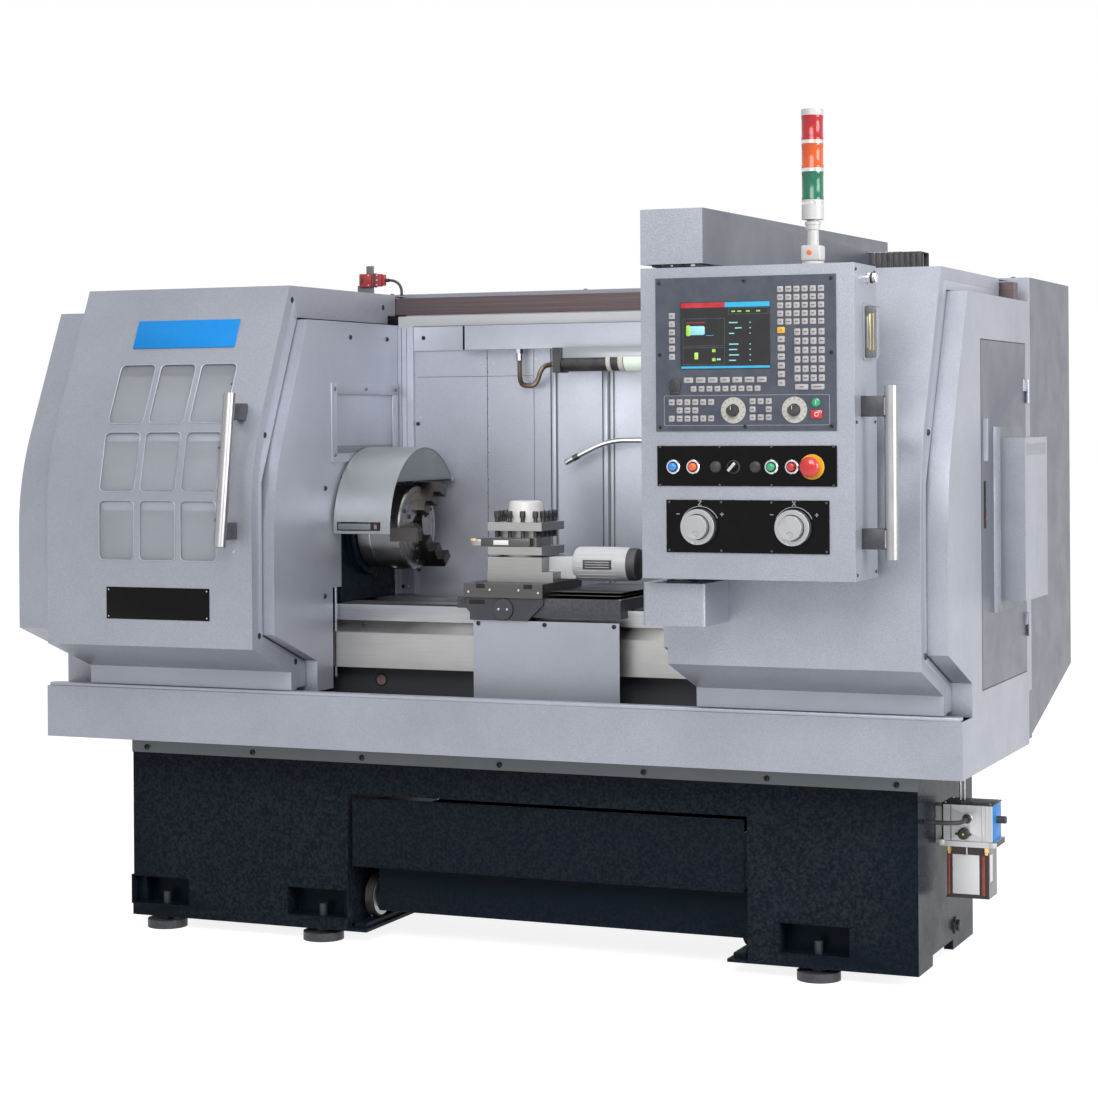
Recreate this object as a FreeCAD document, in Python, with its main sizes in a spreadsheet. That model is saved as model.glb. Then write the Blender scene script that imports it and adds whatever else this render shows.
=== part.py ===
"""Flat bed turning lathe with sliding doors, a swivelling control pendant and a coolant tank.

Lengths are millimetres. The machine frame used below has X along the bed, Y from the front of
the chip tray to the rear and Z up from the floor, with X = 0 midway between the tray's ends.
Every node is moved by the same shift, so that the finished part stands centred on its origin.
"""
import FreeCAD
import Part
import Sketcher
import math
import os

Vector = FreeCAD.Vector
Rotation = FreeCAD.Rotation

doc = FreeCAD.newDocument("flat_bed_lathe")
sheet = doc.addObject("Spreadsheet::Sheet", "dims")

# alias, value, what it measures
SIZES = (
    ("lathe_length", 2500, "chip tray, end to end"),
    ("tray_depth", 720, "chip tray, front to rear"),
    ("tray_bottom", 534, "underside of the tray above the floor"),
    ("tray_top", 670, "rim of the tray above the floor"),
    ("sheet_gauge", 3, "folded sheet metal"),
    ("rim_fold", 14, "folded rim of the tray"),
    ("strip_drop", 57, "strip that bolts the tray to the base"),
    ("drain_radius", 45, "coolant drain in the tray"),
    ("drain_x", 110, "drain, from the centre"),
    ("drain_y", 645, "drain, from the tray front"),
    # base casting
    ("base_inset", 154, "tray end to base end"),
    ("base_front", 181, "front face of the base"),
    ("base_rear", 735, "rear face of the base"),
    ("base_wall", 24, "wall of the hollow casting"),
    ("foot_gap", 32, "base underside above the floor"),
    ("bay_left", 440, "left end of the tank bay"),
    ("bay_right", 665, "right end of the tank bay"),
    ("bay_top", 394, "roof of the tank bay"),
    ("pocket_width", 176, "levelling pocket"),
    ("pocket_height", 74, "levelling pocket"),
    ("pocket_sill", 64, "bottom of a levelling pocket"),
    ("pocket_depth", 62, "depth of a levelling pocket"),
    ("outer_foot_inset", 84, "outer feet from the base ends"),
    ("bay_foot_inset", 92, "inner feet from the tank bay"),
    ("foot_edge", 36, "feet from the base front and rear"),
    ("foot_radius", 54, "levelling pad"),
    ("pad_height", 22, "levelling pad"),
    ("bolt_radius", 11, "levelling bolt"),
    ("toe_width", 54, "plates at the foot of the bay"),
    ("toe_height", 8, "plates at the foot of the bay"),
    ("arch_front", 317, "opening under the base ends"),
    ("arch_rear", 521, "opening under the base ends"),
    ("arch_height", 26, "opening under the base ends"),
    # coolant tank
    ("tank_gap", 10, "tank to the bay"),
    ("tank_front", 188, "front of the tank panel"),
    ("tank_rear", 690, "rear of the tank"),
    ("tank_panel_bottom", 203, "lower edge of the tank's front panel"),
    ("tank_wheel_radius", 57, "tank wheels"),
    ("tank_wheel_behind", 117, "tank wheels behind the panel"),
    ("tank_rail_height", 12, "rails under the tank wheels"),
    ("tank_floor", 82, "underside of the tank"),
    ("tank_setback", 48, "tank body behind its front panel"),
    # enclosure
    ("opening_left", 484, "left wall of the work space"),
    ("opening_right", 564, "right wall of the work space"),
    ("opening_rear", 600, "rear wall of the work space"),
    ("guard_rear", 750, "rear edge of the end guards"),
    ("guard_top", 1671, "roof of the end guards"),
    ("guard_roof_front", 78, "front edge of that roof"),
    ("guard_bulge", 128, "guard front ahead of the tray"),
    ("guard_knee", 1223, "height where the slope starts"),
    ("guard_chin", 835, "lower edge of the bulge"),
    ("guard_skirt", 100, "skirt below the bulge"),
    ("guard_skirt_top", 750, "top of that skirt"),
    ("guard_foot", 670, "lower edge of the skirt"),
    ("knee_radius", 620, "bend of guard and door fronts"),
    ("wall_top", 1640, "top of the inner side walls"),
    ("roof_slot", 46, "gap in the guard roof for the door's end"),
    # doors
    ("door_width", 607, "each sliding door"),
    ("door_park", 31, "open door back from the opening"),
    ("door_meet", 2, "gap between the closed doors"),
    ("door_bulge", 186, "door front ahead of the tray"),
    ("door_top", 1727, "roof of the doors"),
    ("door_roof_front", 22, "front edge of that roof"),
    ("door_roof_rear", 716, "rear edge of that roof"),
    ("door_knee", 1275, "height where the slope starts"),
    ("door_chin", 802, "lower edge of the bulge"),
    ("door_skirt", 16, "skirt below the bulge"),
    ("door_skirt_top", 727, "top of that skirt"),
    ("door_foot", 680, "lower edge of the skirt"),
    ("door_flange", 30, "folded edges at the door ends"),
    ("gable_drop", 82, "end plate under the door roof"),
    ("window_left", 158, "first window from the door's outer edge"),
    ("window_bottom", 1022, "lowest window"),
    ("window_width", 105, "one window"),
    ("window_height", 153, "one window"),
    ("window_pitch_x", 121, "window columns"),
    ("window_pitch_z", 175, "window rows"),
    ("window_corner", 14, "corner radius of a window"),
    ("glazing", 5, "window sheet"),
    # door rail and header
    ("rail_bottom", 1671, "underside of the door rail"),
    ("rail_height", 47, "door rail"),
    ("rail_front", 640, "front of the door rail"),
    ("rail_depth", 50, "door rail"),
    ("rail_inset", 16, "rail ends from the tray ends"),
    ("hanger_gap", 0.3, "hangers above the rail"),
    ("hanger_length", 60, "door hangers"),
    ("header_bottom", 1568, "header box"),
    ("header_top", 1634, "header box"),
    ("header_front", 560, "header box"),
    ("header_left", 266, "left end of the header box"),
    ("white_rail_top", 1664, "painted rail over the header"),
    ("post_width", 48, "corner posts"),
    ("post_depth", 15, "corner posts"),
    # rear cabinet
    ("cabinet_front", 754, "electrical cabinet"),
    ("cabinet_rear", 1272, "electrical cabinet"),
    ("cabinet_top", 1735, "electrical cabinet"),
    ("cabinet_rear_bottom", 693, "electrical cabinet"),
    ("bar_hole", 46, "hole for bar stock through the left guard"),
    ("cabinet_door_proud", 10, "cabinet doors and their louvres"),
    ("cabinet_door_rim", 34, "cabinet edge to its doors"),
    ("louvre_height", 14, "one louvre"),
    ("louvre_pitch", 30, "louvres, one above the other"),
    # service door on the right end
    ("side_door_front", 205, "service door"),
    ("side_door_rear", 696, "service door"),
    ("side_door_bottom", 724, "service door"),
    ("side_door_top", 1560, "service door"),
    ("side_gap", 2.5, "gap round the service door"),
    ("side_box_proud", 66, "box on the service door"),
    ("side_box_front", 385, "box on the service door"),
    ("side_box_rear", 643, "box on the service door"),
    ("side_box_bottom", 925, "box on the service door"),
    ("side_box_top", 1324, "box on the service door"),
    ("side_flange", 48, "flange round that box"),
    # spindle and bed
    ("spindle_y", 400, "spindle axis behind the tray front"),
    ("spindle_z", 1088, "spindle axis above the floor"),
    ("bed_top", 893, "ground ways"),
    ("bed_width", 300, "bed across the ways"),
    ("bed_inset", 190, "bed ends from the tray ends"),
    ("way_width", 84, "one ground way"),
    ("way_lip", 45, "ground edge of a way"),
    ("bed_wall", 46, "bed side walls"),
    ("bed_flange", 35, "foot of the bed"),
    ("screw_out", 25, "feed screw ahead of the bed"),
    ("screw_z", 770, "feed screw"),
    ("screw_radius", 16, "feed screw"),
    ("cover_out", 50, "screw cover ahead of the bed"),
    ("cover_bottom", 726, "cover over the feed screw"),
    ("cover_brow", 818, "cover over the feed screw"),
    ("running_gap", 0.05, "radial clearance of shafts"),
    ("slide_gap", 0.3, "clearance of sliding faces"),
    ("head_left", 1045, "left end of the headstock"),
    ("head_width", 316, "headstock across the bed"),
    ("head_top", 1226, "top of the headstock"),
    ("cap_radius", 130, "bearing cap"),
    ("cap_thickness", 18, "bearing cap"),
    ("spindle_radius", 52, "spindle barrel"),
    ("nose_radius", 75, "spindle nose"),
    ("spindle_bore", 32.5, "bar passage"),
    # chuck
    ("chuck_radius", 114, "three jaw chuck"),
    ("chuck_face", 336, "chuck face left of the centre"),
    ("chuck_length", 126, "three jaw chuck"),
    ("jaw_width", 38, "chuck jaw"),
    ("jaw_depth", 24, "jaw slot in the chuck face"),
    ("jaw_inner", 42, "jaw, from the axis"),
    ("jaw_outer", 122, "jaw, from the axis"),
    ("jaw_reach", 58, "jaw ahead of the chuck face"),
    ("chuck_guard_radius", 216, "hinged chuck guard"),
    ("chuck_guard_right", 312, "right rim of the chuck guard"),
    ("chuck_guard_left", 478, "left rim of the chuck guard"),
    # carriage
    ("carriage_x", 28, "cross slide axis"),
    ("saddle_left", 105, "saddle, left of the centre"),
    ("saddle_right", 345, "saddle, right of the centre"),
    ("saddle_top", 921, "saddle"),
    ("saddle_out", 95, "saddle ahead of the bed"),
    ("saddle_behind", 6, "saddle behind the bed"),
    ("motor_gap", 9, "spindle motor from the bed end"),
    ("apron_left", 59, "apron panel, left of the centre"),
    ("apron_right", 342, "apron panel"),
    ("apron_bottom", 656, "apron panel"),
    ("cross_half", 110, "half width of the cross slide"),
    ("cross_top", 958, "cross slide"),
    ("cross_front", 142, "cross slide"),
    ("cross_rear", 418, "cross slide"),
    ("turret_x", 30, "turret axis"),
    ("turret_y", 291, "turret axis"),
    ("turret_side", 152, "square turret"),
    ("turret_base_top", 1022, "fixed part of the turret"),
    ("turret_floor", 26, "lower plate of the turret head"),
    ("tool_slot", 41, "tool slot"),
    ("turret_plate", 22, "upper plate of the turret head"),
    ("turret_core", 50, "half width of the turret core"),
    ("tool_shank", 22, "square tool shank"),
    ("tool_tip", 95, "tool point left of the centre"),
    ("turret_motor_radius", 44, "turret motor"),
    ("turret_motor_left", 164, "turret motor"),
    ("turret_motor_right", 348, "turret motor"),
    # tailstock
    ("tail_left", 600, "tailstock body"),
    ("tail_length", 280, "tailstock body"),
    ("quill_radius", 37.5, "tailstock quill"),
    ("quill_nose", 575, "quill end"),
    # pendant
    ("arm_left", 2, "arm from the door's inner edge"),
    ("arm_width", 150, "pendant arms"),
    ("arm_front", 355, "front of both arms ahead of the tray"),
    ("pivot_in", 77, "pivot from the door's inner edge"),
    ("pivot_y", 300, "pivot ahead of the tray front"),
    ("pivot_radius", 18, "pivot pins"),
    ("pendant_in", 19, "pendant from the door's inner edge"),
    ("pendant_width", 498, "pendant box"),
    ("pendant_front", 400, "pendant face ahead of the tray"),
    ("pendant_depth", 181, "pendant box"),
    ("pendant_bottom", 1016, "pendant box"),
    ("pendant_top", 1716, "pendant box"),
    ("upper_arm_bottom", 1727, "upper arm at its front end"),
    ("upper_arm_rise", 17, "rise of the upper arm to the rear"),
    ("upper_arm_height", 126, "upper arm"),
    ("upper_arm_rear", 1225, "rear end of the upper arm"),
    ("lower_arm_bottom", 905, "lower arm"),
    ("lower_arm_top", 1003, "lower arm"),
    ("panel_plate", 4, "plates on the pendant face"),
    ("knob_reach", 40, "handwheels ahead of the pendant face"),
    ("handwheel_radius", 40, "electronic handwheels"),
    ("button_radius", 13, "push buttons"),
    ("button_reach", 16, "push buttons"),
    ("button_hole", 13.09, "holes for the push buttons"),
    ("stop_radius", 20, "emergency stop"),
    ("dial_radius", 13, "dials on the control panel"),
    ("light_radius", 25, "signal light"),
    ("handle_radius", 15, "door and pendant handles"),
    ("handle_length", 385, "door and pendant handles"),
    ("handle_bottom", 1062, "door and pendant handles"),
    ("handle_standoff", 64, "pendant handle from its panel"),
    ("door_handle_low", 64, "door handle from the door, low end"),
    ("door_handle_high", 88, "door handle from the door, high end"),
    # lubricator
    ("lube_gap", 22, "lubricator from the base end"),
    ("lube_width", 124, "lubricator"),
    ("lube_front", 330, "lubricator"),
    ("lube_depth", 96, "lubricator"),
    ("lube_head_bottom", 332, "lubricator"),
    ("lube_head_top", 430, "lubricator"),
    ("lube_tank_bottom", 200, "lubricator"),
)


def fill_sheet():
    """One row for each driving size: name, value and meaning."""
    for row, (alias, value, note) in enumerate(SIZES, start=1):
        sheet.set(f"A{row}", alias)
        sheet.set(f"B{row}", str(value))
        sheet.setAlias(f"B{row}", alias)
        sheet.set(f"C{row}", note)
    doc.recompute()


class Size:
    """A length that knows its value and the sheet expression it comes from."""

    def __init__(self, value, text):
        self.value = float(value)
        self.text = text

    def __add__(self, other):
        other = size(other)
        return Size(self.value + other.value, f"({self.text} + {other.text})")

    def __sub__(self, other):
        other = size(other)
        return Size(self.value - other.value, f"({self.text} - {other.text})")

    def __mul__(self, other):
        other = size(other)
        return Size(self.value * other.value, f"({self.text} * {other.text})")

    def __truediv__(self, other):
        other = size(other)
        return Size(self.value / other.value, f"({self.text} / {other.text})")

    def __neg__(self):
        return Size(-self.value, f"(0 - {self.text})")

    def __radd__(self, other):
        return size(other) + self

    def __rsub__(self, other):
        return size(other) - self

    def __rmul__(self, other):
        return size(other) * self


def size(number):
    """A plain number as a Size."""
    if isinstance(number, Size):
        return number
    return Size(number, f"{float(number):.6g}")


class Dims:
    """The sheet's cells by alias."""

    def __init__(self):
        for alias, value, _note in SIZES:
            setattr(self, alias, Size(value, f"dims.{alias}"))


fill_sheet()
d = Dims()
GAUGE = d.sheet_gauge
HALF = d.lathe_length / 2
BASE_END = HALF - d.base_inset
BED_FRONT = d.spindle_y - d.bed_width / 2
BED_REAR = d.spindle_y + d.bed_width / 2
SCREW_Y = BED_FRONT - d.screw_out
COVER_FRONT = BED_FRONT - d.cover_out
SADDLE_FRONT = BED_FRONT - d.saddle_out
SHIFT_X = d.side_box_proud / 2
SHIFT_Y = (d.cabinet_rear - d.pendant_front - d.knob_reach) / 2
nodes = []


def bind(obj, **properties):
    """Bind properties of a document object to sheet expressions."""
    for name, length in properties.items():
        obj.setExpression(name, size(length).text)


def place(obj, x, y, z, rotation=None):
    """Put a primitive at a point of the machine frame."""
    if rotation is not None:
        obj.Placement = FreeCAD.Placement(Vector(0, 0, 0), rotation)
    obj.setExpression(".Placement.Base.x", (x - SHIFT_X).text)
    obj.setExpression(".Placement.Base.y", (y - SHIFT_Y).text)
    obj.setExpression(".Placement.Base.z", size(z).text)


def node(name, obj):
    """Name a finished sub-part and keep it for export."""
    obj.Label = name
    nodes.append(obj)
    return obj


def block(name, x, y, z):
    """A box given by its spans (low, high) along X, Y and Z."""
    low = [size(span[0]) for span in (x, y, z)]
    high = [size(span[1]) for span in (x, y, z)]
    obj = doc.addObject("Part::Box", name)
    bind(obj, Length=high[0] - low[0], Width=high[1] - low[1], Height=high[2] - low[2])
    place(obj, *low)
    return obj


TURN_TO = {
    "X": Rotation(Vector(0, 1, 0), 90),
    "Y": Rotation(Vector(1, 0, 0), -90),
    "Z": Rotation(),
}


def rod(name, axis, start, length, radius):
    """A cylinder that runs from the point start along +axis."""
    obj = doc.addObject("Part::Cylinder", name)
    bind(obj, Radius=radius, Height=length)
    place(obj, *(size(part) for part in start), rotation=TURN_TO[axis])
    return obj


def taper(name, axis, start, length, first_radius, last_radius):
    """A cone that runs from the point start along +axis."""
    obj = doc.addObject("Part::Cone", name)
    bind(obj, Radius1=first_radius, Radius2=last_radius, Height=length)
    place(obj, *(size(part) for part in start), rotation=TURN_TO[axis])
    return obj


def fuse(name, *solids):
    """Join solids that are one casting or one folded sheet."""
    obj = doc.addObject("Part::MultiFuse", name)
    obj.Shapes = list(solids)
    return obj


def group(name, *solids):
    """Separate solids that share a node."""
    obj = doc.addObject("Part::Compound", name)
    obj.Links = list(solids)
    return obj


def cut(name, base, *tools):
    """Cut tools out of a solid."""
    obj = doc.addObject("Part::Cut", name)
    obj.Base = base
    obj.Tool = tools[0] if len(tools) == 1 else fuse(name + "_tools", *tools)
    return obj


def new_body(name):
    """A body in the machine frame."""
    body = doc.addObject("PartDesign::Body", name)
    place(body, size(0), size(0), size(0))
    return body


def origin_plane(body, role):
    return next(part for part in body.Origin.OriginFeatures if part.Role == role)


def polygon(sketch, points):
    """A closed outline whose corners are tied to the sketch's origin."""
    count = len(points)
    corners = [(size(u), size(v)) for u, v in points]
    for index in range(count):
        here = corners[index]
        there = corners[(index + 1) % count]
        start = Vector(here[0].value, here[1].value, 0)
        end = Vector(there[0].value, there[1].value, 0)
        sketch.addGeometry(Part.LineSegment(start, end), False)
    for index in range(count):
        sketch.addConstraint(Sketcher.Constraint("Coincident", index, 2, (index + 1) % count, 1))
    for index, (across, up) in enumerate(corners):
        tie(sketch, "DistanceX", index, across)
        tie(sketch, "DistanceY", index, up)


def tie(sketch, kind, index, distance):
    """Hold one corner at a bound distance from the sketch's origin."""
    if distance.value == 0:
        axis = -2 if kind == "DistanceX" else -1
        sketch.addConstraint(Sketcher.Constraint("PointOnObject", index, 1, axis))
        return
    rule = sketch.addConstraint(Sketcher.Constraint(kind, -1, 1, index, 1, distance.value))
    sketch.setExpression(f"Constraints[{rule}]", distance.text)


# Sketch axes and normal of each origin plane, and how a span along the normal is reached.
PLANES = {
    "X": ("YZ_Plane", 1),
    "Y": ("XZ_Plane", -1),
    "Z": ("XY_Plane", 1),
}


def profile(body, name, axis, points, start):
    """An outline square to the axis. Its corners are (Y, Z), (X, Z) or (X, Y)."""
    role, sign = PLANES[axis]
    sketch = body.newObject("Sketcher::SketchObject", name)
    sketch.AttachmentSupport = (origin_plane(body, role), [""])
    sketch.MapMode = "FlatFace"
    polygon(sketch, points)
    sketch.setExpression(".AttachmentOffset.Base.z", (size(start) * sign).text)
    return sketch


def pad(body, name, axis, points, span):
    """Extrude an outline over a span (low, high) of the axis."""
    low, high = size(span[0]), size(span[1])
    start = high if axis == "Y" else low
    feature = body.newObject("PartDesign::Pad", name)
    feature.Profile = profile(body, name + "_outline", axis, points, start)
    bind(feature, Length=high - low)
    return feature


def pocket(body, name, axis, points, span):
    """Remove an outline over a span (low, high) of the axis."""
    low, high = size(span[0]), size(span[1])
    start = low if axis == "Y" else high
    feature = body.newObject("PartDesign::Pocket", name)
    feature.Profile = profile(body, name + "_outline", axis, points, start)
    bind(feature, Length=high - low)
    return feature


def edges_at(shape, test):
    return [f"Edge{index}" for index, edge in enumerate(shape.Edges, start=1) if test(edge)]


def faces_at(shape, test):
    return [f"Face{index}" for index, face in enumerate(shape.Faces, start=1) if test(face)]


def bend(body, feature, name, y, z, radius):
    """Round the edge that runs along X through (Y, Z)."""
    doc.recompute()

    def on_corner(edge):
        middle = edge.CenterOfMass
        return abs(middle.y - size(y).value) < 1 and abs(middle.z - size(z).value) < 1

    fillet = body.newObject("PartDesign::Fillet", name)
    fillet.Base = (feature, edges_at(feature.Shape, on_corner))
    bind(fillet, Radius=radius)
    return fillet


def hollow(body, feature, name, opening, wall):
    """Leave a wall of even thickness, open at the faces that pass the test."""
    doc.recompute()
    shell = body.newObject("PartDesign::Thickness", name)
    shell.Base = (feature, faces_at(feature.Shape, opening))
    shell.Reversed = True
    bind(shell, Value=wall)
    return shell


def turned(name, axis, centre, points):
    """A turned body. Points are (distance along the axis, radius) from the centre."""
    cx, cy, cz = (size(part) for part in centre)
    body = new_body(name)
    sketch = body.newObject("Sketcher::SketchObject", name + "_half")
    role = "YZ_Plane" if axis == "Y" else "XZ_Plane"
    sketch.AttachmentSupport = (origin_plane(body, role), [""])
    sketch.MapMode = "FlatFace"
    if axis == "Z":
        points = [(radius, along) for along, radius in points]
    polygon(sketch, points)
    offsets = (cy, cz, cx) if axis == "Y" else (cx, cz, -cy)
    for letter, offset in zip("xyz", offsets):
        sketch.setExpression(f".AttachmentOffset.Base.{letter}", offset.text)
    spin = body.newObject("PartDesign::Revolution", name + "_turn")
    spin.Profile = sketch
    spin.ReferenceAxis = (sketch, ["V_Axis" if axis == "Z" else "H_Axis"])
    spin.Angle = 360
    return body


def tube_along(name, points, radius, bend_share=0.45):
    """A round tube along straight runs joined by tangent arcs."""
    spots = [Vector(*(size(part).value for part in point)) for point in points]
    spots = [spot - Vector(SHIFT_X.value, SHIFT_Y.value, 0) for spot in spots]
    edges = []
    last = spots[0]
    for before, corner, after in zip(spots, spots[1:], spots[2:]):
        into = (corner - before).normalize()
        out = (after - corner).normalize()
        trim = bend_share * min((corner - before).Length, (after - corner).Length)
        start = corner - into * trim
        end = corner + out * trim
        half_turn = into.getAngle(out) / 2
        bulge = trim * math.tan(half_turn) * math.tan(half_turn / 2)
        chord_middle = (start + end) / 2
        middle = chord_middle + (corner - chord_middle).normalize() * bulge_of(trim, half_turn)
        print(name, "bend radius", round(trim / math.tan(half_turn), 1), "check", round(bulge, 2))
        edges.append(Part.LineSegment(last, start).toShape())
        edges.append(Part.Arc(start, middle, end).toShape())
        last = end
    edges.append(Part.LineSegment(last, spots[-1]).toShape())
    path = Part.Wire(edges)
    heading = (spots[1] - spots[0]).normalize()
    ring = Part.Wire([Part.makeCircle(size(radius).value, spots[0], heading)])
    tube = path.makePipeShell([ring], True, False)
    expected = math.pi * size(radius).value ** 2 * path.Length
    print(name, "length", round(path.Length, 1), "volume over section", round(tube.Volume / expected, 3))
    obj = doc.addObject("Part::Feature", name)
    obj.Shape = tube
    return obj


def bulge_of(trim, half_turn):
    """Height of a tangent arc over its chord."""
    radius = trim / math.tan(half_turn)
    return radius * (1 - math.cos(half_turn))


# ---------------------------------------------------------------- base, feet, tray and tank


def foot_places():
    """Centres of the levelling feet, front row then rear row."""
    columns = (
        -BASE_END + d.outer_foot_inset,
        -d.bay_left - d.bay_foot_inset,
        BASE_END - d.outer_foot_inset - d.pocket_width,
    )
    rows = (d.base_front + d.foot_edge, d.base_rear - d.foot_edge)
    return [(x, y) for y in rows for x in columns]


def make_base():
    """Hollow casting on two pedestals, with the tank bay and its ceiling between them."""
    body = new_body("base_casting")
    front = [
        (-BASE_END, d.foot_gap),
        (-d.bay_left, d.foot_gap),
        (-d.bay_left, d.bay_top),
        (d.bay_right, d.bay_top),
        (d.bay_right, d.foot_gap),
        (BASE_END, d.foot_gap),
        (BASE_END, d.tray_bottom),
        (-BASE_END, d.tray_bottom),
    ]
    outline = pad(body, "base_outline", "Y", front, (d.base_front, d.base_rear))

    def underside(face):
        middle = face.CenterOfMass
        return abs(middle.z - d.foot_gap.value) < 1

    hollow(body, outline, "base_hollow", underside, d.base_wall)
    tools = []
    for index, (x, y) in enumerate(foot_places()):
        inner = d.base_front - 1 if index < 3 else d.base_rear - d.base_wall - 1
        outer = d.base_front + d.base_wall + 1 if index < 3 else d.base_rear + 1
        half = d.pocket_width / 2
        tools.append(block(
            f"pocket_{index}", (x - half, x + half), (inner, outer),
            (d.pocket_sill, d.pocket_sill + d.pocket_height)))
    tools.append(block(
        "end_arches", (-HALF, HALF), (d.arch_front, d.arch_rear),
        (0, d.foot_gap + d.arch_height)))
    bay = (-d.bay_left, d.bay_right)
    deep = (d.base_front + d.base_wall, d.base_rear - d.base_wall)
    tools.append(block(
        "ceiling_room", bay, deep, (d.bay_top - 1, d.bay_top + d.base_wall + 1)))
    tools.append(rod(
        "base_drain", "Z", (d.drain_x, d.drain_y, d.bay_top + d.base_wall),
        d.tray_bottom - d.bay_top, d.drain_radius + GAUGE))
    plates = []
    linings = []
    toes = []
    for index, (x, y) in enumerate(foot_places()):
        low = d.base_front + 1 if index < 3 else d.base_rear - d.pocket_depth
        high = d.base_front + d.pocket_depth if index < 3 else d.base_rear - 1
        half = d.pocket_width / 2
        shelf = block(
            f"foot_shelf_{index}", (x - half, x + half), (low, high),
            (d.foot_gap, d.pocket_sill))
        hole = rod(
            f"foot_hole_{index}", "Z", (x, y, d.foot_gap - 1),
            d.pocket_sill - d.foot_gap + 2, d.bolt_radius + 1)
        plates.append(cut(f"foot_plate_{index}", shelf, hole))
        wall = 3
        near, far = (low, high + wall) if index < 3 else (low - wall, high)
        lining = block(
            f"pocket_lining_{index}", (x - half - wall, x + half + wall), (near, far),
            (d.pocket_sill - wall, d.pocket_sill + d.pocket_height + wall))
        room = block(
            f"pocket_room_{index}", (x - half, x + half), (low - 2, high)
            if index < 3 else (low, high + 2),
            (d.pocket_sill - wall - 1, d.pocket_sill + d.pocket_height))
        linings.append(cut(f"pocket_wall_{index}", lining, room))
    for side, edge in (("left", -d.bay_left), ("right", d.bay_right - d.toe_width)):
        toes.append(block(
            f"toe_{side}", (edge, edge + d.toe_width),
            (d.base_front, d.base_rear - d.base_wall), (d.foot_gap, d.foot_gap + d.toe_height)))
        toes.append(block(
            f"tank_rail_{side}", (edge + 10, edge + d.toe_width - 10),
            (d.base_front + 20, d.base_rear - d.base_wall - 10),
            (d.foot_gap + d.toe_height, tank_rail_top())))
    casting = cut("base_cut", body, *tools)
    ceiling = cut(
        "bay_ceiling",
        block("ceiling_plate", bay, deep, (d.bay_top, d.bay_top + d.base_wall)),
        rod("ceiling_drain", "Z", (d.drain_x, d.drain_y, d.bay_top - 1), d.base_wall + 2,
            d.drain_radius + GAUGE))
    shell = fuse("base_casting_whole", casting, *plates, *linings)
    node("machine_base", group("base_whole", shell, ceiling, *toes))


def make_feet():
    """Pads on the floor, each with its levelling bolt through the base."""
    pieces = []
    rise = d.pocket_sill + 30
    for index, (x, y) in enumerate(foot_places()):
        pad_body = turned(f"foot_{index}", "Z", (x, y, 0), [
            (0, 0),
            (0, d.foot_radius),
            (d.pad_height, d.foot_radius),
            (d.pad_height, d.bolt_radius),
            (rise, d.bolt_radius),
            (rise, 0),
        ])
        nut = doc.addObject("Part::Prism", f"foot_nut_{index}")
        bind(nut, Circumradius=d.bolt_radius * 1.7, Height=d.bolt_radius)
        place(nut, x, y, d.foot_gap - d.bolt_radius)
        pieces.append(fuse(f"foot_set_{index}", pad_body, nut))
    node("leveling_feet", group("feet_group", *pieces))


def make_tray():
    """Chip tray: floor with its drain, four walls, a folded front rim and the bolting strip."""
    low, floor_top = d.tray_bottom, d.tray_bottom + GAUGE
    floor = cut(
        "tray_floor",
        block("tray_floor_sheet", (-HALF, HALF), (0, d.tray_depth), (low, floor_top)),
        rod("tray_drain", "Z", (d.drain_x, d.drain_y, low - 1), GAUGE + 2, d.drain_radius))
    front = block("tray_front", (-HALF, HALF), (0, GAUGE), (floor_top, d.tray_top))
    rear = block(
        "tray_rear", (-HALF, HALF), (d.tray_depth - GAUGE, d.tray_depth), (floor_top, d.tray_top))
    left = block(
        "tray_left", (-HALF, GAUGE - HALF), (GAUGE, d.tray_depth - GAUGE), (floor_top, d.tray_top))
    right = block(
        "tray_right", (HALF - GAUGE, HALF), (GAUGE, d.tray_depth - GAUGE), (floor_top, d.tray_top))
    rim = block(
        "tray_rim", (GAUGE - HALF, HALF - GAUGE), (GAUGE, d.rim_fold),
        (d.tray_top - GAUGE, d.tray_top))
    strip = block(
        "tray_strip", (-BASE_END, BASE_END), (d.base_front - GAUGE, d.base_front),
        (low - d.strip_drop, low))
    node("chip_tray", group("tray_whole", floor, front, rear, left, right, rim, strip))


def tank_rail_top():
    """Height of the rails that the tank's wheels and glides run on."""
    return d.foot_gap + d.toe_height + d.tank_rail_height


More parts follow.
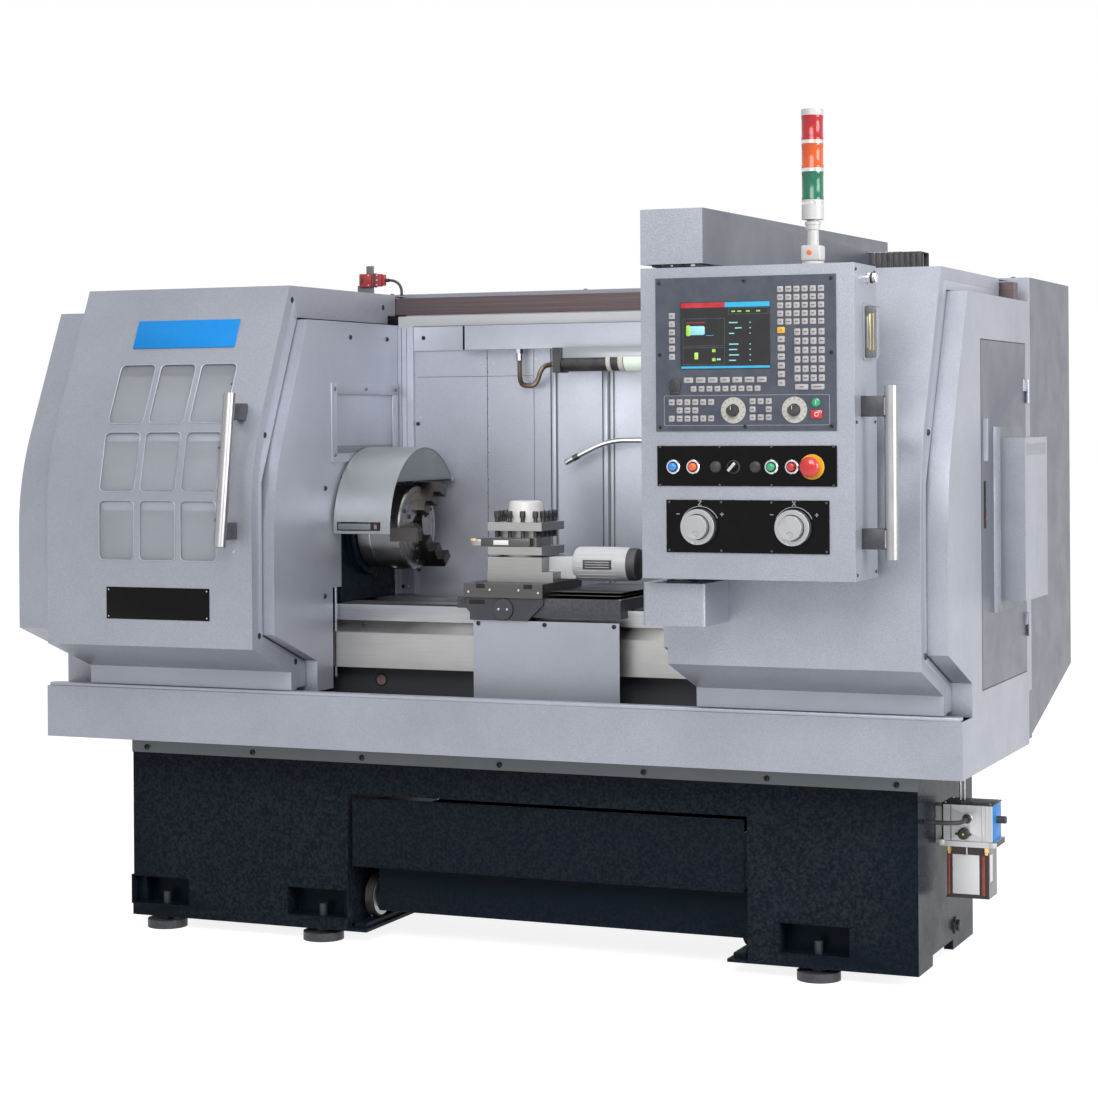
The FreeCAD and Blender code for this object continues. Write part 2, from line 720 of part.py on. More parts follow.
def make_tank():
    """Coolant tank that rolls out of the bay on front wheels and rear glides."""
    left = -d.bay_left + d.tank_gap
    right = d.bay_right - d.tank_gap
    top = d.bay_top - d.tank_gap
    sides = (left + d.toe_width, right - d.toe_width)
    inner = (sides[0] + GAUGE, sides[1] - GAUGE)
    body_front = d.tank_front + d.tank_setback
    low = block("tank_low", sides, (body_front, d.tank_rear), (d.tank_floor, d.tank_panel_bottom))
    high = block(
        "tank_high", sides, (d.tank_front + GAUGE, d.tank_rear), (d.tank_panel_bottom, top - 60))
    inside = block(
        "tank_inside", inner, (body_front + GAUGE, d.tank_rear - GAUGE),
        (d.tank_floor + GAUGE, top))
    inside_high = block(
        "tank_inside_high", inner, (d.tank_front + 2 * GAUGE, d.tank_rear - GAUGE),
        (d.tank_panel_bottom + GAUGE, top))
    liquid = fuse("tank_insides", inside, inside_high)
    hull = cut("tank_hull", fuse("tank_steps", low, high), liquid)
    panel = block(
        "tank_panel", (left, right), (d.tank_front, d.tank_front + GAUGE),
        (d.tank_panel_bottom, top))
    skirt = block(
        "tank_skirt", (sides[0], right - 3), (body_front, body_front + GAUGE),
        (d.tank_floor, d.tank_panel_bottom))
    shelf = block(
        "tank_shelf", (sides[0], right - 3), (d.tank_front, body_front + GAUGE),
        (d.tank_panel_bottom, d.tank_panel_bottom + GAUGE))
    radius = d.tank_wheel_radius
    axle_y = d.tank_front + d.tank_wheel_behind
    axle_z = tank_rail_top() + radius + 0.3
    fixed = [
        panel,
        skirt,
        shelf,
        rod("tank_stub_left", "X", (left, axle_y, axle_z), d.toe_width + 1, 8),
        rod("tank_stub_right", "X", (sides[1] - 1, axle_y, axle_z), d.toe_width + 1, 8),
    ]
    for side, low_x, high_x in (("left", left, sides[0] + 1), ("right", sides[1] - 1, right)):
        fixed.append(block(
            f"glide_{side}", (low_x, high_x), (d.tank_rear - 90, d.tank_rear - 30),
            (tank_rail_top() + d.slide_gap, d.tank_floor + 40)))
    node("coolant_tank", fuse("tank_whole", hull, *fixed))
    wheels = []
    for side, x in (("left", left + 6), ("right", right - 28)):
        wheels.append(turned(f"wheel_{side}", "X", (x, axle_y, axle_z), [
            (0, 8 + d.running_gap),
            (0, radius),
            (22, radius),
            (22, 8 + d.running_gap),
        ]))
    node("tank_wheels", group("wheel_pair", *wheels))


# ---------------------------------------------------------------- enclosure


def guard_outline():
    """Section of an end guard: roof, slope, bulge, undercut and skirt."""
    return [
        (d.guard_rear, d.guard_top),
        (d.guard_roof_front, d.guard_top),
        (-d.guard_bulge, d.guard_knee),
        (-d.guard_bulge, d.guard_chin),
        (d.guard_skirt, d.guard_skirt_top),
        (d.guard_skirt, d.guard_foot),
        (d.guard_rear, d.guard_foot),
    ]


def make_guard(side):
    """Folded end guard with the wall of the work space as its inner end."""
    if side == "left":
        span = (-HALF, -d.opening_left)
        slot = (-d.opening_left - d.roof_slot, -d.opening_left + 1)
        wall = (-d.opening_left - GAUGE - 1, -d.opening_left + 1)
    else:
        span = (d.opening_right, HALF)
        slot = (d.opening_right - 1, d.opening_right + d.roof_slot)
        wall = (d.opening_right - 1, d.opening_right + GAUGE + 1)
    body = new_body(f"{side}_guard")
    solid = pad(body, f"{side}_guard_pad", "X", guard_outline(), span)
    bent = bend(
        body, solid, f"{side}_guard_bend", -d.guard_bulge, d.guard_knee, d.knee_radius)

    def open_face(face):
        middle = face.CenterOfMass
        behind = abs(middle.y - d.guard_rear.value) < 1
        below = abs(middle.z - d.guard_foot.value) < 1
        return behind or below

    hollow(body, bent, f"{side}_guard_sheet", open_face, GAUGE)
    tools = [
        block(f"{side}_roof_slot", slot, (-d.door_bulge, d.guard_rear + 1),
              (d.wall_top, d.guard_top + 1)),
        block(f"{side}_bed_gap", wall, (COVER_FRONT - 10, BED_REAR + 15),
              (d.guard_foot - 1, d.bed_top + 42)),
    ]
    head_half = d.head_width / 2 + 2
    if side == "left":
        tools.append(block(
            "left_head_gap", wall, (d.spindle_y - head_half, d.spindle_y + head_half),
            (d.bed_top, d.head_top + 2)))
        tools.append(rod(
            "bar_hole", "X", (-HALF - 1, d.spindle_y, d.spindle_z), GAUGE + 2, d.bar_hole))
    else:
        tools.append(block(
            "right_tail_gap", wall, (d.spindle_y - head_half, d.spindle_y + head_half),
            (d.bed_top, d.spindle_z + 160)))
        gap = d.side_gap
        tools.append(block(
            "service_gap", (HALF - GAUGE - 1, HALF + 1),
            (d.side_door_front - gap, d.side_door_rear + gap),
            (d.side_door_bottom - gap, d.side_door_top + gap)))
    shell = cut(f"{side}_guard_cut", body, *tools)
    if side == "left":
        pin = rod(
            "chuck_guard_pin", "X",
            (-d.opening_left - GAUGE, guard_hinge()[0], guard_hinge()[1]),
            d.opening_left + GAUGE - d.chuck_guard_right, 5)
        frame_y = (d.guard_skirt + 86, d.opening_rear - d.post_depth - 5)
        frame_z = (1266, 1475)
        frame = cut(
            "wall_frame",
            block("wall_frame_outer", (-d.opening_left - 1, -d.opening_left + 4), frame_y, frame_z),
            block("wall_frame_inner", (-d.opening_left - 2, -d.opening_left + 5),
                  (frame_y[0] + 24, frame_y[1] - 24), (frame_z[0] + 24, frame_z[1] - 24)))
        shell = fuse("left_guard_whole", shell, pin, frame)
    else:
        shell = fuse("right_guard_whole", shell, *side_hinge_fixed())
    node(f"{side}_end_guard", shell)


def guard_hinge():
    """Hinge line of the chuck guard, behind and above the spindle."""
    angle = math.radians(36)
    return (
        d.spindle_y + d.chuck_guard_radius * math.cos(angle),
        d.spindle_z + d.chuck_guard_radius * math.sin(angle),
    )


def make_rear_wall():
    """Rear wall of the work space with corner posts, header box and painted rail."""
    left, right = -d.opening_left, d.opening_right
    wall = block(
        "wall_sheet", (left, right), (d.opening_rear, d.opening_rear + GAUGE),
        (d.tray_top + 2, d.white_rail_top))
    posts = [
        block("post_left", (left + 0.5, left + d.post_width),
              (d.opening_rear - d.post_depth, d.opening_rear + 1), (d.bed_top, d.header_top)),
        block("post_right", (right - d.post_width, right - 0.5),
              (d.opening_rear - d.post_depth, d.opening_rear + 1), (d.bed_top, d.header_top)),
    ]
    header = block(
        "header_box", (-d.header_left, right - d.post_width - 1),
        (d.header_front, d.opening_rear + 1), (d.header_bottom, d.header_top))
    header_wing = block(
        "header_wing", (left + d.post_width, -d.header_left + 1),
        (d.opening_rear - 6, d.opening_rear + 1), (d.header_bottom, d.header_top))
    rail = block(
        "white_rail", (left, right), (d.opening_rear - 7, d.opening_rear + 1),
        (d.header_top, d.white_rail_top))
    ledge = block(
        "rail_ledge", (left, right), (d.opening_rear, d.rail_front + d.rail_depth),
        (d.white_rail_top - GAUGE, d.white_rail_top))
    seat = block(
        "rail_seat", (left, right), (d.rail_front + 5, d.rail_front + d.rail_depth - 5),
        (d.white_rail_top - GAUGE, d.rail_bottom))
    ribs = [
        block(f"wall_rib_{index}", (x, x + 12), (d.opening_rear - 5, d.opening_rear + 1),
              (d.bed_top + 40, d.header_bottom - 1))
        for index, x in enumerate((-23, 128))
    ]
    node("rear_wall", fuse("rear_wall_whole", wall, header, header_wing, rail, ledge, seat, *posts, *ribs))


def make_rail():
    """Ground bar that both doors hang from."""
    end = HALF - d.rail_inset
    node("door_rail", block(
        "rail_bar", (-end, end), (d.rail_front, d.rail_front + d.rail_depth),
        (d.rail_bottom, d.rail_bottom + d.rail_height)))


def make_cabinet():
    """Electrical cabinet across the rear, open underneath, with two louvred doors."""
    rear = d.cabinet_rear - d.cabinet_door_proud
    body = new_body("cabinet_body")
    outline = pad(body, "cabinet_pad", "X", [
        (d.cabinet_front, d.cabinet_top),
        (d.cabinet_front, d.tray_bottom + 21),
        (rear, d.cabinet_rear_bottom),
        (rear, d.cabinet_top),
    ], (-HALF, HALF))

    def sloping(face):
        normal = face.normalAt(0, 0)
        return abs(normal.y) > 0.1 and abs(normal.z) > 0.1

    hollow(body, outline, "cabinet_sheet", sloping, GAUGE)
    joint = block(
        "cabinet_joint", (-HALF, HALF), (d.tray_depth, d.cabinet_front + 1),
        (d.tray_bottom + 12, d.tray_top))
    leaves = []
    rim = d.cabinet_door_rim
    for side, left, right in (("left", -HALF + rim, size(-3)), ("right", size(3), HALF - rim)):
        leaves.append(block(
            f"cabinet_door_{side}", (left, right), (rear - 1, d.cabinet_rear - 4),
            (d.cabinet_rear_bottom + rim, d.cabinet_top - rim)))
        middle = (left + right) / 2
        for row in range(7):
            z = d.cabinet_top - 2.6 * rim - row * d.louvre_pitch
            leaves.append(block(
                f"louvre_{side}_{row}", (middle - 150, middle + 150),
                (d.cabinet_rear - 5, d.cabinet_rear), (z - d.louvre_height, z)))
        swing = right - 40 if side == "left" else left + 40
        leaves.append(block(
            f"cabinet_latch_{side}", (swing - 12, swing + 12), (d.cabinet_rear - 5, d.cabinet_rear),
            (d.cabinet_rear_bottom + 420, d.cabinet_rear_bottom + 560)))
    node("electrical_cabinet", fuse("cabinet_whole", body, joint, *leaves))


def make_side_door():
    """Service door in the right end guard, with the box bolted to its outside."""
    panel = block(
        "side_panel", (HALF - GAUGE, HALF), (d.side_door_front, d.side_door_rear),
        (d.side_door_bottom, d.side_door_top))
    hole = block(
        "side_panel_hole", (HALF - GAUGE - 1, HALF + 1),
        (d.side_box_front + GAUGE, d.side_box_rear - GAUGE),
        (d.side_box_bottom + GAUGE, d.side_box_top - GAUGE))
    folds = [
        block("side_fold_front", (HALF - 20, HALF - GAUGE + 1),
              (d.side_door_front, d.side_door_front + GAUGE),
              (d.side_door_bottom, d.side_door_top)),
        block("side_fold_rear", (HALF - 20, HALF - GAUGE + 1),
              (d.side_door_rear - GAUGE, d.side_door_rear),
              (d.side_door_bottom, d.side_door_top)),
    ]
    flange = cut(
        "side_flange",
        block("side_flange_plate", (HALF, HALF + GAUGE),
              (d.side_box_front - d.side_flange, d.side_box_rear),
              (d.side_box_bottom - 26, d.side_box_top + 27)),
        block("side_flange_hole", (HALF - 1, HALF + GAUGE + 1),
              (d.side_box_front + GAUGE, d.side_box_rear - GAUGE),
              (d.side_box_bottom + GAUGE, d.side_box_top - GAUGE)))
    fold = block(
        "side_flange_fold", (HALF, HALF + 16),
        (d.side_box_front - d.side_flange - GAUGE, d.side_box_front - d.side_flange),
        (d.side_box_bottom - 26, d.side_box_top + 27))
    box = cut(
        "side_box",
        block("side_box_block", (HALF + GAUGE, HALF + d.side_box_proud),
              (d.side_box_front, d.side_box_rear), (d.side_box_bottom, d.side_box_top)),
        block("side_box_inside", (HALF, HALF + d.side_box_proud - GAUGE),
              (d.side_box_front + GAUGE, d.side_box_rear - GAUGE),
              (d.side_box_bottom + GAUGE, d.side_box_top - GAUGE)))
    latch = block(
        "side_latch", (HALF, HALF + 9), (d.side_door_front + 22, d.side_door_front + 36),
        (1270, 1372))
    hinge_x, hinge_y = side_hinge()
    leaves = []
    bores = []
    for index, z in enumerate(side_hinge_heights()):
        leaves.append(block(
            f"door_leaf_{index}", (HALF - 1, hinge_x), (hinge_y - 26, hinge_y - 1.5),
            (z + 30 + d.slide_gap, z + 60)))
        leaves.append(rod(
            f"door_knuckle_{index}", "Z", (hinge_x, hinge_y, z + 30 + d.slide_gap), 30, 5))
        bores.append(rod(
            f"door_knuckle_bore_{index}", "Z", (hinge_x, hinge_y, z + 29), 32,
            2.5 + d.running_gap))
    whole = fuse("side_door_whole", cut("side_sheet", panel, hole), *folds, flange, fold, box,
                 latch, *leaves)
    node("side_door", cut("side_door_bored", whole, *bores))


def side_hinge():
    """Axis of the service door's hinges, just outside the end guard."""
    return HALF + 6, d.side_door_rear + d.side_gap / 2


def side_hinge_heights():
    return d.side_door_bottom + 90, d.side_door_top - 150


def side_hinge_fixed():
    """Lower knuckles, pins and leaves that stay on the end guard."""
    x, y = side_hinge()
    parts = []
    for index, z in enumerate(side_hinge_heights()):
        parts.append(block(
            f"wall_leaf_{index}", (HALF - 1, x), (y + 1.5, y + 26), (z, z + 30)))
        parts.append(rod(f"wall_knuckle_{index}", "Z", (x, y, z), 30, 5))
        parts.append(rod(f"hinge_pin_{index}", "Z", (x, y, z + 29), 31, 2.5))
    return parts


def door_outline():
    """Section of a sliding door."""
    return [
        (d.door_roof_rear, d.door_top),
        (d.door_roof_front, d.door_top),
        (-d.door_bulge, d.door_knee),
        (-d.door_bulge, d.door_chin),
        (d.door_skirt, d.door_skirt_top),
        (d.door_skirt, d.door_foot),
        (d.door_roof_rear, d.door_foot),
    ]


def door_inner_outline():
    """The same section drawn in by the width of the end flanges."""
    fold = d.door_flange
    return [
        (d.door_roof_rear + 1, d.door_top - fold),
        (d.door_roof_front + fold * 0.8, d.door_top - fold),
        (-d.door_bulge + fold, d.door_knee - fold * 0.2),
        (-d.door_bulge + fold, d.door_chin + fold * 0.7),
        (d.door_skirt + fold, d.door_skirt_top + fold * 0.7),
        (d.door_skirt + fold, d.door_foot - 1),
        (d.door_roof_rear + 1, d.door_foot - 1),
    ]


def end_plate(name, span):
    """C-shaped end of a door, following its section."""
    body = new_body(name)
    plate = pad(body, name + "_pad", "X", door_outline(), span)
    bend(body, plate, name + "_bend", -d.door_bulge, d.door_knee, d.knee_radius)
    body_cut = new_body(name + "_inside")
    wide = (size(span[0]) - 1, size(span[1]) + 1)
    inner = pad(body_cut, name + "_inside_pad", "X", door_inner_outline(), wide)
    bend(body_cut, inner, name + "_inside_bend", -d.door_bulge + d.door_flange,
         d.door_knee - d.door_flange * 0.2, d.knee_radius)
    rail_room = block(
        name + "_rail_room", wide, (d.rail_front - 20, d.door_roof_rear + 1),
        (d.door_foot, d.door_top - GAUGE))
    return cut(name + "_flange", body, body_cut, rail_room)


def door_shell(side, outer, inner):
    """Front sheet, roof and end plates of one door between two X positions."""
    low, high = (outer, inner) if side == "left" else (inner, outer)
    body = new_body(f"{side}_door_sheet")
    solid = pad(body, f"{side}_door_pad", "X", door_outline(), (low, high))
    bent = bend(body, solid, f"{side}_door_bend", -d.door_bulge, d.door_knee, d.knee_radius)

    def open_face(face):
        middle = face.CenterOfMass
        behind = abs(middle.y - d.door_roof_rear.value) < 1
        below = abs(middle.z - d.door_foot.value) < 1
        end = abs(middle.x - low.value) < 1 or abs(middle.x - high.value) < 1
        return behind or below or end

    hollow(body, bent, f"{side}_door_hollow", open_face, GAUGE)
    pieces = [
        body,
        end_plate(f"{side}_door_low_end", (low, low + GAUGE)),
        end_plate(f"{side}_door_high_end", (high - GAUGE, high)),
    ]
    gable_span = (inner - GAUGE, inner) if side == "left" else (inner, inner + GAUGE)
    gable = new_body(f"{side}_gable")
    pad(gable, f"{side}_gable_pad", "X", [
        (d.door_roof_front + 16, d.door_top - GAUGE / 2),
        (d.door_roof_front + 42, d.door_top - d.gable_drop),
        (d.opening_rear - 12, d.door_top - d.gable_drop),
        (d.opening_rear - 12, d.white_rail_top + 4),
        (d.rail_front - 4, d.white_rail_top + 4),
        (d.rail_front - 4, d.door_top - GAUGE / 2),
    ], gable_span)
    pieces.append(gable)
    for index, x in enumerate((low + 40, high - 40 - d.hanger_length)):
        pieces.append(block(
            f"{side}_hanger_{index}", (x, x + d.hanger_length),
            (d.rail_front + 3, d.rail_front + d.rail_depth - 3),
            (d.rail_bottom + d.rail_height + d.hanger_gap, d.door_top - GAUGE / 2)))
    return pieces


def make_left_door():
    """Left sliding door with its nine windows, glazing and handle."""
    inner = -d.opening_left - d.door_park
    outer = inner - d.door_width
    shell = fuse("left_door_join", *door_shell("left", outer, inner))
    windows = []
    for row in range(3):
        for column in range(3):
            x = outer + d.window_left + column * d.window_pitch_x
            z = d.window_bottom + row * d.window_pitch_z
            windows.append(rounded_window(f"window_{row}_{column}", x, z))
    node("left_door", cut("left_door_cut", shell, *windows))

    glass = new_body("glazing_sheet")
    gap = 0.5
    back = GAUGE + gap
    left = outer + d.window_left - 22
    right = outer + d.window_left + 2 * d.window_pitch_x + d.window_width + 22
    bottom = d.window_bottom - 20
    top = d.window_bottom + 2 * d.window_pitch_z + d.window_height + 12
    slope = (d.door_roof_front.value + d.door_bulge.value) / (d.door_top.value - d.door_knee.value)
    rise = top - d.door_knee
    lean = math.atan(slope)
    back_top = -d.door_bulge + back / math.cos(lean) + rise * slope
    thick_top = d.glazing / math.cos(lean)
    shoulder = back * math.tan(lean / 2)
    inner_shoulder = (back + d.glazing) * math.tan(lean / 2)
    bulge = -d.door_bulge + back
    pane = pad(glass, "glazing_pad", "X", [
        (bulge, bottom),
        (bulge + d.glazing, bottom),
        (bulge + d.glazing, d.door_knee - inner_shoulder),
        (back_top + thick_top, top),
        (back_top, top),
        (bulge, d.door_knee - shoulder),
    ], (left, right))
    outer_bend = bend(glass, pane, "glazing_bend_out", bulge, d.door_knee - shoulder,
                      d.knee_radius - back)
    bend(glass, outer_bend, "glazing_bend_in", bulge + d.glazing, d.door_knee - inner_shoulder,
         d.knee_radius - back - d.glazing)
    node("left_door_windows", glass)
    node("left_door_handle", door_handle(inner - 55))


def rounded_window(name, x, z):
    """Cutter for one window, rounded at its corners."""
    cutter = block(
        name + "_block", (x, x + d.window_width), (-d.door_bulge - 30, -d.door_roof_front),
        (z, z + d.window_height))
    doc.recompute()
    rounded = doc.addObject("Part::Fillet", name)
    rounded.Base = cutter
    upright = edges_at(cutter.Shape, lambda edge: abs(edge.tangentAt(0).y) > 0.9)
    radius = d.window_corner.value
    rounded.Edges = [(int(edge[4:]), radius, radius) for edge in upright]
    return rounded


def front_of_door(z):
    """Y of the door's front face at a height, along the slope or the bulge."""
    share = (d.door_roof_front + d.door_bulge) / (d.door_top - d.door_knee)
    if z.value <= d.door_knee.value:
        return -d.door_bulge
    return -d.door_bulge + (z - d.door_knee) * share


def door_handle(x):
    """Round bar that leans with the door front, on two blocks."""
    top = d.handle_bottom + d.handle_length
    low_y = front_of_door(d.handle_bottom) - d.door_handle_low
    high_y = front_of_door(top) - d.door_handle_high
    run = high_y.value - low_y.value
    lean = math.degrees(math.atan2(run, d.handle_length.value))
    bar = doc.addObject("Part::Cylinder", "door_handle_bar")
    bind(bar, Radius=d.handle_radius, Height=d.handle_length / math.cos(math.radians(lean)))
    place(bar, x, low_y, d.handle_bottom, rotation=Rotation(Vector(1, 0, 0), -lean))
    blocks = []
    for name, share in (("low", 0.1), ("high", 0.88)):
        z = d.handle_bottom + d.handle_length * share
        y = low_y + (high_y - low_y) * share
        blocks.append(block(
            f"door_handle_{name}", (x - 11, x + 11), (y - 2, y + d.door_handle_high + 20),
            (z - 18, z + 18)))
    seat = new_body("door_handle_seat")
    outline = [(across - d.slide_gap, up) for across, up in door_outline()]
    solid = pad(seat, "handle_seat_pad", "X", outline, (x - 20, x + 20))
    bend(seat, solid, "handle_seat_bend", -d.door_bulge - d.slide_gap, d.door_knee, d.knee_radius)
    return cut("door_handle_cut", fuse("door_handle_whole", bar, *blocks), seat)


# ---------------------------------------------------------------- right door, arms and pendant


def door_edge():
    """Inner edge of the right door when it is open."""
    return d.opening_right + d.door_park


def make_right_door():
    """Right sliding door, which carries the pendant's arms."""
    inner = door_edge()
    node("right_door", fuse(
        "right_door_join", *door_shell("right", inner + d.door_width, inner)))


def make_arms():
    """Upper and lower pendant arms, each with its pivot pin."""
    left = door_edge() + d.arm_left
    right = left + d.arm_width
    pivot = door_edge() + d.pivot_in
    body = new_body("upper_arm_box")
    low = d.upper_arm_bottom
    rear_low = low + d.upper_arm_rise
    beam = pad(body, "upper_arm_pad", "X", [
        (-d.arm_front, low),
        (d.upper_arm_rear, rear_low),
        (d.upper_arm_rear, rear_low + d.upper_arm_height),
        (-d.arm_front, low + d.upper_arm_height),
    ], (left, right))

    def rear_end(face):
        return abs(face.CenterOfMass.y - d.upper_arm_rear.value) < 1

    hollow(body, beam, "upper_arm_sheet", rear_end, GAUGE)
    foot = block(
        "upper_arm_foot", (left + 12, right - 12), (d.door_roof_front + 60, d.door_roof_rear - 40),
        (d.door_top, d.door_top + 8))
    pin = rod(
        "upper_pin", "Z", (pivot, -d.pivot_y, d.pendant_top - GAUGE - 12),
        d.upper_arm_bottom - d.pendant_top + GAUGE + 14, d.pivot_radius)
    carrier = new_body("cable_carrier")
    pad(carrier, "cable_carrier_pad", "Y", [
        (right - 4, d.cabinet_top + 24),
        (right + 150, d.cabinet_top + 24),
        (right + 90, d.cabinet_top + 96),
        (right - 4, d.cabinet_top + 96),
    ], (d.upper_arm_rear - 190, d.upper_arm_rear - 110))
    node("upper_arm", fuse("upper_arm_whole", body, foot, pin, carrier))

    lower = new_body("lower_arm_box")
    beam = pad(lower, "lower_arm_pad", "Z", [
        (left, -d.arm_front),
        (right, -d.arm_front),
        (right, -d.door_bulge),
        (left, -d.door_bulge),
    ], (d.lower_arm_bottom, d.lower_arm_top))
    doc.recompute()
    corners = body_corner_edges(beam, -d.arm_front)
    rounded = lower.newObject("PartDesign::Fillet", "lower_arm_corners")
    rounded.Base = (beam, corners)
    rounded.Radius = 8
    lower_pin = rod(
        "lower_pin", "Z", (pivot, -d.pivot_y, d.lower_arm_top - 2),
        d.pendant_bottom - d.lower_arm_top + GAUGE + 14, d.pivot_radius)
    node("lower_arm", fuse("lower_arm_whole", lower, lower_pin))


def body_corner_edges(feature, front):
    """Upright edges of the front end."""
    def upright(edge):
        middle = edge.CenterOfMass
        ends = [vertex.Point for vertex in edge.Vertexes]
        vertical = abs(ends[0].x - ends[-1].x) < 0.1 and abs(ends[0].y - ends[-1].y) < 0.1
        return vertical and abs(middle.y - front.value) < 1
    return edges_at(feature.Shape, upright)


def pendant_left():
    return door_edge() + d.pendant_in


def pendant_spot(across, height):
    """A point of the pendant face by its distance from the left edge and the floor."""
    return pendant_left() + across, -d.pendant_front, size(height)


def in_row(pitches):
    """A place along the button row, in pitches from the first button to the emergency stop."""
    first = 79
    last = d.pendant_width - 96
    return first + pitches * ((last - first) / 7)


BUTTON_ROW = 1268
BUTTONS = (
    ("button_blue", in_row(0)),
    ("button_orange", in_row(1.02)),
    ("button_green", in_row(5)),
    ("button_red", in_row(6.02)),
)
SELECTOR_ACROSS = in_row(3.06)
STOP_ACROSS = in_row(7)
HANDWHEELS = (("handwheel_z", size(140)), ("handwheel_x", d.pendant_width - 138))
HANDWHEEL_ROW = 1134
DIALS = (("feed_dial", size(220)), ("speed_dial", d.pendant_width - 136))
DIAL_ROW = 1393


def make_pendant_box():
    """Pendant housing with its rear cover, swivel bushes and openings behind the plates."""
    left = pendant_left()
    right = left + d.pendant_width
    front = -d.pendant_front
    rear = front + d.pendant_depth
    body = new_body("pendant_shell")
    solid = pad(body, "pendant_pad", "Z", [
        (left, front), (right, front), (right, rear), (left, rear),
    ], (d.pendant_bottom, d.pendant_top))

    def back(face):
        return abs(face.CenterOfMass.y - rear.value) < 1

    hollow(body, solid, "pendant_sheet", back, GAUGE)
    pivot = door_edge() + d.pivot_in
    bushes = []
    tools = []
    bore = d.pivot_radius + d.running_gap
    for name, z in (("low", d.pendant_bottom), ("high", d.pendant_top - 30)):
        bushes.append(rod(f"bush_{name}", "Z", (pivot, -d.pivot_y, z), 30, d.pivot_radius + 9))
    tools.append(rod("bush_bore", "Z", (pivot, -d.pivot_y, d.pendant_bottom - 1),
                     d.pendant_top - d.pendant_bottom + 2, bore))
    for name, first, last, height, reach in (
            ("switch", BUTTONS[0][1], STOP_ACROSS, BUTTON_ROW, 30),
            ("handwheel", HANDWHEELS[0][1], HANDWHEELS[1][1], HANDWHEEL_ROW, 25),
            ("dial", DIALS[0][1], DIALS[1][1], DIAL_ROW, 22)):
        tools.append(block(
            f"{name}_opening", (left + first - 25, left + last + 25),
            (front - 1, front + GAUGE + 1), (height - reach, height + reach)))
    shell = cut("pendant_cut", fuse("pendant_bushed", body, *bushes), *tools)
    cover = block(
        "pendant_cover", (left + 6, right - 6), (rear - GAUGE, rear),
        (d.pendant_bottom + 6, d.pendant_top - 6))
    lip = cut(
        "pendant_lip",
        block("pendant_lip_out", (left + 1, right - 1), (rear - 2 * GAUGE, rear - GAUGE),
              (d.pendant_bottom + 1, d.pendant_top - 1)),
        block("pendant_lip_in", (left + 14, right - 14), (rear - 2 * GAUGE - 1, rear),
              (d.pendant_bottom + 14, d.pendant_top - 14)))
    node("pendant_box", fuse("pendant_whole", shell, lip, cover))


def control_holes():
    """Every hole through the pendant's plates: name, place and radius."""
    stem = 8 + d.running_gap
    holes = [(name, across, BUTTON_ROW, d.button_hole) for name, across in BUTTONS]
    holes.append(("mode_selector", SELECTOR_ACROSS, BUTTON_ROW, stem))
    holes.append(("emergency_stop", STOP_ACROSS, BUTTON_ROW, d.button_hole))
    holes += [(name, across, HANDWHEEL_ROW, stem) for name, across in HANDWHEELS]
    holes += [(name, across, DIAL_ROW, stem) for name, across in DIALS]
    return holes


def make_panels():
    """The control panel plate, and the switch and handwheel plates below it."""
    plates = {
        "cnc_plate": (37, 40, 1348, 1692),
        "switch_plate": (39, 40, 1225, 1315),
        "handwheel_plate": (60, 58, 1076, 1194),
    }
    made = {}
    for name, (left_rim, right_rim, bottom, top) in plates.items():
        left = pendant_left() + left_rim
        right = pendant_left() + d.pendant_width - right_rim
        plate = block(
            name, (left, right), (-d.pendant_front - d.panel_plate, -d.pendant_front),
            (bottom, top))
        tools = []
        for hole, across, height, radius in control_holes():
            if bottom < height < top:
                spot = pendant_spot(across, height)
                tools.append(rod(
                    f"{name}_{hole}", "Y", (spot[0], spot[1] - d.panel_plate - 1, spot[2]),
                    d.panel_plate + 2, radius))
        made[name] = cut(name + "_cut", plate, *tools)
    node("cnc_panel", made["cnc_plate"])
    node("switch_panels", group(
        "switch_pair", made["switch_plate"], made["handwheel_plate"]))


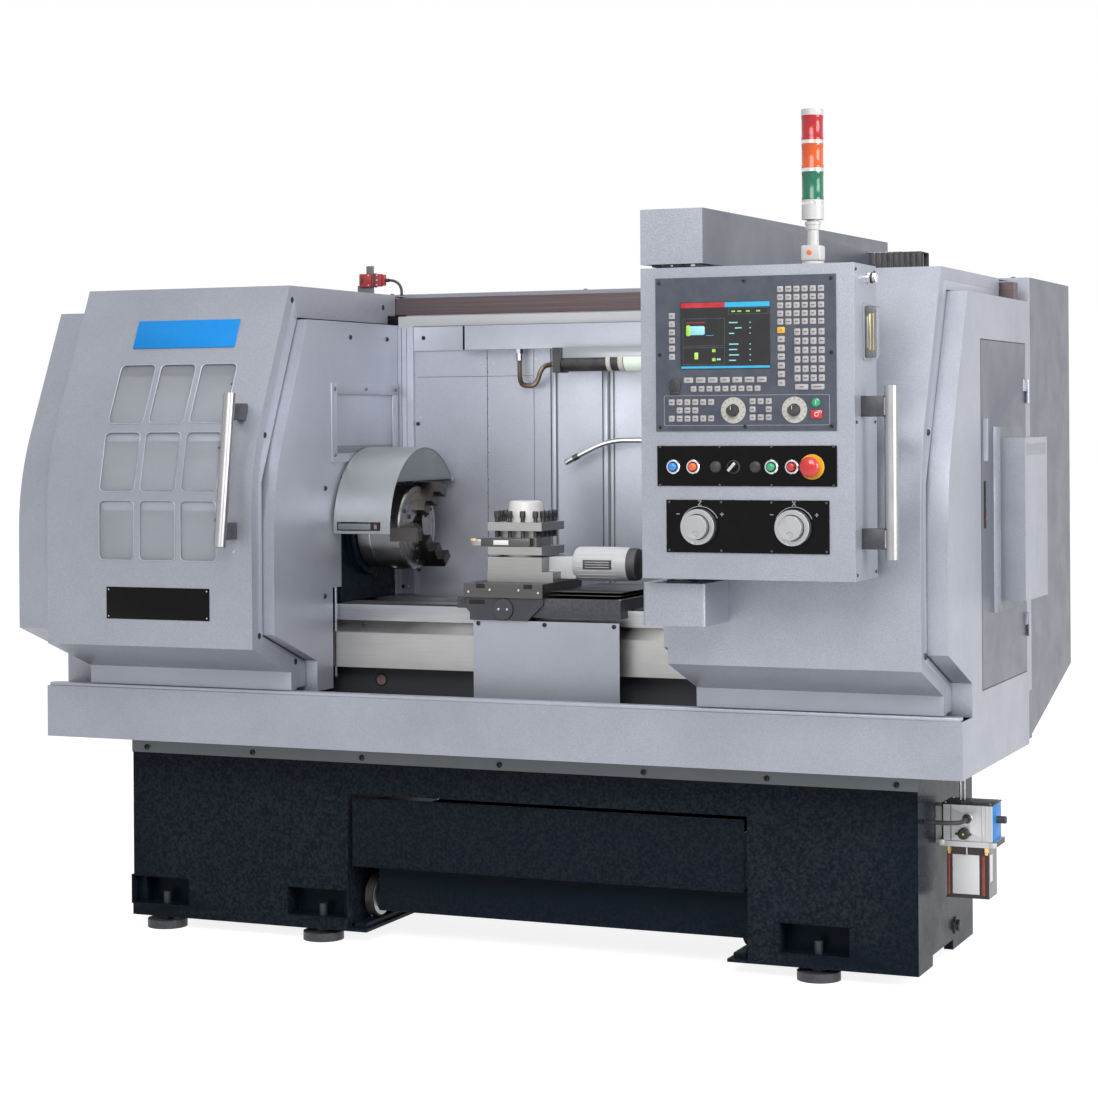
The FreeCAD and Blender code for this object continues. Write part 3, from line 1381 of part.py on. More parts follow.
def make_controls():
    """Buttons, selector, emergency stop, dials and handwheels, each on its own stem."""
    face = -d.pendant_front - d.panel_plate
    inside = d.panel_plate + GAUGE + 14
    for name, across in BUTTONS:
        x, _y, z = pendant_spot(across, BUTTON_ROW)
        radius = d.button_radius
        reach = d.button_reach
        node(name, turned(name + "_body", "Y", (x, face, z), [
            (-reach, 0), (-reach, radius), (inside, radius), (inside, 0),
        ]))
    x, _y, z = pendant_spot(STOP_ACROSS, BUTTON_ROW)
    node("emergency_stop", turned("stop_body", "Y", (x, face, z), [
        (-32, 0), (-32, d.stop_radius), (-17, d.stop_radius),
        (-17, d.button_radius), (inside, d.button_radius), (inside, 0),
    ]))
    x, _y, z = pendant_spot(SELECTOR_ACROSS, BUTTON_ROW)
    knob = turned("selector_knob", "Y", (x, face, z), [
        (-14, 0), (-14, 14), (-0.3, 14), (-0.3, 8), (inside, 8), (inside, 0),
    ])
    grip = block("selector_grip", (x - 3.5, x + 3.5), (face - 22, face - 10), (z - 12, z + 12))
    node("mode_selector", fuse("selector_whole", knob, grip))
    for name, across in DIALS:
        x, _y, z = pendant_spot(across, DIAL_ROW)
        knob = turned(name + "_body", "Y", (x, face, z), [
            (-20, 0), (-20, d.dial_radius), (-0.3, d.dial_radius), (-0.3, 8), (inside, 8),
            (inside, 0),
        ])
        node(name, knob)
    for name, across in HANDWHEELS:
        x, _y, z = pendant_spot(across, HANDWHEEL_ROW)
        reach = d.knob_reach - d.panel_plate
        radius = d.handwheel_radius
        wheel = turned(name + "_body", "Y", (x, face, z), [
            (-reach, 0), (-reach, radius * 0.68), (-20, radius * 0.68), (-20, radius),
            (-0.3, radius), (-0.3, 8), (inside, 8), (inside, 0),
        ])
        dimple = rod(name + "_dimple", "Y", (x, face - reach - 1, z - radius * 0.38), 4, 7)
        node(name, cut(name + "_whole", wheel, dimple))


def make_pendant_handle():
    """Upright handle on the pendant's right side."""
    side = pendant_left() + d.pendant_width
    x = side + d.handle_standoff
    y = -d.pendant_front + 66
    bar = rod("pendant_handle_bar", "Z", (x, y, d.handle_bottom), d.handle_length, d.handle_radius)
    blocks = []
    for name, share in (("low", 0.12), ("high", 0.88)):
        z = d.handle_bottom + d.handle_length * share
        blocks.append(block(
            f"pendant_handle_{name}", (side, x), (y - 12, y + 12), (z - 20, z + 20)))
    node("pendant_handle", fuse("pendant_handle_whole", bar, *blocks))


def make_stack_light():
    """Signal light on the pendant: foot, pole, base, rings and cap, with three lenses between."""
    x = pendant_left() + d.pendant_width - 122
    y = -d.pendant_front + 100
    z = d.pendant_top
    radius = d.light_radius
    parts = [
        rod("light_foot", "Z", (x, y, z), 9, radius),
        rod("light_pole", "Z", (x, y, z + 9), 96, 13),
        rod("light_base", "Z", (x, y, z + 104), 44, radius),
    ]
    foot = fuse("light_foot_and_pole", *parts)
    rings = [
        rod("light_ring_low", "Z", (x, y, z + 211), 8, radius),
        rod("light_ring_high", "Z", (x, y, z + 274), 8, radius),
        rod("light_cap", "Z", (x, y, z + 337), 14, radius),
    ]
    node("stack_light_base", group("light_whole", foot, *rings))
    lenses = []
    for index, start in enumerate((148, 219, 282)):
        length = 63 if index == 0 else 55
        lenses.append(rod(f"lens_{index}", "Z", (x, y, z + start), length, radius))
    node("stack_lenses", group("lens_set", *lenses))


# ---------------------------------------------------------------- bed, headstock, chuck, tailstock


def make_bed():
    """Cast bed with two ground ways, a ribbed trough and the feed screw's bearing blocks."""
    end = HALF - d.bed_inset
    front = BED_FRONT
    rear = BED_REAR
    floor = d.tray_bottom + GAUGE
    lip = d.way_lip
    body = new_body("bed_casting")
    pad(body, "bed_section", "X", [
        (front - 35, floor),
        (rear + 25, floor),
        (rear + 25, floor + d.bed_flange),
        (rear - 12, floor + d.bed_flange + 22),
        (rear - 12, d.bed_top - lip - 16),
        (rear, d.bed_top - lip),
        (rear, d.bed_top),
        (rear - d.way_width, d.bed_top),
        (rear - d.way_width, d.bed_top - lip),
        (rear - 12 - d.bed_wall, d.bed_top - lip - 20),
        (rear - 12 - d.bed_wall, floor + d.bed_flange + 60),
        (front + d.bed_wall, floor + d.bed_flange + 60),
        (front + d.bed_wall, d.bed_top - lip - 20),
        (front + d.way_width, d.bed_top - lip),
        (front + d.way_width, d.bed_top),
        (front, d.bed_top),
        (front, floor + d.bed_flange + 20),
        (front - 35, floor + d.bed_flange),
    ], (-end, end))
    ribs = []
    count = 6
    for index in range(count):
        x = -end + 120 + index * ((2 * end - 260) / (count - 1))
        ribs.append(block(
            f"bed_rib_{index}", (x, x + 20), (front + d.bed_wall - 1, rear - 11 - d.bed_wall),
            (floor + d.bed_flange + 50, d.bed_top - lip - 30)))
    bore = d.screw_radius + d.running_gap
    bearings = []
    for name, x in (("left", -d.opening_left + 14), ("right", end - 60)):
        bearing = block(
            f"bearing_{name}", (x, x + 40), (COVER_FRONT + 6, front + 1),
            (d.screw_z - 30, d.screw_z + 30))
        bearings.append(cut(
            f"bearing_{name}_bored", bearing,
            rod(f"bearing_{name}_bore", "X", (x - 1, SCREW_Y, d.screw_z), 42, bore)))
    node("lathe_bed", fuse("bed_whole", body, *ribs, *bearings))


def make_screw_cover():
    """Bright sheet over the feed screw, hooked on the bed under the front way."""
    front = BED_FRONT
    top = d.bed_top - d.way_lip
    body = new_body("screw_cover_sheet")
    pad(body, "screw_cover_pad", "X", [
        (front, top),
        (COVER_FRONT, d.cover_brow),
        (COVER_FRONT, d.cover_bottom),
        (COVER_FRONT + 14, d.cover_bottom),
        (COVER_FRONT + 14, d.cover_bottom + GAUGE),
        (COVER_FRONT + GAUGE, d.cover_bottom + GAUGE),
        (COVER_FRONT + GAUGE, d.cover_brow - 2),
        (front, top - GAUGE * 1.2),
    ], (-d.opening_left - 40, HALF - d.bed_inset))
    node("screw_cover", body)


def make_feed_screw():
    """Ball screw that drives the carriage along the bed."""
    end = HALF - d.bed_inset
    start = -d.opening_left + 8
    node("z_ball_screw", rod(
        "feed_screw", "X", (start, SCREW_Y, d.screw_z), end - 14 - start, d.screw_radius))


def make_headstock():
    """Headstock casting with its bearing cap, bored for the spindle."""
    half = d.head_width / 2
    axis = (d.spindle_y, d.spindle_z)
    body = new_body("headstock_casting")
    pad(body, "headstock_pad", "X", [
        (axis[0] - half, d.bed_top),
        (axis[0] + half, d.bed_top),
        (axis[0] + half, d.head_top - 40),
        (axis[0] + half - 40, d.head_top),
        (axis[0] - half + 40, d.head_top),
        (axis[0] - half, d.head_top - 40),
    ], (-d.head_left, -d.opening_left))
    hollow_out = block(
        "headstock_inside", (-d.head_left + 40, -d.opening_left - 60),
        (axis[0] - half + 20, axis[0] + half - 20), (d.bed_top - 1, d.head_top - 24))
    wall_ring = []
    for name, x in (("left", -d.head_left), ("right", -d.opening_left - 60)):
        wall_ring.append(rod(f"head_boss_{name}", "X", (x, *axis), 60, d.spindle_radius + 28))
    cap = rod("bearing_cap", "X", (-d.opening_left - 1, *axis), d.cap_thickness + 1, d.cap_radius)
    bore = rod(
        "head_bore", "X", (-d.head_left - 1, *axis), d.head_left - d.opening_left + 2,
        d.spindle_radius + d.running_gap)
    cap_bore = rod(
        "cap_bore", "X", (-d.opening_left - 1.5, *axis), d.cap_thickness + 4,
        d.nose_radius + d.running_gap)
    casting = fuse("head_solid", cut("head_shell", body, hollow_out), *wall_ring, cap)
    node("headstock", cut("head_whole", casting, bore, cap_bore))


def make_spindle_motor():
    """Main motor under the left guard, beside the headstock's end."""
    x = d.bed_inset - HALF - d.motor_gap
    body = rod("motor_body", "X", (x - 116, d.spindle_y, d.bed_top + 40), 116, 105)
    foot = block(
        "motor_foot", (x - 108, x - 8), (d.spindle_y - 90, d.spindle_y + 90),
        (d.tray_bottom + GAUGE, d.bed_top - 40))
    pulley = rod("motor_pulley", "X", (x, d.spindle_y, d.bed_top + 40), 8, 60)
    node("spindle_motor", fuse("motor_whole", body, foot, pulley))


def make_spindle():
    """Hollow spindle with the nose that the chuck bolts to."""
    start = -d.head_left - 30
    length = d.head_left + 30 - d.opening_left - 1.2
    nose_end = -d.chuck_face - d.chuck_length - start
    node("spindle", turned("spindle_body", "X", (start, d.spindle_y, d.spindle_z), [
        (0, d.spindle_bore),
        (0, d.spindle_radius - 8),
        (26, d.spindle_radius - 8),
        (26, d.spindle_radius),
        (length, d.spindle_radius),
        (length, d.nose_radius),
        (nose_end, d.nose_radius),
        (nose_end, d.spindle_bore),
    ]))


JAW_ANGLES = (("a", 67), ("b", 187), ("c", 307))


def jaw_frame(obj, angle):
    """Stand a jaw built along +Z at its angle round the spindle axis."""
    obj.Placement = FreeCAD.Placement(Vector(0, 0, 0), Rotation(Vector(1, 0, 0), angle - 90))
    obj.setExpression(".Placement.Base.x", (-SHIFT_X).text)
    obj.setExpression(".Placement.Base.y", (d.spindle_y - SHIFT_Y).text)
    obj.setExpression(".Placement.Base.z", d.spindle_z.text)


def make_chuck():
    """Three jaw chuck: body with jaw slots and key sockets, and three stepped jaws."""
    face = -d.chuck_face
    back = face - d.chuck_length
    radius = d.chuck_radius
    length = d.chuck_length
    body = turned("chuck_blank", "X", (back, d.spindle_y, d.spindle_z), [
        (0, d.spindle_bore),
        (0, radius - 3),
        (length * 0.3, radius - 3),
        (length * 0.3, radius),
        (length - 4, radius),
        (length, radius - 4),
        (length, d.spindle_bore),
    ])
    tools = []
    for name, angle in JAW_ANGLES:
        slot = doc.addObject("Part::Box", f"jaw_slot_{name}")
        half = d.jaw_width / 2 + d.slide_gap
        bind(slot, Length=d.jaw_depth + 1, Width=2 * half, Height=radius)
        turn = Rotation(Vector(1, 0, 0), angle - 90)
        slot.Placement = FreeCAD.Placement(Vector(0, 0, 0), turn)
        side = Vector(0, -1, 0)
        out = Vector(0, 0, 1)
        side_turned = turn.multVec(side)
        out_turned = turn.multVec(out)
        inner = d.spindle_bore - 6
        slot.setExpression(".Placement.Base.x", (face - d.jaw_depth - SHIFT_X).text)
        slot.setExpression(
            ".Placement.Base.y",
            (d.spindle_y - SHIFT_Y + half * side_turned.y + inner * out_turned.y).text)
        slot.setExpression(
            ".Placement.Base.z",
            (d.spindle_z + half * side_turned.z + inner * out_turned.z).text)
        tools.append(slot)
    for name, angle in JAW_ANGLES:
        socket = doc.addObject("Part::Cylinder", f"key_socket_{name}")
        bind(socket, Radius=9, Height=30)
        turn = Rotation(Vector(1, 0, 0), angle - 30)
        out_turned = turn.multVec(Vector(0, 0, 1))
        socket.Placement = FreeCAD.Placement(Vector(0, 0, 0), turn)
        reach = radius - 24
        socket.setExpression(".Placement.Base.x", (back + length * 0.62 - SHIFT_X).text)
        socket.setExpression(
            ".Placement.Base.y", (d.spindle_y - SHIFT_Y + reach * out_turned.y).text)
        socket.setExpression(".Placement.Base.z", (d.spindle_z + reach * out_turned.z).text)
        tools.append(socket)
    node("chuck_body", cut("chuck_whole", body, *tools))
    for name, angle in JAW_ANGLES:
        jaw = doc.addObject("PartDesign::Body", f"jaw_{name}_steps")
        jaw_frame(jaw, angle)
        reach = d.jaw_reach
        step = (d.jaw_outer - d.jaw_inner) / 3
        pad(jaw, f"jaw_{name}_pad", "Y", [
            (face - d.jaw_depth + d.slide_gap, d.jaw_inner),
            (face + reach * 0.34, d.jaw_inner),
            (face + reach * 0.34, d.jaw_inner + step),
            (face + reach * 0.67, d.jaw_inner + step),
            (face + reach * 0.67, d.jaw_inner + 2 * step),
            (face + reach, d.jaw_inner + 2 * step),
            (face + reach, d.jaw_outer - 5),
            (face + reach - 5, d.jaw_outer),
            (face - d.jaw_depth + d.slide_gap, d.jaw_outer),
        ], (-d.jaw_width / 2, d.jaw_width / 2))
        node(f"chuck_jaw_{name}", jaw)


def make_chuck_guard():
    """Curved guard over the chuck, hinged behind it, with a sight slot."""
    left = -d.chuck_guard_left
    right = -d.chuck_guard_right
    width = right - left
    start = (left, d.spindle_y, d.spindle_z)
    radius = d.chuck_guard_radius
    tube = cut(
        "guard_ring",
        rod("guard_ring_out", "X", start, width, radius),
        rod("guard_ring_in", "X", (left - 1, *start[1:]), width + 2, radius - GAUGE))
    hinge_y, hinge_z = guard_hinge()
    keep = new_body("guard_keep")
    span = 260
    pad(keep, "guard_keep_pad", "X", [
        (d.spindle_y, d.spindle_z),
        (hinge_y + (hinge_y - d.spindle_y) * 0.3, hinge_z + (hinge_z - d.spindle_z) * 0.3),
        (d.spindle_y + span, d.spindle_z + span),
        (d.spindle_y - span, d.spindle_z + span),
        (d.spindle_y - span, d.spindle_z - 10),
        (d.spindle_y - 40, d.spindle_z - 10),
    ], (left - 1, right + 1))
    arc = doc.addObject("Part::Common", "guard_arc")
    arc.Base = tube
    arc.Tool = keep
    slot = block(
        "guard_slot", (left + 10, right - 28), (d.spindle_y - radius - 5, d.spindle_y - radius + 20),
        (d.spindle_z - 2, d.spindle_z + 21))
    barrel = rod("guard_barrel", "X", (left, hinge_y, hinge_z), width, 8)
    bore = rod("guard_bore", "X", (left - 1, hinge_y, hinge_z), width + 2, 5 + d.running_gap)
    shell = fuse("guard_joined", cut("guard_slotted", arc, slot), barrel)
    node("chuck_guard", cut("guard_whole", shell, bore))


def make_tailstock():
    """Tailstock body on the ways, and its quill with a centre."""
    left = d.tail_left
    right = left + d.tail_length
    axis = (d.spindle_y, d.spindle_z)
    base = d.bed_top + d.slide_gap
    body = new_body("tail_casting")
    pad(body, "tail_section", "X", [
        (axis[0] - 138, base),
        (axis[0] + 138, base),
        (axis[0] + 138, base + 45),
        (axis[0] + 62, base + 90),
        (axis[0] + 62, axis[1]),
        (axis[0] - 62, axis[1]),
        (axis[0] - 62, base + 90),
        (axis[0] - 138, base + 45),
    ], (left, right))
    barrel = rod("tail_barrel", "X", (left - 14, *axis), d.tail_length + 28, 72)
    bore = rod(
        "tail_bore", "X", (left - 15, *axis), d.tail_length - 10, d.quill_radius + d.running_gap)
    tenon = block(
        "tail_tenon", (left + 10, right - 10), (axis[0] - 60, axis[0] + 60),
        (base - 30, base + 1))
    node("tailstock_body", cut("tail_whole", fuse("tail_solid", body, barrel, tenon), bore))
    quill_length = d.tail_left + d.tail_length - 60 - d.quill_nose
    node("tailstock_quill", turned("quill_body", "X", (d.quill_nose, *axis), [
        (-40, 0),
        (-12, 14),
        (0, 14),
        (0, d.quill_radius - 3),
        (3, d.quill_radius),
        (quill_length, d.quill_radius),
        (quill_length, 0),
    ]))


# ---------------------------------------------------------------- carriage and turret


def make_saddle():
    """Saddle on the ways, with its front casting and the bracket to the feed screw's nut."""
    left, right = -d.saddle_left, d.saddle_right
    base = d.bed_top + d.slide_gap
    slab = block("saddle_slab", (left, right), (SADDLE_FRONT, BED_REAR + d.saddle_behind), (base, d.saddle_top))
    beam = block(
        "saddle_beam", (-d.apron_left, right), (SADDLE_FRONT, BED_FRONT - 3),
        (d.bed_top - 20, base + 1))
    tenon = block(
        "saddle_tenon", (left + 20, right - 20), (d.spindle_y - 60, d.spindle_y + 60),
        (base - 26, base + 1))
    centre = d.carriage_x
    body = new_body("saddle_front_casting")
    pad(body, "saddle_front_pad", "Y", [
        (centre - 103, d.saddle_top),
        (centre + 110, d.saddle_top),
        (centre + 110, d.saddle_top - 14),
        (centre + 66, d.bed_top - 29),
        (centre - 94, d.bed_top - 29),
        (centre - 94, d.bed_top - 10),
        (centre - 103, d.bed_top),
    ], (SADDLE_FRONT - 9, SADDLE_FRONT + 1))
    disc = rod("screw_cap", "Y", (centre, SADDLE_FRONT - 13, d.saddle_top - 28), 6, 27)
    nut_x = (centre - 20, centre + 60)
    leg = block(
        "nut_leg", nut_x, (SADDLE_FRONT + 8, SADDLE_FRONT + 26),
        (d.cover_bottom - 38, d.bed_top - 19))
    foot = block(
        "nut_foot", nut_x, (SADDLE_FRONT + 8, BED_FRONT - 5),
        (d.cover_bottom - 38, d.cover_bottom - 14))
    neck = block(
        "nut_neck", nut_x, (COVER_FRONT + 17, BED_FRONT - 5),
        (d.cover_bottom - 38, d.cover_bottom + 9))
    nut = block(
        "nut_block", nut_x, (COVER_FRONT + 5, BED_FRONT - 5),
        (d.cover_bottom + 8, d.screw_z + 26))
    bore = rod(
        "nut_bore", "X", (nut_x[0] - 1, SCREW_Y, d.screw_z), 82,
        d.screw_radius + d.running_gap)
    solid = fuse("saddle_solid", slab, beam, tenon, body, disc, leg, foot, neck, nut)
    node("saddle", cut("saddle_whole", solid, bore))
    node("apron_panel", block(
        "apron_sheet", (-d.apron_left, d.apron_right), (SADDLE_FRONT - GAUGE, SADDLE_FRONT),
        (d.apron_bottom, d.bed_top - 29.5)))


def make_cross_slide():
    """Cross slide with its front end bar."""
    left = d.carriage_x - d.cross_half
    right = d.carriage_x + d.cross_half
    base = d.saddle_top + d.slide_gap
    table = block(
        "cross_table", (left + 4, right - 4), (d.cross_front + 16, d.cross_rear),
        (base, d.cross_top))
    bar = block(
        "cross_bar", (left, right), (d.cross_front, d.cross_front + 18), (base, d.cross_top))
    node("cross_slide", fuse("cross_whole", table, bar))


def make_turret():
    """Motor-driven square turret: fixed base, motor, indexing head, cap and tooling."""
    x, y = d.turret_x, d.turret_y
    half = d.turret_side / 2
    base_top = d.turret_base_top
    flange = block(
        "turret_flange", (x - half + 2, x + half + 34), (y - half - 8, y + half + 12),
        (d.cross_top, d.cross_top + 27))
    drum = block(
        "turret_drum", (x - half, x + half), (y - half, y + half),
        (d.cross_top + 26, base_top))
    bracket = block(
        "turret_bracket", (x + half - 1, d.turret_motor_left), (y - 30, y + 30),
        (d.cross_top + 27, base_top - 2))
    node("turret_base", fuse("turret_base_whole", flange, drum, bracket))

    motor_z = d.cross_top + d.turret_motor_radius + 2
    length = d.turret_motor_right - d.turret_motor_left
    radius = d.turret_motor_radius
    node("turret_motor", turned("turret_motor_body", "X", (d.turret_motor_left, y, motor_z), [
        (0, 0),
        (0, radius),
        (length - 22, radius),
        (length - 22, radius - 3),
        (length, radius - 3),
        (length, 0),
    ]))

    floor = base_top + d.slide_gap
    slot_bottom = floor + d.turret_floor
    slot_top = slot_bottom + d.tool_slot
    plate_top = slot_top + d.turret_plate
    core = d.turret_core
    head = fuse(
        "turret_head_whole",
        rod("index_ring", "Z", (x, y, floor), 6, half - 6),
        block("head_floor", (x - half, x + half), (y - half, y + half), (floor + 5, slot_bottom)),
        block("head_core", (x - core, x + core), (y - core, y + core),
              (slot_bottom - 1, slot_top + 1)),
        block("head_plate", (x - half, x + half), (y - half, y + half), (slot_top, plate_top)))
    node("turret_head", head)
    node("turret_cap", rod("turret_cap_drum", "Z", (x, y, plate_top), 54, 50))

    tip_x = -d.tool_tip
    tool_front = y - half + 1
    tool = new_body("tool_body")
    pad(tool, "tool_pad", "Z", [
        (tip_x + 30, tool_front),
        (x + half - 34, tool_front),
        (x + half - 34, tool_front + d.tool_shank),
        (tip_x + 6, tool_front + d.tool_shank),
        (tip_x, tool_front + d.tool_shank + 3),
    ], (slot_bottom, slot_bottom + d.tool_shank))
    node("tooling", tool)


# ---------------------------------------------------------------- lights, pipes and lubricator


def make_work_light():
    """Tubular work light under the header, with its flexible conduit."""
    left = 20
    right = 500
    y = d.header_front - 31
    z = d.header_bottom - 37
    tube = rod("light_tube", "X", (left + 20, y, z), right - left - 40, 27)
    caps = []
    for name, x in (("left", left), ("right", right - 22)):
        caps.append(block(
            f"light_cap_{name}", (x, x + 22), (y - 30, y + 30), (z - 30, d.header_bottom)))
    hanger = block(
        "light_back", (left + 20, right - 20), (y + 8, d.header_front + 20),
        (d.header_bottom - 8, d.header_bottom))
    node("work_light", fuse("work_light_whole", tube, *caps, hanger))
    conduit_y = d.header_front + 12
    low = d.header_bottom - 99
    entry = d.header_bottom - 44
    points = [
        (-107, conduit_y, d.header_bottom - 0.2),
        (-107, conduit_y, low),
        (-52, conduit_y - 12, low),
        (-24, y, entry),
        (left - 0.2, y, entry),
    ]
    node("light_conduit", tube_along("light_conduit_tube", points, 7))


def make_coolant_pipe():
    """Bent coolant pipe that aims at the work from the rear wall."""
    points = [
        (43, 545, 1262),
        (160, 545, 1319),
        (392, 545, 1319),
        (392, d.opening_rear - 0.2, 1319),
    ]
    node("coolant_pipe", tube_along("coolant_pipe_tube", points, 7, bend_share=0.4))


def make_interlock():
    """Door interlock switch on its bracket, behind the open left door."""
    y = d.door_roof_rear + 12
    plate = new_body("interlock_plate")
    pad(plate, "interlock_plate_pad", "Y", [
        (-680, d.guard_top),
        (-628, d.guard_top),
        (-628, d.guard_top + 147),
        (-650, d.guard_top + 147),
        (-680, d.guard_top + 90),
    ], (y, y + GAUGE))
    foot = block(
        "interlock_foot", (-680, -628), (y, y + 20), (d.guard_top, d.guard_top + GAUGE))
    body = block(
        "interlock_body", (-670, -586), (y - 8, y), (d.guard_top + 86, d.guard_top + 124))
    whole = fuse("interlock_whole", plate, foot, body)
    lead_z = d.guard_top + 104
    lead = tube_along("interlock_lead", [
        (-585.8, y - 4, lead_z),
        (-540, y - 4, lead_z),
        (-540, y - 4, d.guard_top + 0.2),
    ], 4)
    node("interlock_switch", group("interlock_group", whole, lead))


def make_lubricator():
    """Oil lubricator on the right pedestal: pump head and oil tank."""
    left = BASE_END + d.lube_gap
    right = left + d.lube_width
    front = d.lube_front
    rear = front + d.lube_depth
    head = block(
        "lube_head", (left, right), (front, rear), (d.lube_head_bottom, d.lube_head_top))
    rim = block(
        "lube_rim", (left - 6, right + 8), (front - 4, rear + 6),
        (d.lube_head_bottom - 6, d.lube_head_bottom + 8))
    mount = block(
        "lube_mount", (BASE_END, left + 2), (front + 20, rear - 20),
        (d.lube_head_bottom - 4, d.lube_head_top - 10))
    gland = rod("lube_gland", "Y", (left + 64, front - 14, d.lube_head_top - 34), 15, 11)
    filler = rod("lube_filler", "Y", (left + 55, front - 14, d.lube_head_bottom + 27), 15, 14)
    knob = rod("lube_knob", "X", (right - 1, front + 46, d.lube_head_top - 40), 21, 9)
    pump = fuse("lube_whole", head, rim, mount, gland, filler, knob)
    cable = tube_along("lube_cable", [
        (left + 64, front - 14.2, d.lube_head_top - 34),
        (left + 64, front - 88, d.lube_head_top - 34),
        (BASE_END + 0.2, front - 88, d.lube_head_top - 34),
    ], 5.5)
    oil = []
    for index, x in enumerate((left + 30, left + 40)):
        start = d.lube_head_top + 0.2
        oil.append(rod(
            f"lube_line_{index}", "Z", (x, rear - 30, start), d.tray_bottom - 0.2 - start, 2.5))
    node("lubricator_pump", group("lube_group", pump, cable, *oil))
    tank = cut(
        "lube_tank",
        block("lube_tank_block", (left + 10, right - 10), (front + 6, rear - 6),
              (d.lube_tank_bottom, d.lube_head_bottom - 6)),
        block("lube_tank_inside", (left + 14, right - 14), (front + 10, rear - 10),
              (d.lube_tank_bottom + 4, d.lube_head_bottom)))
    node("lubricator_tank", tank)


# ---------------------------------------------------------------- checks and export


def check_document():
    """Stop if any object failed to build or any node is empty or invalid."""
    failed = [obj.Label for obj in doc.Objects
              if "Invalid" in obj.State or "Error" in obj.State]
    if failed:
        raise RuntimeError("failed objects: " + ", ".join(failed))
    for obj in nodes:
        shape = obj.Shape
        if shape.isNull() or not shape.isValid() or not shape.Solids:
            raise RuntimeError("bad shape: " + obj.Label)


def export_nodes():
    os.makedirs("parts", exist_ok=True)
    for obj in nodes:
        obj.Shape.exportStep(os.path.join("parts", obj.Label + ".step"))


def build():
    make_base()
    make_feet()
    make_tray()
    make_tank()
    make_guard("left")
    make_guard("right")
    make_rear_wall()
    make_rail()
    make_cabinet()
    make_side_door()
    make_left_door()
    make_right_door()
    make_arms()
    make_pendant_box()
    make_panels()
    make_controls()
    make_pendant_handle()
    make_stack_light()
    make_bed()
    make_screw_cover()
    make_feed_screw()
    make_headstock()
    make_spindle_motor()
    make_spindle()
    make_chuck()
    make_chuck_guard()
    make_tailstock()
    make_saddle()
    make_cross_slide()
    make_turret()
    make_work_light()
    make_coolant_pipe()
    make_interlock()
    make_lubricator()
    doc.recompute()
    check_document()
    export_nodes()
    print(len(nodes), "nodes")


build()
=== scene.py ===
import math

import bmesh
import bpy
from mathutils import Matrix, Vector


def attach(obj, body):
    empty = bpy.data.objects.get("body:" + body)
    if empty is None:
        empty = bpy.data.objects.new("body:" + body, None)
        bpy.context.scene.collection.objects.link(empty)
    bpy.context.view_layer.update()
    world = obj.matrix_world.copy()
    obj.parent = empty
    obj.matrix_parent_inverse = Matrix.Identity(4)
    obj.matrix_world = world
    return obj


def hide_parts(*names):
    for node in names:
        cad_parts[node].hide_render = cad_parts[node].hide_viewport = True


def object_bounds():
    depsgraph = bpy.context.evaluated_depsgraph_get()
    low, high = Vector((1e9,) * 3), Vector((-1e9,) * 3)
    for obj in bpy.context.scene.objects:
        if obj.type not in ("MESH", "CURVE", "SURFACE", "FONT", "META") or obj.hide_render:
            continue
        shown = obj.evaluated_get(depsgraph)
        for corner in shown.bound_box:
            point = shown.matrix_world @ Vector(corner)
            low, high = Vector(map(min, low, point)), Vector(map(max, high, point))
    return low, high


bl_info = {
    "name": "Flat bed turning lathe",
    "version": (1, 0, 0),
    "blender": (4, 5, 0),
    "location": "View3D > Sidebar > Lathe",
    "description": "Finishes, fittings and studio for the turning lathe",
    "category": "Object",
}

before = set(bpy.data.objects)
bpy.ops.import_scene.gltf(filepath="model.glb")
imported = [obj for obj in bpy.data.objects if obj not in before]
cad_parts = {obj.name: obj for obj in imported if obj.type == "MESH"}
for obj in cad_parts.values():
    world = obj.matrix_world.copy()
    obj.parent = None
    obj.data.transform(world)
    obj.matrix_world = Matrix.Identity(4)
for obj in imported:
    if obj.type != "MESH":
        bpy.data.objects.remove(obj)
CAD_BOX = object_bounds()

# Sizes below are in millimetres from the middle of the tray's front edge, on the floor. This matrix takes
# them to metres from the middle of the footprint.
TO_ROW = Matrix.Scale(0.001, 4) @ Matrix.Translation((-33, -416, 0))
FRONT = (0, -1, 0)
BACK = (0, 1, 0)
LEFT = (-1, 0, 0)
RIGHT = (1, 0, 0)
TOP = (0, 0, 1)
BOTTOM = (0, 0, -1)

PANEL_Y = -404
BUTTON_Z = 1268
DIAL_Z = 1393
WHEEL_Z = 1134
WHEEL_X = {"handwheel_z": 754, "handwheel_x": 974}
SPINDLE_Y, SPINDLE_Z = 400, 1088
TURRET_X, TURRET_Y = 30, 291
SIGNAL_X, SIGNAL_Y = 990, -300
WINDOW_TILT = 0.42

# The doors' front stands upright, bends back on an arc and then leans.
DOOR_Y = -186.0
DOOR_ARC = 620.0
ARC_LOW, ARC_HIGH = 1139.1, 1398.2
LEAN_BACK, LEAN_UP = 208.0, 452.0
LEAN_FROM = 1275.0

SHARP_ANGLE = math.radians(34)
SAME_POINT = 0.001
CORNER_SHARE = 1.732
BOX_MARGIN = 0.0002

FLOOR_GLOW = 0.86
CAMERA_PLACE = (2.6233, -6.2106, 1.3793)
CAMERA_TURN = math.radians(22.812)
CAMERA_ROLL = -0.0066
CAMERA_LENS = 83.55
CAMERA_SHIFT = -0.1192
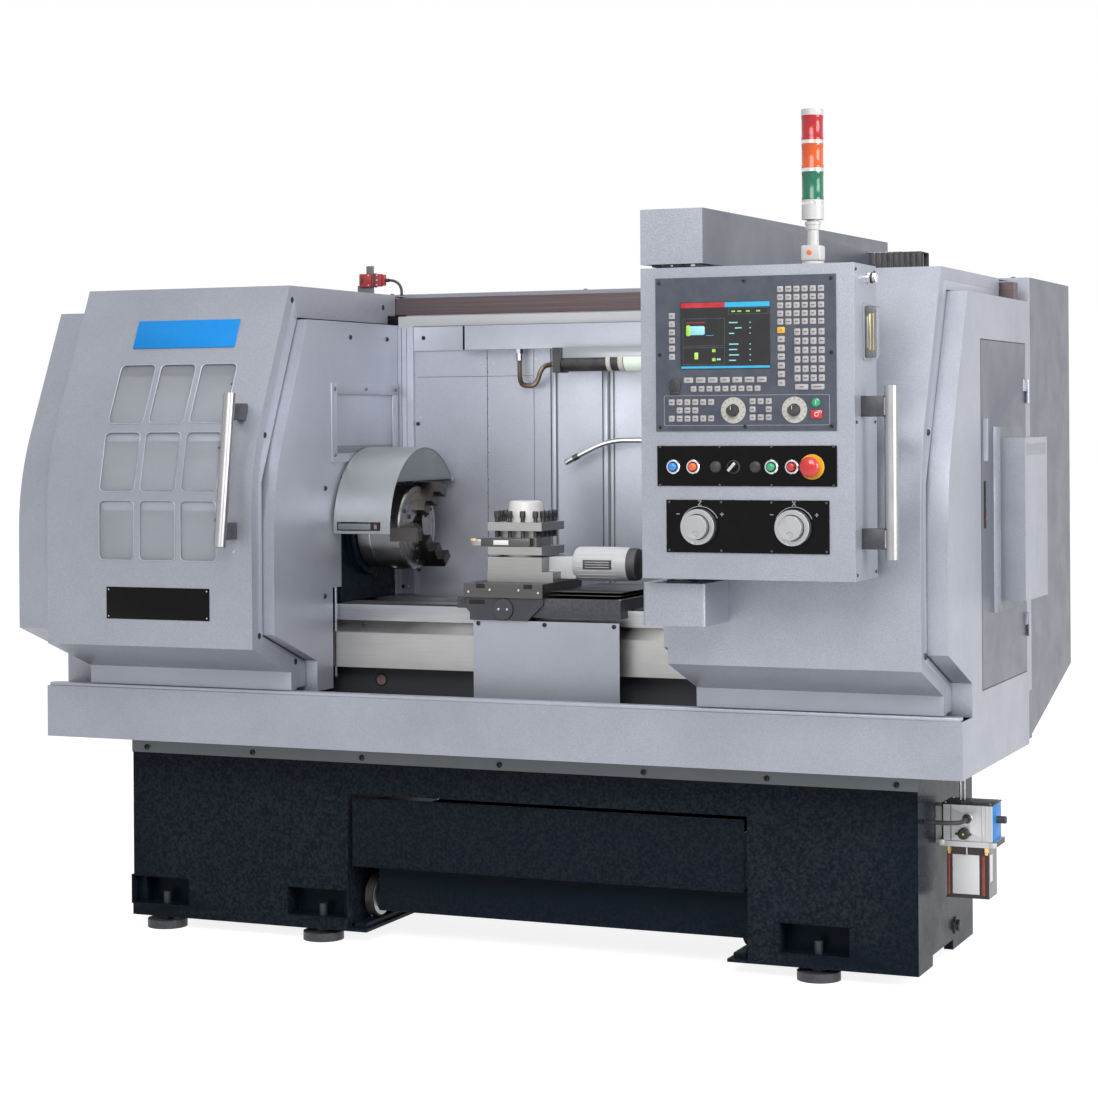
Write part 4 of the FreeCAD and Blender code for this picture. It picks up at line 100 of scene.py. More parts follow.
# name, place, target, size, setting that holds its power
LAMPS = (
    ("key_lamp", (1.4, -5.0, 3.8), (0.2, 0, 1.1), (3.0, 2.4), "key_power"),
    ("fill_lamp", (5.0, -1.5, 2.2), (0.6, 0, 0.9), (2.4, 2.4), "fill_power"),
    ("work_lamp", (0.1, -0.62, 1.42), (0.0, 0.16, 1.15), (1.0, 0.3), "work_power"),
    ("top_lamp", (0.2, 0.2, 4.6), (0, 0, 1.0), (4.0, 2.4), "top_power"),
)


# ---------------------------------------------------------------- shapes


def aimed(place, normal):
    """Matrix that stands a shape drawn about Z on a face with this normal."""
    out = Vector(normal).normalized()
    up = Vector((0, 1, 0)) if abs(out.z) > 0.9 else Vector((0, 0, 1))
    across = up.cross(out).normalized()
    turn = Matrix((across, out.cross(across), out)).transposed().to_4x4()
    return Matrix.Translation(place) @ turn


def on_panel(x, z):
    """Matrix that stands a shape on the pendant's front."""
    return aimed((x, PANEL_Y, z), FRONT)


def block(low, high, edge=1.0, segments=2):
    """A box between two corners with its edges rounded."""
    shape = bmesh.new()
    low, high = Vector(low), Vector(high)
    size = Matrix.Diagonal((*(high - low), 1))
    bmesh.ops.create_cube(shape, size=1, matrix=Matrix.Translation((low + high) / 2) @ size)
    if edge:
        round_edges(shape, shape.edges[:], edge, segments)
    return shape


def round_edges(shape, edges, width, segments=2):
    """Rounds these edges of a shape."""
    bmesh.ops.bevel(shape, geom=edges, offset=width, offset_type="OFFSET", segments=segments, profile=0.5,
                    affect="EDGES", material=-1, clamp_overlap=True)


def drum(radius, depth, edge=0.0, sides=32):
    """A round piece that stands on the XY plane, with its far rim rounded."""
    shape = bmesh.new()
    bmesh.ops.create_cone(shape, cap_ends=True, cap_tris=False, segments=sides, radius1=radius,
                          radius2=radius, depth=depth, matrix=Matrix.Translation((0, 0, depth / 2)))
    if edge:
        round_edges(shape, far_rim(shape, depth), edge)
    return shape


def far_rim(shape, depth):
    """Edges of a standing shape's far end."""
    return [edge for edge in shape.edges if min(vert.co.z for vert in edge.verts) > depth * 0.999]


def turned(outline, sides=32):
    """A turned piece about Z from its outline of (radius, height) points."""
    shape = bmesh.new()
    closed = outline[0] == outline[-1]
    points = outline[:-1] if closed else outline
    verts = [shape.verts.new((radius, 0, height)) for radius, height in points]
    edges = [shape.edges.new(pair) for pair in zip(verts, verts[1:])]
    if closed:
        edges.append(shape.edges.new((verts[-1], verts[0])))
    bmesh.ops.spin(shape, geom=verts + edges, cent=(0, 0, 0), axis=(0, 0, 1), angle=math.tau, steps=sides,
                   use_merge=True, use_duplicate=False)
    bmesh.ops.remove_doubles(shape, verts=shape.verts[:], dist=SAME_POINT)
    bmesh.ops.recalc_face_normals(shape, faces=shape.faces[:])
    return shape


def plate(points, depth, edge=0.0):
    """A flat outline on the XY plane, given a thickness."""
    shape = bmesh.new()
    face = shape.faces.new([shape.verts.new((x, y, 0)) for x, y in points])
    far = bmesh.ops.extrude_face_region(shape, geom=[face])["geom"]
    bmesh.ops.translate(shape, verts=[g for g in far if isinstance(g, bmesh.types.BMVert)], vec=(0, 0, depth))
    bmesh.ops.recalc_face_normals(shape, faces=shape.faces[:])
    if edge:
        round_edges(shape, shape.edges[:], edge)
    return shape


def along(points, smooth=True, closed=False, ribs=False, steps=12, **section):
    """Mesh shape of a line through points, with the section that its curve is given."""
    line = bpy.data.curves.new("line", "CURVE")
    line.dimensions = "3D"
    for label, value in section.items():
        setattr(line, label, value)
    run = line.splines.new("NURBS" if smooth else "POLY")
    run.points.add(len(points) - 1)
    for index, (point, place) in enumerate(zip(run.points, points)):
        point.co = (*place, 1)
        point.radius = 0.82 if ribs and index % 2 else 1.0
    run.use_cyclic_u = closed
    run.resolution_u = steps
    if smooth:
        run.order_u = 3
        run.use_endpoint_u = True
    holder = bpy.data.objects.new("line", line)
    mesh = bpy.data.meshes.new_from_object(holder)
    shape = bmesh.new()
    shape.from_mesh(mesh)
    bpy.data.objects.remove(holder)
    bpy.data.curves.remove(line)
    bpy.data.meshes.remove(mesh)
    return shape


def tube(points, radius, sides=12, **run):
    """A pipe or lead that follows points, corrugated where ribs are asked for."""
    shape = along(points, bevel_depth=radius, bevel_resolution=max(1, sides // 4), use_fill_caps=True, **run)
    bmesh.ops.remove_doubles(shape, verts=shape.verts[:], dist=SAME_POINT)
    bmesh.ops.recalc_face_normals(shape, faces=shape.faces[:])
    return shape


def cap_screw(radius):
    """Domed screw head with a round socket."""
    height = radius * 0.62
    return turned([(0, height * 0.4), (radius * 0.42, height * 0.4), (radius * 0.46, height),
                   (radius * 0.8, height * 0.8), (radius, height * 0.25), (radius, 0)], 10)


def hex_bolt(across, height):
    """Hexagon head with its corners chamfered."""
    shape = drum(across / CORNER_SHARE, height, 0, 6)
    round_edges(shape, far_rim(shape, height), height * 0.18, 1)
    return shape


def ring(outer, inner, height, edge=0.6, sides=36):
    """A flat ring that stands on the XY plane."""
    return turned([(inner, 0), (outer, 0), (outer, height - edge), (outer - edge, height), (inner + edge, height),
                   (inner, height - edge), (inner, 0)], sides)


def rounded(width, height, corner, steps=5):
    """Points of a rectangle with round corners, about its middle."""
    points = []
    for x, y, start in ((1, 1, 0), (-1, 1, 90), (-1, -1, 180), (1, -1, 270)):
        centre = (x * (width / 2 - corner), y * (height / 2 - corner))
        for step in range(steps + 1):
            turn = math.radians(start + 90 * step / steps)
            points.append((centre[0] + corner * math.cos(turn), centre[1] + corner * math.sin(turn)))
    return points


def door_front(height):
    """Place of the door's bent front at a height."""
    if height < ARC_LOW:
        return DOOR_Y
    if height < ARC_HIGH:
        return DOOR_Y + DOOR_ARC - math.sqrt(DOOR_ARC ** 2 - (height - ARC_LOW) ** 2)
    return DOOR_Y + (height - LEAN_FROM) * LEAN_BACK / LEAN_UP


class Piece:
    """One finished object, gathered from shapes that each have one of its materials."""

    def __init__(self, name, *finishes):
        self.name = name
        self.finishes = [FINISHES[finish] for finish in finishes]
        self.mesh = bmesh.new()

    def take(self, shape, finish=0, place=None, normal=None):
        """Takes a shape in one of the piece's materials, by a matrix or by a point and the way it faces."""
        for face in shape.faces:
            face.material_index = finish
            face.smooth = True
        if normal is not None:
            place = aimed(place, normal)
        if place is not None:
            bmesh.ops.transform(shape, matrix=place, verts=shape.verts[:])
        scrap = bpy.data.meshes.new("scrap")
        shape.to_mesh(scrap)
        shape.free()
        self.mesh.from_mesh(scrap)
        bpy.data.meshes.remove(scrap)

    def bars(self, *rows):
        """Takes blocks from rows of low corner, high corner, edge and finish."""
        for low, high, edge, finish in rows:
            self.take(block(low, high, edge), finish)

    def screws(self, radius, normal, places, finish=0):
        """Takes a cap screw at each place."""
        for place in places:
            self.take(cap_screw(radius), finish, place, normal)

    def done(self, body, slot, *nodes):
        """Ends the piece as an object on its body."""
        bmesh.ops.transform(self.mesh, matrix=TO_ROW, verts=self.mesh.verts[:])
        data = bpy.data.meshes.new(self.name)
        self.mesh.to_mesh(data)
        self.mesh.free()
        settle(self.name, data, self.finishes, body, nodes)


def settle(name, data, finishes, body, nodes):
    """Makes the mesh an object of the scene, on its body, in place of these nodes."""
    for finish in finishes:
        data.materials.append(finish)
    data.shade_smooth()
    data.set_sharp_from_angle(angle=SHARP_ANGLE)
    made = bpy.data.objects.new(name, data)
    bpy.context.scene.collection.objects.link(made)
    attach(made, body)
    if nodes:
        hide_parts(*nodes)
    return made


def eased(node, body, width, finishes, test=None):
    """Replaces a node by its copy, doubles merged and sharp edges eased.

    The second finish goes to the faces that the test picks by their middle and normal.
    """
    shape = bmesh.new()
    shape.from_mesh(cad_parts[node].data)
    bmesh.ops.remove_doubles(shape, verts=shape.verts[:], dist=0.00002)
    bmesh.ops.dissolve_limit(shape, angle_limit=math.radians(0.6), verts=shape.verts[:], edges=shape.edges[:])
    for vert in shape.verts:
        vert.co.x = max(CAD_BOX[0][0] + BOX_MARGIN, vert.co.x)
    for face in shape.faces:
        face.material_index = int(bool(test and test(face.calc_center_median(), face.normal)))
    data = bpy.data.meshes.new(node + "_eased")
    shape.to_mesh(data)
    shape.free()
    made = settle(node + "_eased", data, [FINISHES[finish] for finish in finishes], body,
                  (node,))
    rounding = made.modifiers.new("Eased edges", "BEVEL")
    rounding.width = width / 1000
    rounding.segments = 2
    rounding.limit_method = "ANGLE"
    rounding.angle_limit = SHARP_ANGLE
    rounding.harden_normals = True


# ---------------------------------------------------------------- finishes


def effect(name, inputs, outputs):
    """A shader node group with named inputs and outputs."""
    group = bpy.data.node_groups.new(name, "ShaderNodeTree")
    for label, kind, value in inputs:
        group.interface.new_socket(label, in_out="INPUT", socket_type=kind).default_value = value
    for label, kind in outputs:
        group.interface.new_socket(label, in_out="OUTPUT", socket_type=kind)
    return group, group.nodes.new("NodeGroupInput"), group.nodes.new("NodeGroupOutput")


def noise(nodes, scale, detail=3.0, roughness=0.5):
    """Noise texture of this scale."""
    made = nodes.new("ShaderNodeTexNoise")
    made.inputs["Scale"].default_value = scale
    made.inputs["Detail"].default_value = detail
    made.inputs["Roughness"].default_value = roughness
    return made


def remap(nodes, links, source, low, high, to_low=0.0, to_high=1.0):
    """Maps a value from one range to another."""
    made = nodes.new("ShaderNodeMapRange")
    for socket, value in zip(made.inputs[1:5], (low, high, to_low, to_high)):
        socket.default_value = value
    links.new(source, made.inputs[0])
    return made.outputs[0]


def maths(nodes, links, operation, first, second):
    """Math node of two values or sockets."""
    made = nodes.new("ShaderNodeMath")
    made.operation = operation
    for socket, value in zip(made.inputs, (first, second)):
        if isinstance(value, (int, float)):
            socket.default_value = value
        else:
            links.new(value, socket)
    return made.outputs[0]


def make_effects():
    """Node groups for the textures that several finishes share."""
    spread = ("Scale", "NodeSocketFloat", 1.0)

    group, taken, given = effect("Hammered enamel", [spread], [("Height", "NodeSocketFloat"),
                                                               ("Flakes", "NodeSocketFloat")])
    nodes, links = group.nodes, group.links
    place = nodes.new("ShaderNodeTexCoord").outputs["Object"]
    cells = nodes.new("ShaderNodeTexVoronoi")
    cells.feature = "SMOOTH_F1"
    cells.inputs["Smoothness"].default_value = 0.7
    links.new(place, cells.inputs["Vector"])
    links.new(taken.outputs["Scale"], cells.inputs["Scale"])
    fine = noise(nodes, 640, 3, 0.7)
    links.new(place, fine.inputs["Vector"])
    links.new(cells.outputs["Distance"], given.inputs["Height"])
    links.new(remap(nodes, links, fine.outputs["Fac"], 0.44, 0.7), given.inputs["Flakes"])

    group, taken, given = effect("Drawn grain", [("Stretch", "NodeSocketVector", (900, 900, 12))],
                                 [("Lines", "NodeSocketFloat")])
    nodes, links = group.nodes, group.links
    place = nodes.new("ShaderNodeTexCoord").outputs["Object"]
    stretch = nodes.new("ShaderNodeVectorMath")
    stretch.operation = "MULTIPLY"
    links.new(place, stretch.inputs[0])
    links.new(taken.outputs["Stretch"], stretch.inputs[1])
    fine = noise(nodes, 1.0, 4, 0.65)
    links.new(stretch.outputs[0], fine.inputs["Vector"])
    links.new(remap(nodes, links, fine.outputs["Fac"], 0.3, 0.7), given.inputs["Lines"])

    group, taken, given = effect("Handling marks", [spread], [("Mask", "NodeSocketFloat")])
    nodes, links = group.nodes, group.links
    place = nodes.new("ShaderNodeTexCoord").outputs["Object"]
    broad = noise(nodes, 6.0, 6, 0.62)
    links.new(place, broad.inputs["Vector"])
    links.new(taken.outputs["Scale"], broad.inputs["Scale"])
    links.new(remap(nodes, links, broad.outputs["Fac"], 0.38, 0.68), given.inputs["Mask"])

    group, taken, given = effect("Settled dust", [spread], [("Mask", "NodeSocketFloat")])
    nodes, links = group.nodes, group.links
    tilt = nodes.new("ShaderNodeSeparateXYZ")
    links.new(nodes.new("ShaderNodeNewGeometry").outputs["Normal"], tilt.inputs[0])
    specks = noise(nodes, 40.0, 6, 0.7)
    links.new(nodes.new("ShaderNodeTexCoord").outputs["Object"], specks.inputs["Vector"])
    links.new(taken.outputs["Scale"], specks.inputs["Scale"])
    upward = remap(nodes, links, tilt.outputs["Z"], 0.55, 0.95)
    patchy = remap(nodes, links, specks.outputs["Fac"], 0.35, 0.7)
    links.new(maths(nodes, links, "MULTIPLY", upward, patchy), given.inputs["Mask"])

    group, taken, given = effect("Worn edges", [("Reach", "NodeSocketFloat", 0.5)],
                                 [("Mask", "NodeSocketFloat")])
    nodes, links = group.nodes, group.links
    point = nodes.new("ShaderNodeNewGeometry").outputs["Pointiness"]
    chips = noise(nodes, 130.0, 5, 0.7)
    links.new(nodes.new("ShaderNodeTexCoord").outputs["Object"], chips.inputs["Vector"])
    sharp = remap(nodes, links, point, 0.515, 0.6)
    broken = remap(nodes, links, chips.outputs["Fac"], 0.42, 0.6)
    worn = maths(nodes, links, "MULTIPLY", sharp, broken)
    links.new(maths(nodes, links, "MULTIPLY", worn, taken.outputs["Reach"]), given.inputs["Mask"])

    group, taken, given = effect("Turning rings", [("Vector", "NodeSocketVector", (0, 0, 0)),
                                                   ("Pitch", "NodeSocketFloat", 400.0)],
                                 [("Lines", "NodeSocketFloat")])
    nodes, links = group.nodes, group.links
    far = nodes.new("ShaderNodeVectorMath")
    far.operation = "LENGTH"
    links.new(taken.outputs["Vector"], far.inputs[0])
    fine = nodes.new("ShaderNodeTexNoise")
    fine.noise_dimensions = "1D"
    fine.inputs["Detail"].default_value = 4.0
    links.new(maths(nodes, links, "MULTIPLY", far.outputs["Value"], taken.outputs["Pitch"]), fine.inputs["W"])
    links.new(remap(nodes, links, fine.outputs["Fac"], 0.3, 0.7), given.inputs["Lines"])


FINISHES = {}


class Finish:
    """A material whose Principled shader is fed by the shared effects."""

    def __init__(self, name, colour, roughness, metallic=0.0, **sockets):
        self.material = FINISHES[name] = bpy.data.materials.new(name)
        self.material.use_nodes = True
        self.nodes = self.material.node_tree.nodes
        self.links = self.material.node_tree.links
        self.shader = self.nodes["Principled BSDF"]
        self.colour = (*colour, 1.0)
        self.roughness = roughness
        self.tone = None
        self.rough = None
        self.height = None
        self.shader.inputs["Base Color"].default_value = self.colour
        self.shader.inputs["Roughness"].default_value = roughness
        self.shader.inputs["Metallic"].default_value = metallic
        for label, value in sockets.items():
            self.shader.inputs[label.replace("_", " ")].default_value = value

    def effect(self, name, output, **inputs):
        """Places a shared effect with this material's own values."""
        made = self.nodes.new("ShaderNodeGroup")
        made.node_tree = bpy.data.node_groups[name]
        for label, value in inputs.items():
            if isinstance(value, bpy.types.NodeSocket):
                self.links.new(value, made.inputs[label])
            else:
                made.inputs[label].default_value = value
        return made.outputs[output]

    def tint(self, mask, colour, amount=1.0):
        """Mixes a second colour in where the mask is high."""
        mix = self.nodes.new("ShaderNodeMix")
        mix.data_type = "RGBA"
        self.links.new(remap(self.nodes, self.links, mask, 0, 1, 0, amount), mix.inputs["Factor"])
        if self.tone is None:
            mix.inputs["A"].default_value = self.colour
        else:
            self.links.new(self.tone, mix.inputs["A"])
        mix.inputs["B"].default_value = (*colour, 1.0)
        self.tone = mix.outputs["Result"]
        self.links.new(self.tone, self.shader.inputs["Base Color"])

    def roughen(self, mask, change):
        """Adds to the roughness where the mask is high."""
        base = self.roughness if self.rough is None else self.rough
        more = remap(self.nodes, self.links, mask, 0, 1, 0, change)
        self.rough = maths(self.nodes, self.links, "ADD", more, base)
        self.links.new(self.rough, self.shader.inputs["Roughness"])

    def emboss(self, height, depth_mm):
        """Feeds a height into a bump, on top of any before it."""
        bump = self.nodes.new("ShaderNodeBump")
        bump.inputs["Distance"].default_value = depth_mm / 1000
        bump.inputs["Strength"].default_value = 1.0
        self.links.new(height, bump.inputs["Height"])
        if self.height is not None:
            self.links.new(self.height, bump.inputs["Normal"])
        self.height = bump.outputs["Normal"]
        self.links.new(self.height, self.shader.inputs["Normal"])

    def about(self, x, y, z, axis):
        """Object coordinates from a machine axis, flattened along it."""
        mapping = self.nodes.new("ShaderNodeMapping")
        mapping.vector_type = "POINT"
        centre = TO_ROW @ Vector((x, y, z))
        keep = Vector((1, 1, 1)) - Vector([abs(part) for part in axis])
        mapping.inputs["Location"].default_value = Vector([-c * k for c, k in zip(centre, keep)])
        mapping.inputs["Scale"].default_value = keep
        self.links.new(self.nodes.new("ShaderNodeTexCoord").outputs["Object"], mapping.inputs["Vector"])
        return mapping.outputs["Vector"]


def enamel(name, colour, light, roughness=0.4, metallic=0.35, cells=330.0, depth=0.25, worn=None, flakes=0.55):
    """Hammered or smooth machine enamel."""
    made = Finish(name, colour, roughness, metallic)
    made.tint(made.effect("Hammered enamel", "Flakes", Scale=cells), light, flakes)
    made.tint(made.effect("Handling marks", "Mask", Scale=3.0), [part * 0.86 for part in colour], 0.5)
    made.roughen(made.effect("Handling marks", "Mask", Scale=9.0), 0.1)
    if worn:
        made.tint(made.effect("Worn edges", "Mask", Reach=0.25), worn)
    made.emboss(made.effect("Hammered enamel", "Height", Scale=cells), depth)
    return made


def ground(name, colour, dark, roughness, stretch):
    """Ground or brushed metal, its lines running where the stretch is low."""
    made = Finish(name, colour, roughness, 1.0)
    lines = made.effect("Drawn grain", "Lines", Stretch=stretch)
    made.tint(lines, dark, 0.45)
    made.roughen(lines, 0.12)
    made.roughen(made.effect("Handling marks", "Mask", Scale=14.0), 0.12)
    made.emboss(lines, 0.02)


def lathed(name, colour, dark, roughness, centre, axis, pitch=700.0):
    """Turned metal with rings about its own axis."""
    made = Finish(name, colour, roughness, 1.0)
    rings = made.effect("Turning rings", "Lines", Vector=made.about(*centre, axis), Pitch=pitch)
    made.tint(rings, dark, 0.5)
    made.roughen(rings, 0.1)
    made.roughen(made.effect("Handling marks", "Mask", Scale=18.0), 0.1)
    made.emboss(rings, 0.02)


def moulded(name, colour, roughness, pale=0.08, **sockets):
    """Moulded plastic with a faint grain and handling marks."""
    made = Finish(name, colour, roughness, 0.0, **sockets)
    marks = made.effect("Handling marks", "Mask", Scale=30.0)
    made.tint(marks, [part + (1 - part) * pale for part in colour], 0.5)
    made.roughen(marks, 0.12)
    made.emboss(made.effect("Drawn grain", "Lines", Stretch=(1500, 1500, 1500)), 0.015)
    return made


def make_finishes(paint):
    """Every material of the machine."""
    make_effects()
    silver = tuple(paint.sheet)
    pale = [min(1.0, part * 1.75 + 0.1) for part in silver]
    enamel("silver_sheet", silver, pale, 0.36, 0.5, paint.hammer)
    navy = tuple(paint.casting)
    casting = enamel("navy_casting", navy, [part * 1.4 + 0.002 for part in navy], 0.24, 0.0, 520.0, 0.04,
                     (0.08, 0.085, 0.1), 0.12)
    casting.tint(casting.effect("Settled dust", "Mask", Scale=60.0), (0.04, 0.045, 0.06), 0.2)
    casting.shader.inputs["Specular IOR Level"].default_value = 0.05
    enamel("dark_iron", (0.035, 0.038, 0.045), (0.05, 0.055, 0.065), 0.45, 0.1, 200.0, 0.15, (0.15, 0.15, 0.16), 0.3)
    offwhite = enamel("offwhite_enamel", (0.48, 0.485, 0.5), (0.55, 0.555, 0.565), 0.36, 0.0, 700.0, 0.04)
    offwhite.roughen(offwhite.effect("Settled dust", "Mask", Scale=60.0), 0.15)
    ground("ground_steel", (0.36, 0.36, 0.35), (0.22, 0.22, 0.22), 0.3, (10, 900, 900))
    ground("dark_steel", (0.12, 0.115, 0.115), (0.06, 0.06, 0.06), 0.34, (10, 900, 900))
    ground("ways_steel", (0.42, 0.43, 0.45), (0.25, 0.25, 0.26), 0.26, (8, 700, 700))
    ground("brushed_stainless", (0.46, 0.455, 0.45), (0.33, 0.325, 0.32), 0.32, (6, 800, 800))
    ground("upright_stainless", (0.38, 0.38, 0.39), (0.28, 0.28, 0.29), 0.24, (800, 800, 6))
    ground("machined_aluminium", (0.56, 0.56, 0.57), (0.42, 0.42, 0.43), 0.36, (700, 700, 15))
    lathed("chuck_steel", (0.4, 0.39, 0.39), (0.2, 0.2, 0.2), 0.2, (-400, SPINDLE_Y, SPINDLE_Z), RIGHT)
    for body, x in WHEEL_X.items():
        lathed(CAD_FINISHES[body], (0.42, 0.43, 0.44), (0.3, 0.3, 0.31), 0.36, (x, -440, WHEEL_Z), BACK, 900.0)
    # The lighter copy of the silver enamel below is painted light, for lit inner walls, rims, folds, ribs and strips.
    enamel("light_sheet", [part * 1.22 for part in silver], pale, 0.34, 0.5, paint.hammer)
    # The dark copy of the sheet enamel below is painted shade, for side faces and the top window band.
    enamel("satin_sheet", (0.115, 0.122, 0.155), (0.17, 0.18, 0.215), 0.32, 0.3, paint.hammer)
    enamel("guard_silver", (0.32, 0.335, 0.355), (0.38, 0.395, 0.41), 0.3, 0.55, 900.0, 0.02)
    ground("jaw_steel", (0.13, 0.12, 0.115), (0.06, 0.055, 0.05), 0.26, (700, 10, 700))
    enamel("strip_enamel", (0.14, 0.155, 0.165), (0.17, 0.185, 0.195), 0.35, 0.1, paint.hammer, 0.2)
    rail = Finish("oiled_rail", (0.075, 0.055, 0.062), 0.35, 0.6)
    rail.tint(rail.effect("Drawn grain", "Lines", Stretch=(2, 300, 300)), (0.17, 0.12, 0.115), 0.8)
    rail.tint(rail.effect("Handling marks", "Mask", Scale=5.0), (0.1, 0.085, 0.1), 0.6)
    rail.roughen(rail.effect("Handling marks", "Mask", Scale=12.0), 0.2)
    weave = Finish("conduit_bronze", (0.2, 0.15, 0.12), 0.35, 0.8)
    weave.roughen(weave.effect("Handling marks", "Mask", Scale=60.0), 0.2)
    weave.emboss(weave.effect("Drawn grain", "Lines", Stretch=(900, 900, 900)), 0.1)
    rust = Finish("rusted_plug", (0.2, 0.13, 0.12), 0.7, 0.2)
    rust.tint(rust.effect("Handling marks", "Mask", Scale=90.0), (0.34, 0.25, 0.24), 0.8)
    moulded("shadow_black", (0.004, 0.004, 0.005), 0.8, 0.01)
    chrome = Finish("chrome", (0.7, 0.7, 0.72), 0.12, 1.0)
    chrome.roughen(chrome.effect("Handling marks", "Mask", Scale=25.0), 0.12)
    blackened = Finish("blackened_steel", (0.02, 0.02, 0.021), 0.42, 0.6)
    blackened.tint(blackened.effect("Worn edges", "Mask", Reach=0.3), (0.25, 0.25, 0.25))
    blackened.roughen(blackened.effect("Handling marks", "Mask", Scale=30.0), 0.2)
    brass = Finish("brass", (0.72, 0.5, 0.2), 0.25, 1.0)
    brass.roughen(brass.effect("Handling marks", "Mask", Scale=40.0), 0.2)
    moulded("moulded_black", (0.016, 0.016, 0.017), 0.45)
    moulded("gloss_black", (0.003, 0.003, 0.0035), 0.14, 0.002, Specular_IOR_Level=0.12)
    moulded("membrane_grey", (0.068, 0.078, 0.105), 0.42, 0.05, Specular_IOR_Level=0.3)
    moulded("membrane_line", (0.42, 0.43, 0.45), 0.5)
    moulded("key_cap", (0.43, 0.41, 0.405), 0.5)
    moulded("ivory_plastic", (0.56, 0.54, 0.49), 0.4)
    moulded("block_grey", (0.035, 0.036, 0.042), 0.4)
    moulded("key_mark", (0.1, 0.1, 0.11), 0.6)
    moulded("white_mark", (0.75, 0.75, 0.75), 0.5)
    moulded("nameplate_blue", (0.01, 0.27, 0.74), 0.35, 0.02, Specular_IOR_Level=0.2)
    moulded("blue_plastic", (0.01, 0.26, 0.72), 0.18, 0.05, Coat_Weight=0.5)
    moulded("orange_plastic", (0.85, 0.12, 0.012), 0.2, 0.05, Coat_Weight=0.5)
    moulded("green_plastic", (0.01, 0.38, 0.16), 0.2, 0.05, Coat_Weight=0.5)
    moulded("red_plastic", (0.6, 0.012, 0.012), 0.2, 0.05, Coat_Weight=0.5)
    moulded("yellow_plastic", (0.85, 0.42, 0.015), 0.35, 0.05)
    moulded("white_plastic", (0.55, 0.54, 0.53), 0.35)
    moulded("switch_red", (0.36, 0.012, 0.018), 0.3)
    moulded("oil_red", (0.3, 0.035, 0.012), 0.2)
    moulded("pump_blue", (0.008, 0.2, 0.6), 0.35, 0.02, Specular_IOR_Level=0.2)
    moulded("oil_brown", (0.02, 0.008, 0.009), 0.15, 0.03, Transmission_Weight=0.1, IOR=1.45)
    moulded("rubber", (0.02, 0.02, 0.021), 0.75)
    for name, colour in (("lens_red", (0.5, 0.005, 0.012)), ("lens_amber", (0.78, 0.1, 0.006)),
                         ("lens_green", (0.0, 0.17, 0.085))):
        moulded(name, colour, 0.14, 0.03, Transmission_Weight=0.2, IOR=1.45, Coat_Weight=0.3)
    moulded("clear_sheet", (0.72, 0.74, 0.78), 0.08, 0.0, Transmission_Weight=0.7, IOR=1.03)
    moulded("port_glass", (0.9, 0.92, 0.93), 0.05, 0.0, Transmission_Weight=0.92, IOR=1.2)
    moulded("screen_glass", (0.004, 0.004, 0.006), 0.08, 0.01, Coat_Weight=0.3)
    for name, colour, glow in (("glow_red", (0.42, 0.01, 0.02), 0.3), ("glow_cyan", (0.02, 0.36, 0.6), 0.3),
                               ("glow_green", (0.3, 0.58, 0.06), 0.3), ("glow_white", (0.62, 0.7, 0.6), 0.3),
                               ("glow_pale", (0.24, 0.58, 0.6), 0.3), ("glow_grey", (0.05, 0.07, 0.09), 0.2)):
        lit = moulded(name, colour, 0.3, 0.05, Emission_Strength=glow)
        lit.links.new(lit.tone, lit.shader.inputs["Emission Color"])


CAD_FINISHES = {
    "machine_base": "navy_casting", "leveling_feet": "dark_iron", "chip_tray": "silver_sheet",
    # The rear wall takes the lighter enamel copy, painted light for its lit face.
    "left_end_guard": "silver_sheet", "right_end_guard": "silver_sheet", "rear_wall": "light_sheet",
    "door_rail": "oiled_rail", "electrical_cabinet": "silver_sheet", "lathe_bed": "dark_iron",
    "screw_cover": "brushed_stainless", "headstock": "navy_casting", "spindle_motor": "navy_casting",
    "work_light": "moulded_black", "light_conduit": "chrome", "interlock_switch": "switch_red",
    "lubricator_pump": "machined_aluminium", "lubricator_tank": "oil_brown", "coolant_pipe": "chrome",
    "left_door": "silver_sheet", "left_door_windows": "clear_sheet", "left_door_handle": "upright_stainless",
    "right_door": "silver_sheet", "upper_arm": "silver_sheet", "lower_arm": "silver_sheet",
    "pendant_box": "silver_sheet", "cnc_panel": "membrane_grey", "switch_panels": "gloss_black",
    "pendant_handle": "upright_stainless", "stack_light_base": "white_plastic",
    "stack_lenses": "lens_amber", "handwheel_z": "wheel_z_metal", "handwheel_x": "wheel_x_metal",
    "emergency_stop": "red_plastic", "button_blue": "blue_plastic", "button_orange": "orange_plastic",
    "button_green": "green_plastic", "button_red": "red_plastic", "mode_selector": "white_plastic",
    "feed_dial": "moulded_black", "speed_dial": "moulded_black", "spindle": "chuck_steel",
    "chuck_body": "chuck_steel", "chuck_jaw_a": "jaw_steel", "chuck_jaw_b": "jaw_steel",
    "chuck_jaw_c": "jaw_steel", "chuck_guard": "guard_silver", "saddle": "dark_iron",
    "apron_panel": "silver_sheet", "cross_slide": "dark_steel", "turret_base": "ground_steel",
    "turret_motor": "offwhite_enamel", "turret_head": "ground_steel", "turret_cap": "white_plastic",
    "tooling": "blackened_steel", "tailstock_body": "navy_casting", "tailstock_quill": "ground_steel",
    "coolant_tank": "navy_casting", "tank_wheels": "rubber", "side_door": "silver_sheet",
    "z_ball_screw": "ground_steel",
}


# ---------------------------------------------------------------- settings


